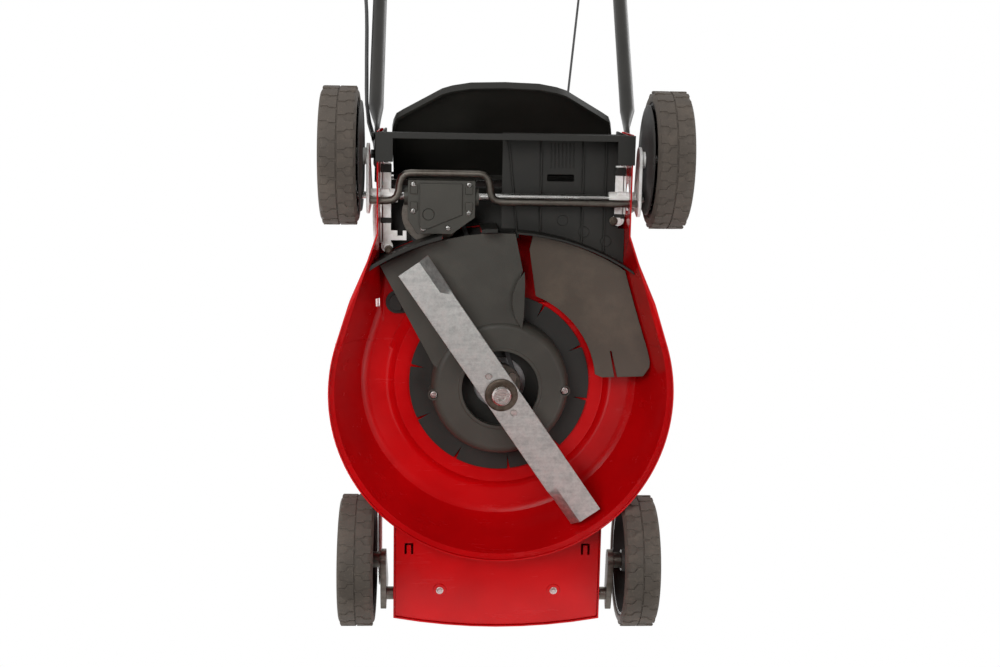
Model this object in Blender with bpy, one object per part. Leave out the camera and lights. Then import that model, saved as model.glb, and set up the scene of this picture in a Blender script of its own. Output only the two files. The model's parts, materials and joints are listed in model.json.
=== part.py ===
"""Self-propelled petrol lawn mower, built from its separate pieces.

Blender 4.5 script. All sizes below are millimetres; every solid is written to Blender in metres.
The mower stands on its wheels on z = 0. +Z is up, +Y is the rear (the operator's side) and +X is the
operator's left. The pieces are drawn with the blade shaft at x = y = 0, and at the end the whole
mower is moved along Y so that its overall box is centred over the origin.
"""

import math

import bmesh
import bpy
from mathutils import Matrix, Vector

MM = 0.001

# Clearances
GAP = 0.3                    # between pieces that touch
RUN = 0.4                    # around a shaft that turns in its seat

# Wheels
WHEEL_RADIUS = 90
TYRE_WIDTH = 49
TYRE_BORE_RADIUS = 75
TYRE_SIDES = 20
REAR_AXLE_Y = 311
FRONT_AXLE_Y = -243
REAR_WHEEL_CLEAR = 48        # wheel centre plane outside the deck's side wall
FRONT_WHEEL_CLEAR = 49
AXLE_RADIUS = 6
HUB_SIDES = 16
HUB_FACE_INSET = 3           # tyre side to hub face
HUB_BOSS_RADIUS = 15

# Wheel drive: a pinion on the drive shaft inside a ring gear in each rear wheel
MODULE = 3.5
RING_TEETH = 39
PINION_TEETH = 9
PRESSURE_ANGLE = math.radians(20)
TOOTH_BACKLASH = 0.8
RING_WIDTH = 16
PINION_WIDTH = 12
PIVOT_RISE = 8               # drive shaft above the wheel axles at the middle height setting

# Height adjusting gear
PLATE_CLEAR = 10             # rear wheel plates outside the deck's side wall
PLATE_THICKNESS = 4
SHAFT_RADIUS = 5
CRANK_ROD_RADIUS = 5
CRANK_ROD_BACK = 5.5         # crank rod ahead of the drive shaft
CRANK_ROD_DROP = 14          # crank rod below the drive shaft
CRANK_REACH = 31             # rod's cranked middle behind the drive shaft
LINK_PIN_BACK = -6           # link pins from their pivots, along Y
LINK_PIN_RISE = 66           # and upwards
LINK_PIN_RADIUS = 3.2
LINK_ROD_RADIUS = 3
ARM_CLEAR = 10               # front arms outside the deck's front box
ARM_THICKNESS = 8
CROSS_ROD_RADIUS = 5
LEVER_LENGTH = 150
LEVER_TILT = math.radians(12)
NOTCH_STEP = math.radians(13)
NOTCH_RADIUS = 100

# Deck
CHAMBER_RADIUS = 229
RIM_Z = 45
SHEET = 2                    # pressed steel
DECK_SIDES = 24
DECK_TOP_Z = 148
PLATEAU_Z = 138              # face that carries the engine
ROOF_BAND = 86               # from the rim in to the dish that carries the engine
CRANK_HOLE_RADIUS = 42
REAR_HALF_WIDTH = 166
REAR_START_Y = 60
REAR_END_Y = 345
REAR_WALL_Z = 62
TUNNEL_LEFT_X = -8
TUNNEL_RIGHT_X = -150
TUNNEL_START_Y = 110
TUNNEL_END_Y = 254
TUNNEL_TOP_Z = 205
FRONT_HALF_WIDTH = 143
FRONT_END_Y = -326
FRONT_BOW = 13
FRONT_TOP_Z = 136
FRONT_PANEL_Z = 86
FRONT_PANEL_THICKNESS = 2.5

# Blade and what drives it
BLADE_CLEARANCE = 21         # blade's tips inside the rim
BLADE_WIDTH = 46
BLADE_THICKNESS = 4
BLADE_Z = 56                 # underside
BLADE_ANGLE = math.radians(55.3)
BLADE_WING_LIFT = 14
BLADE_WING_LENGTH = 62
BLADE_PIN_SPACING = 60
BLADE_PIN_RADIUS = 4
BLADE_BOLT_RADIUS = 5
HUB_FLANGE_RADIUS = 22
CRANK_RADIUS = 11
PULLEY_RADIUS = 27           # to the belt's outer side
BELT_Z = 122                 # middle of the belt
PULLEY_WIDTH = 12
BELT_HEIGHT = 7
BELT_DEPTH = 6

# Gearbox
GEARBOX_X = 82
GEARBOX_WIDTH = 88
GEARBOX_FRONT_Y = 211
GEARBOX_BACK_Y = 281
GEARBOX_LOW_Z = 81
GEARBOX_TOP_Z = 114
INPUT_X = 95
INPUT_Y = 233
INPUT_RADIUS = 6
GEARBOX_PULLEY_RADIUS = 38

# Belt cover
COVER_RADIUS = 91
COVER_LOW_Z = 92
COVER_WALL = 2.5
COVER_HOLE_RADIUS = 52
COVER_ARM_Z = 97
COVER_ARM_CLEAR = 2          # end of the cover's arm inside the deck's inner wall
COVER_TOP_Z = 130
COVER_RING_RADIUS = 124

# Rear duct and its flap
CHEEK_CLEAR = 9              # duct's cheeks inside the deck's side walls
CHEEK_THICKNESS = 3
DUCT_FRONT_Y = 256
FLAP_HINGE_Y = 270
FLAP_HINGE_Z = 262
FLAP_LENGTH = 200
FLAP_SIDE_GAP = 7            # flap's sides inside the duct's cheeks
FLAP_SLOPE = math.radians(46)
FLAP_THICKNESS = 3
HINGE_ROD_RADIUS = 3.5
LIP_STEP = 13                # middle of the chamber's rear wall inside the rim
LIP_BOW = 320                # and its radius, flatter than the rim
SHOULDER_TURN = math.radians(17.4)  # where the skirt's straight shoulders leave its round part

# Handle
TUBE_RADIUS = 10
TUBE_CLEAR = 6               # middle of the handle's tubes outside the deck's side wall
FLAT_THICKNESS = 7
HANDLE_FOOT_Y = 314
HANDLE_FOOT_Z = 140
LOWER_SLOPE = math.radians(38)
UPPER_SLOPE = math.radians(52)
LOWER_RUN = 330
LOWER_TOP_RUN = 95
UPPER_RUN = 620
HANDLE_CORNER_RADIUS = 75
KNOB_BOLT_RADIUS = 4
BAIL_RADIUS = 4
BRAKE_BAIL_REACH = 132
DRIVE_BAIL_REACH = 150
BRAKE_BAIL_INSET = 15        # bails' sides inside the handle's tubes
DRIVE_BAIL_INSET = 24
BAIL_REST = math.radians(7.5)
BRAKE_BAIL_OPEN = math.radians(32)
DRIVE_BAIL_OPEN = math.radians(30)

# Engine
ENGINE_BASE_RADIUS = 96
CRANKCASE_RADIUS = 82
CRANKCASE_TOP_Z = 226
SHROUD_RADIUS = 100
SHROUD_LOW_Z = 232
SHROUD_TOP_Z = 326
STARTER_TOP_Z = 372
CYLINDER_FRONT_Y = -150
CYLINDER_HALF = 38
FIN_COUNT = 3
FLYWHEEL_RADIUS = 85
FAN_VANES = 4
TANK_OUTER_X = 152
FUEL_CAP = (124, 42)
OIL_FILLER = (-92, 88)
OIL_CAP_Z = 232
PRIMER = (-115, 198)
PRIMER_RADIUS = 12

# Cords
ROPE_RADIUS = 1.8
ROPE_EXIT_Z = 344
ROPE_EXIT_TURN = math.radians(62)
GUIDE_INSET = 20             # rope guide inside the handle's tube
GUIDE_RUN = 190
CABLE_RADIUS = 2.5
CABLE_HOLE_Y = 272
CABLE_HOLE_Z = 136
CABLE_RUN_INSET = 2

# Worked out from the sizes above
REAR_WHEEL_X = REAR_HALF_WIDTH + REAR_WHEEL_CLEAR
FRONT_WHEEL_X = FRONT_HALF_WIDTH + FRONT_WHEEL_CLEAR
PLATE_X = REAR_HALF_WIDTH + PLATE_CLEAR
ARM_X = FRONT_HALF_WIDTH + ARM_CLEAR
PLATEAU_RADIUS = CHAMBER_RADIUS - ROOF_BAND
BLADE_LENGTH = 2 * (CHAMBER_RADIUS - BLADE_CLEARANCE)
LIP_RADIUS = CHAMBER_RADIUS - LIP_STEP
CHEEK_X = REAR_HALF_WIDTH - CHEEK_CLEAR
FLAP_HALF_WIDTH = CHEEK_X - FLAP_SIDE_GAP
TUBE_X = REAR_HALF_WIDTH + TUBE_CLEAR
BRAKE_BAIL_HALF = TUBE_X - BRAKE_BAIL_INSET
DRIVE_BAIL_HALF = TUBE_X - DRIVE_BAIL_INSET
GUIDE_X = TUBE_X - GUIDE_INSET
CABLE_RUN_X = TUBE_X - CABLE_RUN_INSET
WHEEL_Z = WHEEL_RADIUS
GEAR_CENTRES = MODULE * (RING_TEETH - PINION_TEETH) / 2
PIVOT_Z = WHEEL_Z + PIVOT_RISE
PIVOT_REACH = math.sqrt(GEAR_CENTRES ** 2 - PIVOT_RISE ** 2)
REAR_PIVOT_Y = REAR_AXLE_Y - PIVOT_REACH
FRONT_PIVOT_Y = FRONT_AXLE_Y - PIVOT_REACH
LINK_Z = PIVOT_Z + LINK_PIN_RISE

# Finishes: base colour, roughness, metallic
FINISHES = {
    "red_enamel": ((0.42, 0.004, 0.008), 0.22, 0.0),
    "black_plastic": ((0.022, 0.021, 0.019), 0.55, 0.0),
    "grey_plastic": ((0.058, 0.056, 0.048), 0.5, 0.0),
    "brown_plastic": ((0.12, 0.10, 0.085), 0.5, 0.0),
    "tyre_rubber": ((0.075, 0.06, 0.05), 0.75, 0.0),
    "hub_plastic": ((0.03, 0.028, 0.026), 0.6, 0.0),
    "blade_steel": ((0.32, 0.31, 0.29), 0.38, 1.0),
    "bright_steel": ((0.6, 0.6, 0.58), 0.25, 1.0),
    "brown_steel": ((0.16, 0.11, 0.08), 0.5, 1.0),
    "zinc": ((0.68, 0.68, 0.6), 0.4, 0.6),
    "dark_steel": ((0.13, 0.12, 0.11), 0.4, 0.8),
    "tube_enamel": ((0.065, 0.06, 0.057), 0.35, 0.2),
    "cast_aluminium": ((0.4, 0.4, 0.4), 0.5, 0.9),
    "belt_rubber": ((0.03, 0.03, 0.03), 0.8, 0.0),
    "engine_plastic": ((0.025, 0.025, 0.026), 0.35, 0.0),
    "rope": ((0.04, 0.04, 0.04), 0.8, 0.0),
}


# Drawing tools

def solid(bm, name="solid"):
    """A closed mesh in millimetres made an object in metres."""
    bmesh.ops.recalc_face_normals(bm, faces=bm.faces)
    mesh = bpy.data.meshes.new(name)
    bmesh.ops.scale(bm, vec=(MM, MM, MM), verts=bm.verts)
    bm.to_mesh(mesh)
    bm.free()
    made = bpy.data.objects.new(name, mesh)
    bpy.context.collection.objects.link(made)
    return made


def rings_solid(rings, closed=False):
    """A solid through rings of points; open runs get end faces, a ring of one point is a tip."""
    bm = bmesh.new()
    rows = [[bm.verts.new(point) for point in ring] for ring in rings]
    pairs = list(zip(rows, rows[1:]))
    if closed:
        pairs.append((rows[-1], rows[0]))
    for low, high in pairs:
        count = max(len(low), len(high))
        for i in range(count):
            j = (i + 1) % count
            if len(low) == 1:
                bm.faces.new((low[0], high[j], high[i]))
            elif len(high) == 1:
                bm.faces.new((low[i], low[j], high[0]))
            else:
                bm.faces.new((low[i], low[j], high[j], high[i]))
    if not closed:
        for end in (rows[0], rows[-1]):
            if len(end) > 2:
                bm.faces.new(end)
    return solid(bm)


def turned(profile, sides, axis="Z", centre=(0, 0, 0), phase=0.0):
    """A profile of (radius, height) points turned round an axis. A ring profile is closed on itself."""
    turn = {"Z": Matrix(), "X": Matrix.Rotation(math.pi / 2, 4, "Y"),
            "Y": Matrix.Rotation(-math.pi / 2, 4, "X")}[axis]
    place = Matrix.Translation(centre) @ turn
    rings = []
    for radius, height in profile:
        if radius == 0:
            rings.append([place @ Vector((0, 0, height))])
            continue
        steps = (phase + 2 * math.pi * k / sides for k in range(sides))
        rings.append([place @ Vector((radius * math.cos(a), radius * math.sin(a), height)) for a in steps])
    return rings_solid(rings, closed=profile[0][0] > 0)


def cylinder(radius, low, high, sides=12, axis="Z", centre=(0, 0)):
    """A plain round bar between two heights on an axis; centre gives the other two coordinates in order."""
    place = {"Z": (centre[0], centre[1], 0), "X": (0, centre[0], centre[1]),
             "Y": (centre[0], 0, centre[1])}[axis]
    return turned([(0, low), (radius, low), (radius, high), (0, high)], sides, axis, place)


def tube(outer, inner, low, high, sides=16, axis="Z", centre=(0, 0)):
    """A round sleeve between two heights on an axis."""
    place = {"Z": (centre[0], centre[1], 0), "X": (0, centre[0], centre[1]),
             "Y": (centre[0], 0, centre[1])}[axis]
    return turned([(outer, low), (outer, high), (inner, high), (inner, low)], sides, axis, place)


def prism(outline, low, high, axis="Z"):
    """An outline drawn in the plane across an axis, pulled along it. Outline order is XY, YZ or XZ."""
    def at(point, height):
        first, second = point
        return {"Z": (first, second, height), "X": (height, first, second),
                "Y": (first, height, second)}[axis]
    return rings_solid([[at(p, low) for p in outline], [at(p, high) for p in outline]])


def block(x, y, z, rounding=0.0, steps=1):
    """A box between two corners, with its edges rounded."""
    bm = bmesh.new()
    bmesh.ops.create_cube(bm, size=1)
    size = Vector((x[1] - x[0], y[1] - y[0], z[1] - z[0]))
    middle = Vector((x[0] + x[1], y[0] + y[1], z[0] + z[1])) / 2
    bmesh.ops.scale(bm, vec=size, verts=bm.verts)
    bmesh.ops.translate(bm, vec=middle, verts=bm.verts)
    if rounding:
        bmesh.ops.bevel(bm, geom=bm.edges[:], offset=rounding, segments=steps, profile=0.5, affect="EDGES")
    return solid(bm)


def swept(points, fixed, sizes, sides=10):
    """A bar along points in a plane whose normal is fixed; sizes are its half widths along and across it."""
    points = [Vector(p) for p in points]
    fixed = Vector(fixed).normalized()
    rings = []
    for i, point in enumerate(points):
        ahead = points[min(i + 1, len(points) - 1)] - point
        behind = point - points[max(i - 1, 0)]
        tangent = (ahead.normalized() + behind.normalized()).normalized()
        across = tangent.cross(fixed).normalized()
        half_fixed, half_across = sizes[i]
        angles = (2 * math.pi * (k + 0.5) / sides for k in range(sides))
        rings.append([point + fixed * half_fixed * math.cos(a) + across * half_across * math.sin(a)
                      for a in angles])
    return rings_solid(rings)


def arc(centre, radius, start, end, steps):
    """Points along a circle from one angle to another, in degrees."""
    angles = (math.radians(start + (end - start) * k / steps) for k in range(steps + 1))
    return [(centre[0] + radius * math.cos(a), centre[1] + radius * math.sin(a)) for a in angles]


def round_hull(circles, steps=8):
    """The outline that a band stretched round circles (first, second, radius) would take."""
    sides = 4 * steps
    spots = []
    for first, second, radius in circles:
        angles = (2 * math.pi * (k + 0.5) / sides for k in range(sides))
        spots += [(first + radius * math.cos(a), second + radius * math.sin(a)) for a in angles]
    spots.sort()

    def chain(points):
        kept = []
        for point in points:
            while len(kept) > 1:
                (ax, ay), (bx, by) = kept[-2:]
                if (bx - ax) * (point[1] - ay) - (by - ay) * (point[0] - ax) > 1e-9:
                    break
                kept.pop()
            kept.append(point)
        return kept[:-1]

    return chain(spots) + chain(spots[::-1])


def settle(piece):
    """The piece with its modifiers worked into its mesh."""
    graph = bpy.context.evaluated_depsgraph_get()
    mesh = bpy.data.meshes.new_from_object(piece.evaluated_get(graph))
    piece.modifiers.clear()
    piece.data = mesh
    return piece


def combine(piece, tools, operation):
    """Union or difference of a piece with others, which are used up."""
    for other in tools:
        change = piece.modifiers.new(operation.title(), "BOOLEAN")
        change.operation = operation
        change.solver = "EXACT"
        change.object = other
        settle(piece)
        bpy.data.objects.remove(other)
    return piece


def joined(piece, *others):
    return combine(piece, others, "UNION")


def cut(piece, *tools):
    return combine(piece, tools, "DIFFERENCE")


def finish_material(name):
    """The Principled material of a named finish."""
    if name in bpy.data.materials:
        return bpy.data.materials[name]
    colour, roughness, metallic = FINISHES[name]
    made = bpy.data.materials.new(name)
    made.use_nodes = True
    shader = made.node_tree.nodes["Principled BSDF"]
    shader.inputs["Base Color"].default_value = (*colour, 1)
    shader.inputs["Roughness"].default_value = roughness
    shader.inputs["Metallic"].default_value = metallic
    return made


def tidied(mesh):
    """Joins the flat faces that the cuts left split."""
    bm = bmesh.new()
    bm.from_mesh(mesh)
    bmesh.ops.remove_doubles(bm, verts=bm.verts, dist=0.0005 * MM)
    bmesh.ops.dissolve_limit(bm, angle_limit=math.radians(1.5), verts=bm.verts, edges=bm.edges)
    bmesh.ops.triangulate(bm, faces=bm.faces)
    bm.to_mesh(mesh)
    bm.free()


def piece(name, made, finish, pivot=None):
    """Names a solid, gives it its finish and smooth round faces, and sets a moving piece's origin on its axis."""
    tidied(made.data)
    made.name = name
    made.data.name = name
    made.data.materials.clear()
    made.data.materials.append(finish_material(finish))
    made.data.shade_smooth()
    made.data.set_sharp_from_angle(angle=math.radians(35))
    if pivot is not None:
        origin = Vector(pivot) * MM
        made.data.transform(Matrix.Translation(-origin))
        made.location = origin
    return made


# Wheels and the wheel drive

def gear_outline(teeth, tip, root, growth, centre, heading, flank_steps):
    """The outline of an involute gear in the YZ plane, with a tooth pointing along heading."""
    pitch = MODULE * teeth / 2
    base = pitch * math.cos(PRESSURE_ANGLE)
    half_at_pitch = math.pi / (2 * teeth) + growth / (2 * pitch)

    def involute(angle):
        return math.tan(angle) - angle

    def half_tooth(radius):
        at = math.acos(base / max(radius, base))
        return half_at_pitch + involute(PRESSURE_ANGLE) - involute(at)

    radii = [max(root, base) + (tip - max(root, base)) * k / flank_steps for k in range(flank_steps + 1)]
    flank = [(radius, half_tooth(radius)) for radius in radii]
    if root < base:
        flank.insert(0, (root, half_tooth(base)))
    points = []
    for tooth in range(teeth):
        middle = heading + 2 * math.pi * tooth / teeth
        polar = [(r, middle - half) for r, half in flank] + [
            (r, middle + half) for r, half in reversed(flank)]
        points += [(centre[0] + r * math.cos(a), centre[1] + r * math.sin(a)) for r, a in polar]
    return points


def tyre(x, y):
    half = TYRE_WIDTH / 2
    bore_half = half - 2
    shoulder = WHEEL_RADIUS - 7
    flat = half - 8
    grow = 1 / math.cos(math.pi / TYRE_SIDES)
    profile = [(TYRE_BORE_RADIUS, -bore_half), (shoulder, -half), (WHEEL_RADIUS, -flat), (WHEEL_RADIUS, flat),
               (shoulder, half), (TYRE_BORE_RADIUS, bore_half)]
    profile = [(radius * grow, height) for radius, height in profile]
    return turned(profile, TYRE_SIDES, "X", (x, y, WHEEL_Z), math.pi / TYRE_SIDES)


def hub(x, y, geared):
    """A plastic wheel body; a rear one has a ring gear on its inner side."""
    outward = 1 if x > 0 else -1
    half = TYRE_WIDTH / 2 - HUB_FACE_INSET
    rim = TYRE_BORE_RADIUS - GAP
    web = half - 12
    bore = AXLE_RADIUS + RUN
    profile = [(rim, -half), (rim, half), (rim - 5, half), (rim - 8, web + 2), (HUB_BOSS_RADIUS + 3, web + 2),
               (HUB_BOSS_RADIUS, half - HUB_FACE_INSET), (bore, half - HUB_FACE_INSET), (bore, -half + 2),
               (HUB_BOSS_RADIUS, -half + 2), (HUB_BOSS_RADIUS + 3, web - 2)]
    if geared:
        tip = MODULE * RING_TEETH / 2 - 0.55 * MODULE
        inside = -half + RING_WIDTH
        profile += [(rim - 3, web - 2), (rim - 3, inside), (tip, inside), (tip, -half)]
    else:
        profile += [(rim - 5, web - 2), (rim - 4, -half)]
    body = turned([(r, h * outward) for r, h in profile], HUB_SIDES if geared else 12, "X", (x, y, WHEEL_Z))
    if geared:
        heading = math.atan2(PIVOT_Z - WHEEL_Z, REAR_PIVOT_Y - REAR_AXLE_Y)
        pitch = MODULE * RING_TEETH / 2
        spaces = gear_outline(RING_TEETH, pitch + 1.2 * MODULE, pitch - 0.9 * MODULE, TOOTH_BACKLASH / 2,
                              (REAR_AXLE_Y, WHEEL_Z), heading, 1)
        ends = sorted((x - outward * (half + 1), x - outward * (half - RING_WIDTH)))
        cut(body, prism(spaces, *ends, "X"))
    return body


def pinion(side):
    """One of the two pinions that ratchet on the drive shaft inside the rear wheels."""
    pitch = MODULE * PINION_TEETH / 2
    heading = math.atan2(PIVOT_Z - WHEEL_Z, REAR_PIVOT_Y - REAR_AXLE_Y)
    outline = gear_outline(PINION_TEETH, pitch + 0.95 * MODULE, pitch - 1.25 * MODULE, -TOOTH_BACKLASH / 2,
                           (REAR_PIVOT_Y, PIVOT_Z), heading, 1)
    near = REAR_WHEEL_X - TYRE_WIDTH / 2 + HUB_FACE_INSET + 2
    ends = sorted((side * near, side * (near + PINION_WIDTH)))
    gear = prism(outline, *ends, "X")
    return cut(gear, cylinder(SHAFT_RADIUS + RUN, ends[0] - 1, ends[1] + 1, 12, "X", (REAR_PIVOT_Y, PIVOT_Z)))


def make_wheels():
    for end, x, y in (("rear", REAR_WHEEL_X, REAR_AXLE_Y), ("front", FRONT_WHEEL_X, FRONT_AXLE_Y)):
        for side, sign in (("left", 1), ("right", -1)):
            axle = (sign * x, y, WHEEL_Z)
            piece(f"{end}_{side}_tyre", tyre(sign * x, y), "tyre_rubber", axle)
            piece(f"{end}_{side}_hub", hub(sign * x, y, end == "rear"), "hub_plastic", axle)


def make_drive_shaft():
    pivot = (0, REAR_PIVOT_Y, PIVOT_Z)
    near = REAR_WHEEL_X - TYRE_WIDTH / 2 + HUB_FACE_INSET + 2
    reach = near + PINION_WIDTH + 3
    collar = near + PINION_WIDTH + GAP
    half = [(SHAFT_RADIUS, collar), (SHAFT_RADIUS + 3, collar), (SHAFT_RADIUS + 3, collar + 2),
            (SHAFT_RADIUS, collar + 2), (SHAFT_RADIUS, reach), (0, reach)]
    profile = [(r, -x) for r, x in reversed(half)] + half
    piece("drive_shaft", turned(profile, 10, "X", pivot), "bright_steel", pivot)
    piece("left_pinion", pinion(1), "dark_steel", pivot)
    piece("right_pinion", pinion(-1), "dark_steel", pivot)


# Height adjusting gear

def axle_stub(sign, inner, wheel_x, y):
    """The shoulder, spindle and end nut that a wheel turns on."""
    half = TYRE_WIDTH / 2 - HUB_FACE_INSET
    hub_in = wheel_x - half + 2 - GAP
    hub_out = wheel_x + half - HUB_FACE_INSET + GAP
    nut = hub_out + 4
    profile = [(0, inner), (HUB_BOSS_RADIUS - 4, inner), (HUB_BOSS_RADIUS - 4, hub_in), (AXLE_RADIUS, hub_in),
               (AXLE_RADIUS, hub_out), (HUB_BOSS_RADIUS - 5, hub_out), (HUB_BOSS_RADIUS - 5, nut), (0, nut)]
    return turned([(r, sign * h) for r, h in profile], 10, "X", (0, y, WHEEL_Z))


def rear_plate(sign):
    """A rear wheel plate: it swings on the drive shaft and carries the wheel's spindle."""
    circles = [(REAR_AXLE_Y, WHEEL_Z, 17), (REAR_PIVOT_Y, PIVOT_Z + 4, 19),
               (REAR_PIVOT_Y - 6, WHEEL_Z - 2, 17)]
    if sign > 0:
        circles.insert(1, (REAR_PIVOT_Y + LINK_PIN_BACK, LINK_Z, 9))
    ends = sorted((sign * PLATE_X, sign * (PLATE_X + PLATE_THICKNESS)))
    plate = prism(round_hull(circles, 4), *ends, "X")
    plate = joined(plate, axle_stub(sign, PLATE_X + 1, REAR_WHEEL_X, REAR_AXLE_Y))
    if sign > 0:
        pin = cylinder(LINK_PIN_RADIUS, PLATE_X - 6, PLATE_X + 1, 12, "X",
                       (REAR_PIVOT_Y + LINK_PIN_BACK, LINK_Z))
        plate = joined(plate, pin)
    hole = cylinder(SHAFT_RADIUS + RUN, ends[0] - 1, ends[1] + 1, 12, "X", (REAR_PIVOT_Y, PIVOT_Z))
    return cut(plate, hole)


def crank_rod():
    """The rod that ties both rear plates, cranked round the back of the gearbox."""
    y = REAR_PIVOT_Y - CRANK_ROD_BACK
    z = PIVOT_Z - CRANK_ROD_DROP
    back = REAR_PIVOT_Y + CRANK_REACH
    end = PLATE_X - GAP
    left_in = GEARBOX_X + GEARBOX_WIDTH / 2 + 9
    right_in = GEARBOX_X - GEARBOX_WIDTH / 2 - 17
    spread = 5
    points = [(end, y, z), (left_in + spread, y, z), (left_in, back, z), (right_in, back, z),
              (right_in - spread, y, z), (-end, y, z)]
    bent = []
    for i, point in enumerate(points):
        if i in (0, len(points) - 1):
            bent.append(Vector(point))
            continue
        corner = Vector(point)
        before = (Vector(points[i - 1]) - corner).normalized() * 13
        after = (Vector(points[i + 1]) - corner).normalized() * 13
        bent += [corner + before, corner + before * 0.45 + after * 0.11,
                 corner + before * 0.11 + after * 0.45, corner + after]
    return swept(bent, (0, 0, 1), [(CRANK_ROD_RADIUS, CRANK_ROD_RADIUS)] * len(bent), 8)


def front_axle():
    """The front cross rod with its two trailing arms and wheel spindles, one welded piece."""
    shoulder = FRONT_HALF_WIDTH + GAP
    half = [(CROSS_ROD_RADIUS, shoulder), (9, shoulder), (9, ARM_X + 2), (0, ARM_X + 2)]
    profile = [(r, -x) for r, x in reversed(half)] + half
    frame = turned(profile, 10, "X", (0, FRONT_PIVOT_Y, PIVOT_Z))
    for sign in (1, -1):
        circles = [(FRONT_AXLE_Y, WHEEL_Z, 15), (FRONT_PIVOT_Y, PIVOT_Z, 12),
                   (FRONT_PIVOT_Y - 19, PIVOT_Z - 3, 3)]
        if sign > 0:
            circles.insert(1, (FRONT_PIVOT_Y + LINK_PIN_BACK, LINK_Z, 7))
        ends = sorted((sign * ARM_X, sign * (ARM_X + ARM_THICKNESS)))
        arm = prism(round_hull(circles, 3), *ends, "X")
        arm = joined(arm, axle_stub(sign, ARM_X + 1, FRONT_WHEEL_X, FRONT_AXLE_Y))
        if sign > 0:
            pin_end = ARM_X + ARM_THICKNESS + 5
            arm = joined(arm, cylinder(LINK_PIN_RADIUS, ARM_X + 1, pin_end, 12, "X",
                                       (FRONT_PIVOT_Y + LINK_PIN_BACK, LINK_Z)))
        frame = joined(frame, arm)
    return frame


def link_rod():
    """The rod over the deck's left side that makes the front arms follow the rear plates."""
    rear_x = PLATE_X - 3
    front_x = ARM_X + ARM_THICKNESS + LINK_ROD_RADIUS + 0.5
    rear_y = REAR_PIVOT_Y + LINK_PIN_BACK
    front_y = FRONT_PIVOT_Y + LINK_PIN_BACK
    points = [(rear_x, rear_y - 4, LINK_Z), (rear_x, rear_y - 38, LINK_Z),
              (rear_x - 0.5, rear_y - 46, LINK_Z),
              (front_x + 0.5, front_y + 220, LINK_Z), (front_x, front_y + 212, LINK_Z),
              (front_x, front_y + 4, LINK_Z)]
    rod = swept(points, (0, 0, 1), [(LINK_ROD_RADIUS, LINK_ROD_RADIUS)] * len(points), 8)
    for x, y in ((rear_x, rear_y), (front_x, front_y)):
        rod = joined(rod, cylinder(7, x - 2, x + 2, 10, "X", (y, LINK_Z)))
        rod = cut(rod, cylinder(LINK_PIN_RADIUS + RUN, x - 4, x + 4, 12, "X", (y, LINK_Z)))
    return rod


def lever_at(radius, tilt):
    """A point (y, z) at a distance from the height pivot, leaning forward of upright by an angle."""
    return (REAR_PIVOT_Y - radius * math.sin(tilt), PIVOT_Z + radius * math.cos(tilt))


def crank_swing():
    """The room that the crank rod sweeps round the drive shaft."""
    return math.hypot(CRANK_ROD_BACK, CRANK_ROD_DROP) + CRANK_ROD_RADIUS + 1.5


def height_lever():
    near = PLATE_X + PLATE_THICKNESS + GAP
    top = lever_at(LEVER_LENGTH, LEVER_TILT)
    strip = prism(round_hull([(REAR_PIVOT_Y, PIVOT_Z, 12), (*top, 9)], 6), -near - 2.5, -near, "X")
    latch = cylinder(3, -near - 1, -near + 9, 12, "X", lever_at(NOTCH_RADIUS, LEVER_TILT))
    grip_low = lever_at(LEVER_LENGTH - 8, LEVER_TILT)
    grip_top = lever_at(LEVER_LENGTH + 38, LEVER_TILT)
    grip = prism(round_hull([(*grip_low, 11), (*grip_top, 15)], 8), -near - 8, -near + 6, "X")
    lever = joined(strip, latch, grip)
    return cut(lever, cylinder(SHAFT_RADIUS + RUN, -near - 4, -near + 1, 12, "X", (REAR_PIVOT_Y, PIVOT_Z)))


def height_quadrant():
    """The notched sector that holds the height lever, welded to the deck's right side."""
    tips = NOTCH_RADIUS - 3.6
    depth = 4
    inner = NOTCH_RADIUS - 22
    outer = []
    for notch in range(-2, 3):
        middle = LEVER_TILT + notch * NOTCH_STEP
        for offset, radius in ((0.5, tips), (0.3, tips), (0.18, tips - depth), (-0.18, tips - depth),
                               (-0.3, tips), (-0.5, tips)):
            outer.append(lever_at(radius, middle - offset * NOTCH_STEP))
    spread = 2.5 * NOTCH_STEP
    steps = 8
    inside = [lever_at(inner, LEVER_TILT + spread - 2 * spread * k / steps) for k in range(steps + 1)]
    sector = prism(outer + inside, -REAR_HALF_WIDTH - 7, -REAR_HALF_WIDTH - 4.5, "X")
    foot_y = REAR_PIVOT_Y - 46
    low_z = DECK_TOP_Z - 30
    leg_top = PIVOT_Z + inner
    leg = block((-REAR_HALF_WIDTH - 7, -REAR_HALF_WIDTH - 4.5), (foot_y, foot_y + 28), (low_z, leg_top))
    foot = block((-REAR_HALF_WIDTH - 6, -REAR_HALF_WIDTH + 1), (foot_y, foot_y + 28),
                 (low_z, DECK_TOP_Z - 12))
    return joined(sector, leg, foot)


def make_height_gear():
    pivot = (0, REAR_PIVOT_Y, PIVOT_Z)
    piece("rear_left_plate", rear_plate(1), "zinc", pivot)
    piece("rear_right_plate", rear_plate(-1), "zinc", pivot)
    piece("rear_crank_rod", crank_rod(), "dark_steel", pivot)
    piece("front_axle", front_axle(), "dark_steel", (0, FRONT_PIVOT_Y, PIVOT_Z))
    piece("height_link_rod", link_rod(), "zinc", (0, REAR_PIVOT_Y + LINK_PIN_BACK, LINK_Z))
    piece("height_lever", height_lever(), "dark_steel", pivot)


# Deck

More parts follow.
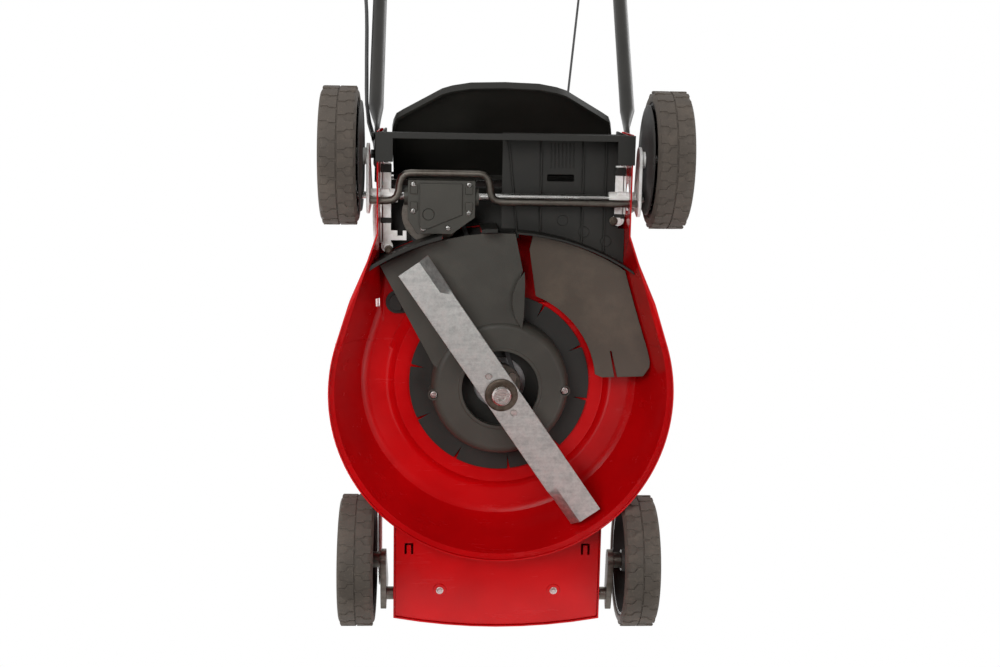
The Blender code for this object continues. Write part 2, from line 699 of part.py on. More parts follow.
def skirt_profile(inset):
    """The deck's chamber from rim to middle, drawn back by the sheet's thickness for its inside."""
    r = CHAMBER_RADIUS
    top = DECK_TOP_Z
    step = PLATEAU_RADIUS
    outer = [(r, RIM_Z), (r, RIM_Z + 6), (r - 6, RIM_Z + 11), (r - 21, RIM_Z + 66), (r - 36, top - 6),
             (r - 48, top)]
    inner = [(step + 14, top), (step + 5, top - 4), (step, PLATEAU_Z)]
    walls = [(radius - inset, max(z - inset, RIM_Z - inset)) for radius, z in outer]
    dish = [(radius + 0.6 * inset, z - inset) for radius, z in inner]
    return [(0, RIM_Z - inset)] + walls + dish + [(0, PLATEAU_Z - inset)]


def front_outline(inset, rear_radius):
    """The plan of the deck's front box, from the chamber's circle to its bowed front edge."""
    half = FRONT_HALF_WIDTH - inset
    start = math.degrees(math.acos(half / rear_radius))
    rear = arc((0, 0), rear_radius, -start, -180 + start, 16)
    bow = [(-half + 2 * half * k / 8, FRONT_END_Y + inset - FRONT_BOW * (1 - (2 * k / 8 - 1) ** 2))
           for k in range(9)]
    return rear + bow


def skirt_radius(z):
    """The outside radius of the deck's skirt at a height."""
    profile = skirt_profile(0)
    for (r0, z0), (r1, z1) in zip(profile[1:], profile[2:]):
        if z0 <= z <= z1:
            return r0 + (r1 - r0) * (z - z0) / (z1 - z0)
    return CHAMBER_RADIUS


def shoulder(sign, inset):
    """The straight part of the skirt, tangent to the round chamber, that runs back to a side wall."""
    edge = REAR_HALF_WIDTH - inset - 0.6
    turn = SHOULDER_TURN
    rings = []
    for radius, z in skirt_profile(inset)[1:7]:
        touch = (radius * math.cos(turn), radius * math.sin(turn))
        back = touch[1] + (touch[0] - edge) / math.tan(turn)
        rings.append([(sign * x, y, z) for x, y in ((0, 0), touch, (edge, back), (0, back))])
    return rings_solid(rings)


def bay(sign, inset):
    """The room inside a shoulder and the side wall behind it."""
    wall = block(sorted((0, sign * (REAR_HALF_WIDTH - inset))), (20, DUCT_FRONT_Y + 20),
                 (RIM_Z, DECK_TOP_Z - inset), 7.5)
    return joined(wall, shoulder(sign, inset))


def lip_arc(step, first_x, last_x, count):
    """Points along the chamber's bowed rear wall, drawn out by a step, from one x to another."""
    spots = [first_x + (last_x - first_x) * k / count for k in range(count + 1)]
    return [(x, LIP_RADIUS - LIP_BOW + math.sqrt((LIP_BOW + step) ** 2 - x ** 2)) for x in spots]


def make_deck():
    outer = turned(skirt_profile(0), DECK_SIDES)
    half = REAR_HALF_WIDTH
    rear = block((-half, half), (REAR_START_Y, REAR_END_Y + 20), (REAR_WALL_Z - 20, DECK_TOP_Z), 8)
    rear = cut(rear, block((-half - 5, half + 5), (0, REAR_END_Y + 60), (0, REAR_WALL_Z)),
               cylinder(PLATEAU_RADIUS + 15, 0, DECK_TOP_Z + 10, DECK_SIDES))
    sides = joined(shoulder(1, 0), shoulder(-1, 0))
    outer = joined(outer, rear, cut(sides, cylinder(PLATEAU_RADIUS + 15, 0, DECK_TOP_Z + 10, DECK_SIDES)))
    tunnel = [(TUNNEL_START_Y, DECK_TOP_Z - 10), (TUNNEL_END_Y, DECK_TOP_Z - 10),
              (TUNNEL_END_Y, TUNNEL_TOP_Z), (TUNNEL_END_Y - 12, TUNNEL_TOP_Z),
              (TUNNEL_START_Y + 26, DECK_TOP_Z + 10), (TUNNEL_START_Y, DECK_TOP_Z)]
    outer = joined(outer, prism(tunnel, TUNNEL_RIGHT_X, TUNNEL_LEFT_X, "X"))
    front = prism(front_outline(0, CHAMBER_RADIUS - 40), FRONT_PANEL_Z - 3.3, FRONT_TOP_Z)
    outer = joined(outer, front)

    inner = turned(skirt_profile(SHEET), DECK_SIDES)
    inner_half = half - SHEET
    room = block((-inner_half, inner_half), (REAR_START_Y, REAR_END_Y + 40),
                 (RIM_Z - 30, DECK_TOP_Z - SHEET), 7)
    dish = cylinder(PLATEAU_RADIUS + 15, 0, DECK_TOP_Z + 10, DECK_SIDES)
    room = joined(room, shoulder(1, SHEET), shoulder(-1, SHEET))
    inner = joined(inner, cut(room, dish))
    inner_tunnel = [(TUNNEL_START_Y + SHEET, DECK_TOP_Z - 14), (TUNNEL_END_Y + 4, DECK_TOP_Z - 14),
                    (TUNNEL_END_Y + 4, TUNNEL_TOP_Z - SHEET), (TUNNEL_END_Y - 12.5, TUNNEL_TOP_Z - SHEET),
                    (TUNNEL_START_Y + 27, DECK_TOP_Z + 7.8), (TUNNEL_START_Y + SHEET, DECK_TOP_Z - 1.5)]
    inner = joined(inner, prism(inner_tunnel, TUNNEL_RIGHT_X + SHEET, TUNNEL_LEFT_X - SHEET, "X"))
    deck = cut(outer, inner)
    hollow = prism(front_outline(SHEET, PLATEAU_RADIUS + 15), FRONT_PANEL_Z - 6, FRONT_TOP_Z - SHEET)
    deck = cut(deck, cut(hollow, turned(skirt_profile(0.5), DECK_SIDES)))
    wall = prism(lip_arc(2.5, 200, 8, 10) + lip_arc(0.6, 8, 200, 10), REAR_WALL_Z + 6, DECK_TOP_Z - 1)
    wall = combine(wall, [bay(1, SHEET / 2)], "INTERSECT")
    belt_gap = BELT_Z - PULLEY_WIDTH / 2 - 5
    wall = cut(wall, block((30, 158), (0, REAR_END_Y), (belt_gap, BELT_Z + PULLEY_WIDTH)),
               block((30, 80), (0, REAR_END_Y), (0, GEARBOX_TOP_Z + 2)))
    deck = joined(deck, wall)

    duct = CHEEK_X + CHEEK_THICKNESS + 0.5
    deck = cut(deck, block((-duct, duct), (DUCT_FRONT_Y - 0.5, REAR_END_Y + 60),
                           (DECK_TOP_Z - 10, DECK_TOP_Z + 5)))
    deck = cut(deck, block((-half - 5, half + 5), (REAR_END_Y, REAR_END_Y + 60), (0, DECK_TOP_Z + 10)))
    for sign in (1, -1):
        ends = sorted((sign * (half - SHEET + 0.1), sign * (half - 0.1)))
        ear = round_hull([(REAR_END_Y - 14, HANDLE_FOOT_Z + 12, 12), (HANDLE_FOOT_Y - 4, DECK_TOP_Z + 2, 14),
                          (HANDLE_FOOT_Y - 16, REAR_WALL_Z + 40, 14),
                          (REAR_END_Y - 16, REAR_WALL_Z + 40, 14)], 3)
        deck = joined(deck, prism(ear, *ends, "X"))
    deck = joined(deck, height_quadrant())
    deck = cut(deck, cylinder(crank_swing(), -half - 5, half + 5, 14, "X", (REAR_PIVOT_Y, PIVOT_Z)))
    deck = cut(deck, cylinder(CROSS_ROD_RADIUS + RUN, -half - 5, half + 5, 12, "X", (FRONT_PIVOT_Y, PIVOT_Z)))
    hole = [(0, PLATEAU_Z - 20), (CRANK_HOLE_RADIUS, PLATEAU_Z - 20), (CRANK_HOLE_RADIUS, PLATEAU_Z + 5),
            (0, PLATEAU_Z + 5)]
    deck = cut(deck, turned(hole, 18, phase=0.05))
    deck = cut(deck, block((165, 170), (103, 115), (100, 160)))
    cable_hole = cylinder(CABLE_RADIUS + 5, half - 5, half + 5, 12, "X", (CABLE_HOLE_Y, CABLE_HOLE_Z))
    bevel = [(60, 0), (60, RIM_Z - 0.5), (244, REAR_WALL_Z + 0.4), (244, 0)]
    for sign in (1, -1):
        ends = sorted((sign * (REAR_HALF_WIDTH - 14), sign * (CHAMBER_RADIUS + 5)))
        deck = cut(deck, prism(bevel, *ends, "X"))
    return piece("deck", cut(deck, cable_hole), "red_enamel")


def make_front_panel():
    """The plate that closes the deck's front box from below, over the front cross rod."""
    panel = prism(front_outline(SHEET + GAP, skirt_radius(FRONT_PANEL_Z) + 0.8), FRONT_PANEL_Z,
                  FRONT_PANEL_Z + FRONT_PANEL_THICKNESS)
    for sign in (1, -1):
        x = sign * 120
        for half_x, half_y, shift in ((3, 8, -7), (3, 8, 7), (8, 2.5, 0)):
            slot = block((x + shift - half_x, x + shift + half_x), (-228 - half_y, -228 + half_y), (70, 100))
            panel = cut(panel, slot)
        boss = cylinder(9, FRONT_PANEL_Z - 1.5, FRONT_PANEL_Z + 1, 10, "Z", (sign * 79, -286))
        panel = joined(panel, boss)
    return piece("front_panel", panel, "red_enamel")


# Rear duct, flap, deflector and clip

def make_rear_chute():
    """The black moulding behind the blade: ribbed floor, side cheeks, front wall and lower bar."""
    x = CHEEK_X
    wall = CHEEK_THICKNESS
    bar_y = (REAR_END_Y - 9, REAR_END_Y - 1)
    bar_z = (REAR_WALL_Z - 6, REAR_WALL_Z + 4)
    chute = block((-x - wall, x + wall), bar_y, bar_z, 1)
    side = REAR_HALF_WIDTH + 1.5
    chute = joined(chute, block((-side, side), bar_y, (bar_z[0], REAR_WALL_Z - GAP)))
    for sign in (1, -1):
        slope = math.tan(FLAP_SLOPE)
        edge_z = FLAP_HINGE_Z - (REAR_END_Y - FLAP_HINGE_Y) * slope - 6
        cheek = [(DUCT_FRONT_Y, DECK_TOP_Z + 2), (DUCT_FRONT_Y + 56, DECK_TOP_Z + 2),
                 (DUCT_FRONT_Y + 56, bar_z[0]), (bar_y[1], bar_z[0]), (bar_y[1], edge_z),
                 (FLAP_HINGE_Y + 10, FLAP_HINGE_Z - 12)]
        cheek += arc((FLAP_HINGE_Y, FLAP_HINGE_Z), 9, -30, 140, 6)
        cheek.append((DUCT_FRONT_Y, FLAP_HINGE_Z - 6))
        ends = sorted((sign * x, sign * (x + wall)))
        chute = joined(chute, prism(cheek, *ends, "X"))
        post = sorted((sign * (x - 12), sign * side))
        chute = joined(chute, block(post, (bar_y[1] - 38, bar_y[1]), (bar_z[0], bar_z[0] + 4)))
    front = block((-x - 1, x + 1), (DUCT_FRONT_Y, DUCT_FRONT_Y + wall), (DECK_TOP_Z + 2, FLAP_HINGE_Z - 3))
    front = cut(front, block((TUNNEL_RIGHT_X - 1, TUNNEL_LEFT_X + 1), (DUCT_FRONT_Y - 5, DUCT_FRONT_Y + 9),
                             (DECK_TOP_Z - 10, TUNNEL_TOP_Z + 1)))
    chute = joined(chute, front)

    floor_low = 108
    floor_right = TUNNEL_RIGHT_X - 5
    floor = block((floor_right, 2), (DUCT_FRONT_Y - 40, bar_y[1] - 1), (floor_low, floor_low + wall))
    arch = lip_arc(0, -19, -200, 9) + lip_arc(-wall, -200, -19, 9)
    lip = prism(arch, REAR_WALL_Z + 12, floor_low + wall)
    back = DUCT_FRONT_Y - 38
    fill = prism(lip_arc(-1, -19, -200, 9) + [(-200, back), (-18, back)], floor_low, floor_low + wall)
    front_part = combine(joined(lip, fill), [bay(-1, SHEET + GAP)], "INTERSECT")
    chute = joined(chute, floor, front_part)
    for rib_x, low, front_y, back_y in ((-3, 70, 290, bar_y[1] - 2), (-24, 66, 290, bar_y[1] - 2),
                                        (-46, 76, 277, bar_y[1] - 2), (-96, 76, 277, bar_y[1] - 2),
                                        (-126, 66, 290, bar_y[1] - 2)):
        chute = joined(chute, block((rib_x - 1.2, rib_x + 1.2), (front_y, back_y), (low, floor_low + 1)))
    chute = joined(chute, block((floor_right, 2), (bar_y[0], bar_y[0] + wall), (bar_z[1] - 2, floor_low + 1)))
    for k, (cx, cy) in enumerate(((-84, 214), (-113, 199), (-143, 187))):
        chute = joined(chute, cylinder(8, floor_low - 26 + 4 * k, floor_low + 1, 8, "Z", (cx + 4, cy + 14)))
    hinge = cylinder(HINGE_ROD_RADIUS + 0.3, -x - 10, x + 10, 12, "X", (FLAP_HINGE_Y, FLAP_HINGE_Z))
    chute = cut(chute, hinge)
    return piece("rear_chute", chute, "black_plastic")


def flap_frame():
    """Turns flap drawing space (x, out from the hinge, up from the flap) into the mower's space."""
    return Matrix.Translation((0, FLAP_HINGE_Y, FLAP_HINGE_Z)) @ Matrix.Rotation(-FLAP_SLOPE, 4, "X")


def flap_outline(inset):
    half = FLAP_HALF_WIDTH - inset
    reach = FLAP_LENGTH - inset
    near = 8 + inset
    side = [(half, near), (half, reach - 88), (half - 2, reach - 76), (half - 6, reach - 64)]
    edge = [(half * 0.9, reach - 56), (half * 0.55, reach - 14), (half * 0.46, reach - 8),
            (half * 0.3, reach - 2)]
    right = side + edge
    return right + [(0, reach)] + [(-x, y) for x, y in reversed(right)]


def make_flap():
    low = -11
    flap = prism(flap_outline(0), low, 0)
    flap = cut(flap, prism(flap_outline(FLAP_THICKNESS), low - 1, -FLAP_THICKNESS))
    for x in (-124, 84):
        knuckle = cylinder(7.5, x, x + 40, 10, "X", (0, 0))
        web = block((x, x + 40), (0, 12), (-5, 0))
        flap = joined(flap, knuckle, web)
    flap = cut(flap, cylinder(HINGE_ROD_RADIUS + RUN, -200, 200, 12, "X", (0, 0)))
    flap.data.transform(scaled_frame(flap_frame()))
    axis = (0, FLAP_HINGE_Y, FLAP_HINGE_Z)
    piece("discharge_flap", flap, "black_plastic", axis)
    rod = cylinder(HINGE_ROD_RADIUS, -CHEEK_X - CHEEK_THICKNESS - 3, CHEEK_X + CHEEK_THICKNESS + 3, 12, "X",
                   axis[1:])
    piece("flap_hinge_rod", rod, "bright_steel")


def make_flap_spring():
    """A torsion spring round the hinge rod, one leg lying on the flap."""
    turns = 3
    wire = 0.9
    coil = 6.2
    pitch = 2.5
    steps = turns * 9
    start_x = 40
    frame = flap_frame()
    points = []
    for k in range(steps + 1):
        a = math.pi / 2 - 2 * math.pi * k / 9
        points.append(frame @ Vector((start_x + pitch * k / 9, coil * math.cos(a), coil * math.sin(a))))
    gaps = [(points[k + 9] - points[k]).length - 2 * wire for k in range(len(points) - 9)]
    print("flap spring: least gap between curls", round(min(gaps), 3), "mm")
    leg = [Vector((start_x + pitch * turns + 1, 6, coil + 0.2)),
           Vector((start_x + pitch * turns + 1, 20, 3.2)),
           Vector((start_x + pitch * turns + 1, 46, 1.4))]
    points += [frame @ p for p in leg]
    return wire_object("flap_spring", points, wire, "bright_steel", 1)


def scaled_frame(matrix):
    """A drawing matrix in millimetres for a mesh that is already in metres."""
    made = matrix.copy()
    made.translation = matrix.translation * MM
    return made


def make_deflector():
    """The brown sheet that leads the cut grass round to the tunnel, between the belt cover and the skirt."""
    inner_radius = COVER_RING_RADIUS
    steps = 14
    rings = []
    for k in range(steps + 1):
        share = k / steps
        angle = math.radians(171 - 70 * share)
        way = Vector((math.cos(angle), math.sin(angle)))
        centre = LIP_RADIUS - LIP_BOW
        bow = LIP_BOW - 6
        lip = centre * way.y + math.sqrt(bow ** 2 - (centre * way.x) ** 2)
        outer_radius = min(lip, 204 + 60 * share)
        low = 101 + 5 * share
        ring = []
        for radius, z in ((inner_radius, low + 13), (outer_radius, low - 4), (outer_radius, low - 1),
                          (inner_radius, low + 16)):
            ring.append((radius * way.x, radius * way.y, z))
        rings.append(ring)
    room = joined(turned(skirt_profile(SHEET + 1.5), DECK_SIDES), bay(-1, SHEET + 1.5))
    sheet = combine(rings_solid(rings), [room], "INTERSECT")
    wall = -REAR_HALF_WIDTH
    sheet = cut(sheet, block((wall + 11, wall + 22), (30, 58), (90, 140)))
    for spot in ((wall + 12.8, 71.4), (wall + 25.9, 94.5)):
        sheet = joined(sheet, cylinder(5, 106, DECK_TOP_Z - SHEET - GAP, 10, "Z", spot))
    return piece("chute_deflector", sheet, "brown_plastic")


def make_side_clip():
    """The D-shaped plug in the deck's roof at the left rear."""
    outline = [(131, 94), (131, 124)] + arc((141, 109), 16, 80, -80, 10)
    top = DECK_TOP_Z - SHEET - GAP
    clip = prism(outline, top - 4, top)
    clip = joined(clip, prism([(135, 98), (135, 120)] + arc((140, 109), 12, 70, -70, 8), top - 9, top - 3))
    return piece("side_clip", clip, "black_plastic")


# Blade and what drives it

def make_blade():
    """The blade: flat in the middle, a sharpened leading edge and a raised wing at each end."""
    half_long = BLADE_LENGTH / 2
    half = BLADE_WIDTH / 2
    along = Vector((math.cos(BLADE_ANGLE), math.sin(BLADE_ANGLE), 0))
    across = Vector((-math.sin(BLADE_ANGLE), math.cos(BLADE_ANGLE), 0))
    bend = half_long - BLADE_WING_LENGTH
    bevel = half_long - 90
    stations = [(half_long, 1.0, True), (bend + 14, 0.75, True), (bend, 0.0, True), (bevel, 0.0, True),
                (bevel - 6, 0.0, False)]
    rings = []
    for sign in (-1, 1):
        for reach, lift, sharp in stations if sign < 0 else reversed(stations):
            edges = {}
            for edge in (-1, 1):
                raised = BLADE_WING_LIFT * lift if edge == sign else 0
                thick = 1.0 if sharp and edge == -sign else BLADE_THICKNESS
                edges[edge] = (raised, thick)
            inner = half - 13
            low_left, thick_left = edges[-1]
            low_right, thick_right = edges[1]
            ring = [(-half, low_left), (-inner, 0), (inner, 0), (half, low_right),
                    (half, low_right + thick_right), (inner, BLADE_THICKNESS), (-inner, BLADE_THICKNESS),
                    (-half, low_left + thick_left)]
            middle = along * (sign * reach)
            rings.append([middle + across * v + Vector((0, 0, BLADE_Z + z)) for v, z in ring])
    blade = rings_solid(rings)
    holes = [(0, 0, BLADE_BOLT_RADIUS + GAP)]
    for sign in (-1, 1):
        spot = along * (sign * BLADE_PIN_SPACING / 2)
        holes.append((spot.x, spot.y, BLADE_PIN_RADIUS + GAP))
    for x, y, radius in holes:
        blade = cut(blade, cylinder(radius, BLADE_Z - 5, BLADE_Z + BLADE_THICKNESS + 5, 12, "Z", (x, y)))
    return piece("blade", blade, "blade_steel", (0, 0, BLADE_Z))


def groove(radius, low):
    """A belt pulley's rim profile from its lower flange to its upper one."""
    bottom = radius - BELT_DEPTH - GAP
    top = low + PULLEY_WIDTH
    return [(radius + 2, low), (radius + 2, low + 2), (bottom, low + 2), (bottom, top - 2),
            (radius + 2, top - 2),
            (radius + 2, top)]


def make_blade_drive():
    axis = (0, 0, BLADE_Z)
    low = BLADE_Z + BLADE_THICKNESS + GAP
    seat = low + 6
    pulley_low = BELT_Z - PULLEY_WIDTH / 2
    bolt_hole = BLADE_BOLT_RADIUS + GAP
    profile = [(bolt_hole, low), (HUB_FLANGE_RADIUS, low), (HUB_FLANGE_RADIUS, seat - 1), (18, seat + 1),
               (18, pulley_low)] + groove(PULLEY_RADIUS, pulley_low)
    bore = CRANK_RADIUS + GAP
    profile += [(bore, pulley_low + PULLEY_WIDTH), (bore, seat), (bolt_hole, seat)]
    hub_part = turned(profile, 14)
    along = Vector((math.cos(BLADE_ANGLE), math.sin(BLADE_ANGLE), 0))
    spots = [along * (sign * BLADE_PIN_SPACING / 2) for sign in (-1, 1)]
    ears = prism(round_hull([(spot.x, spot.y, BLADE_PIN_RADIUS + 4) for spot in spots], 4), low, seat - 2)
    lobe = prism(round_hull([(0, 0, 14), (-14.5, 23.5, 6)], 3), low, seat - 2)
    ears = cut(joined(ears, lobe), cylinder(bolt_hole + 3, low - 1, seat + 1, 12))
    for spot in spots:
        ears = joined(ears, cylinder(BLADE_PIN_RADIUS, BLADE_Z + 1, low + 1, 8, "Z", (spot.x, spot.y)))
    piece("drive_pulley", joined(hub_part, ears), "dark_steel", axis)

    washer_top = BLADE_Z - GAP
    washer_low = washer_top - 3.5
    washer = turned([(bolt_hole, washer_low + 1), (20, washer_low), (22, washer_low + 1.5), (22, washer_top),
                     (bolt_hole, washer_top)], 14)
    piece("blade_washer", washer, "brown_steel", axis)

    head_top = washer_low - GAP + 0.9
    bolt = turned([(0, head_top - 8), (10.5, head_top - 8), (13, head_top - 5.5), (13, head_top - 0.9),
                   (BLADE_BOLT_RADIUS, head_top - 0.9), (BLADE_BOLT_RADIUS, seat + 14), (0, seat + 14)], 12)
    socket = cylinder(6.4, head_top - 9, head_top - 3, 6)
    piece("blade_bolt", cut(bolt, socket), "bright_steel", axis)

    shaft_low = seat + GAP
    shaft = turned([(bolt_hole, shaft_low), (CRANK_RADIUS, shaft_low), (CRANK_RADIUS, SHROUD_LOW_Z + 8),
                    (8, SHROUD_LOW_Z + 9), (8, SHROUD_TOP_Z - 20), (3, SHROUD_TOP_Z - 20), (3, seat + 16),
                    (bolt_hole, seat + 16)], 14)
    piece("crankshaft", shaft, "bright_steel", axis)

    wheel_low = SHROUD_LOW_Z + 9 + GAP
    flywheel = turned([(8 + GAP, wheel_low), (FLYWHEEL_RADIUS - 15, wheel_low),
                       (FLYWHEEL_RADIUS, wheel_low + 3),
                       (FLYWHEEL_RADIUS, wheel_low + 20), (FLYWHEEL_RADIUS - 8, wheel_low + 20),
                       (FLYWHEEL_RADIUS - 12, wheel_low + 10), (8 + GAP, wheel_low + 10)], 16)
    for k in range(FAN_VANES):
        a = 2 * math.pi * k / FAN_VANES
        vane = block((34, FLYWHEEL_RADIUS - 4), (-1.5, 1.5), (wheel_low + 8, wheel_low + 32))
        vane.data.transform(Matrix.Rotation(a, 4, "Z"))
        flywheel = joined(flywheel, vane)
    piece("flywheel", flywheel, "cast_aluminium", axis)

    belt = prism(round_hull([(0, 0, PULLEY_RADIUS), (INPUT_X, INPUT_Y, GEARBOX_PULLEY_RADIUS)], 6),
                 BELT_Z - BELT_HEIGHT / 2, BELT_Z + BELT_HEIGHT / 2)
    hollow = prism(round_hull([(0, 0, PULLEY_RADIUS - BELT_DEPTH),
                               (INPUT_X, INPUT_Y, GEARBOX_PULLEY_RADIUS - BELT_DEPTH)], 6),
                   BELT_Z - 9, BELT_Z + 9)
    piece("drive_belt", cut(belt, hollow), "belt_rubber")


def arm_outline(inset):
    """The plan of the belt cover's arm, from the dish to the gearbox."""
    end = lip_arc(-COVER_ARM_CLEAR - 3 - inset, 163 - 1.3 * inset, -17 + inset, 8)
    return [(78 - inset, 20 + inset), (91 - 1.1 * inset, 31)] + end + [(-28 + inset, 160), (-16 + inset, 130),
                                                                   (-29 + inset, 78), (-24 + inset, 60)]


def make_belt_cover():
    low = COVER_LOW_Z
    wall = COVER_WALL
    r = COVER_RADIUS
    hole = COVER_HOLE_RADIUS
    top = COVER_TOP_Z
    seat = PLATEAU_Z - SHEET - GAP
    cover = turned([(0, low - 1), (hole + 4, low - 1), (hole + 5, low), (r - 9, low), (r - 3, low + 2.5),
                    (r + 1, low + 8), (r + 3, low + 16), (r + 3, top), (0, top)], 20)
    cover = joined(cover, prism(arm_outline(0), COVER_ARM_Z, top))
    cover = joined(cover, block((-24, -20), (100, 150), (COVER_ARM_Z - 5, COVER_ARM_Z + 2)))
    bolts = ((99, -13), (-96, -3))
    head = COVER_ARM_Z - 1.5
    for x, y in bolts:
        boss = prism(round_hull([(x, y, 8), (0.8 * x, 0.8 * y, 8)], 3), head + 3, seat)
        bolt = cylinder(5.5, head, head + 9, 8, "Z", (x, y))
        cover = joined(cover, joined(boss, bolt))
    inside = [(x, y) if math.hypot(x, y) < LIP_RADIUS - 12 else (1.04 * x, 1.04 * y)
              for x, y in arm_outline(wall)]
    hollow = turned([(0, low + 10), (hole + wall, low + 10), (hole + wall, low + wall), (r - 8.5, low + wall),
                     (r - 4.5, low + 4.5), (r - wall, low + 9), (r - wall, seat + 5), (0, seat + 5)], 20)
    hollow = joined(hollow, prism(inside, COVER_ARM_Z + wall, seat + 5))
    cover = cut(cover, hollow, cylinder(hole, low - 5, low + 20, 20))
    piece("belt_cover", cover, "grey_plastic")

    ring_low = top + GAP
    ring = tube(COVER_RING_RADIUS, CRANK_HOLE_RADIUS - 6, ring_low, ring_low + 1.5, 20)
    for k in range(6):
        slit = block((r + 8, COVER_RING_RADIUS + 3), (-0.8, 0.8), (ring_low - 2, ring_low + 4))
        slit.data.transform(Matrix.Rotation(2 * math.pi * (k + 0.3) / 6, 4, "Z"))
        ring = cut(ring, slit)
    for x, y in bolts:
        ring = cut(ring,
                   prism(round_hull([(x, y, 8.7), (0.8 * x, 0.8 * y, 8.7)], 3), ring_low - 3, ring_low + 5))
    piece("cover_ring", ring, "black_plastic")


def make_gearbox():
    x = (GEARBOX_X - GEARBOX_WIDTH / 2, GEARBOX_X + GEARBOX_WIDTH / 2)
    low = GEARBOX_LOW_Z
    housing = block(x, (GEARBOX_FRONT_Y, GEARBOX_BACK_Y), (low, GEARBOX_TOP_Z), 5)
    front, back = GEARBOX_FRONT_Y + 6, GEARBOX_BACK_Y - 4
    plan = [(x[0] + 17, front + 20), (x[0] + 62, front + 1), (x[1] - 19, front), (x[1] - 16, front + 4),
            (x[1] - 16, back), (x[0] + 17, back)]
    cover = prism(plan, low - 3.5, low + 4)
    plug = cylinder(9, low - 5, low, 10, "Z", (INPUT_X, INPUT_Y))
    housing = joined(housing, cover, plug)
    for sx, sy in ((118, 272), (46, 272), (118, 240), (46, 238), (118, 220), (46, 220)):
        housing = joined(housing, cylinder(3.6, low - 2.5, low + 1, 6, "Z", (sx, sy)))
    for sign, face in ((1, x[1]), (-1, x[0])):
        ends = sorted((face - sign, face + sign * 5))
        housing = joined(housing, cylinder(12, *ends, 10, "X", (REAR_PIVOT_Y, PIVOT_Z)))
    bore = cylinder(SHAFT_RADIUS + RUN, x[0] - 10, x[1] + 10, 12, "X", (REAR_PIVOT_Y, PIVOT_Z))
    socket = cylinder(INPUT_RADIUS + RUN, GEARBOX_TOP_Z - 8, GEARBOX_TOP_Z + 5, 12, "Z", (INPUT_X, INPUT_Y))
    housing = cut(housing, bore, socket)
    piece("gearbox_housing", housing, "grey_plastic", (0, REAR_PIVOT_Y, PIVOT_Z))

    pulley_low = BELT_Z - PULLEY_WIDTH / 2
    profile = [(0, GEARBOX_TOP_Z - 7), (INPUT_RADIUS, GEARBOX_TOP_Z - 7), (INPUT_RADIUS, pulley_low)]
    profile += groove(GEARBOX_PULLEY_RADIUS, pulley_low) + [(0, pulley_low + PULLEY_WIDTH)]
    pulley = turned(profile, 14, "Z", (INPUT_X, INPUT_Y, 0))
    piece("gearbox_pulley", pulley, "dark_steel", (INPUT_X, INPUT_Y, BELT_Z))


def bracket(sign):
    """The plated bracket that carries the drive shaft's bush against the deck's side wall."""
    outer = REAR_HALF_WIDTH - SHEET - GAP
    front_y = 183 if sign > 0 else 222
    ends = sorted((sign * outer, sign * (outer - 3)))
    plate = block(ends, (front_y + 12, 302), (90, 124))
    strip = sorted((sign * outer, sign * (outer - 16)))
    flange = block(strip, (front_y + 8, 302), (103.4, 106.4))
    made = joined(plate, flange)
    tip = (sign * (outer - 8), front_y + 8)
    made = joined(made, cylinder(8, 103.4, 106.4, 8, "Z", tip))
    made = joined(made, cylinder(5, 100.9, 104.4, 6, "Z", (tip[0], tip[1] - 1)))
    if sign > 0:
        tab = block((128, outer - 10), (199, 212), (103.4, 106.4))
        notch = block((133, 140), (205, 215), (100, 110))
        made = joined(made, cut(tab, notch))
    bush = sorted((sign * (GEARBOX_X + GEARBOX_WIDTH / 2 + 13.7), sign * (PLATE_X - GAP)))
    made = joined(made, cylinder(9, *bush, 10, "X", (REAR_PIVOT_Y, PIVOT_Z)))
    collar = sorted((sign * (outer - 14), sign * (outer - 1)))
    made = joined(made, block(collar, (REAR_PIVOT_Y - 9, REAR_PIVOT_Y + 9), (PIVOT_Z - 8, PIVOT_Z + 8), 1.5))
    swing = crank_swing()
    start = math.degrees(math.atan2(-CRANK_ROD_DROP, -CRANK_ROD_BACK))
    sector = arc((REAR_PIVOT_Y, PIVOT_Z), swing, start - 50, start + 50, 8)
    sector += arc((REAR_PIVOT_Y, PIVOT_Z), 9.2, start + 50, start - 50, 6)
    free = sorted((sign * (outer - 30), sign * (PLATE_X + 2)))
    made = cut(made, prism(sector, *free, "X"))
    return cut(made, cylinder(SHAFT_RADIUS + RUN, *sorted((sign * 100, sign * (PLATE_X + 4))), 12, "X",
                               (REAR_PIVOT_Y, PIVOT_Z)))


def make_brackets():
    piece("left_bracket", bracket(1), "zinc")
    piece("right_bracket", bracket(-1), "zinc")


# Engine

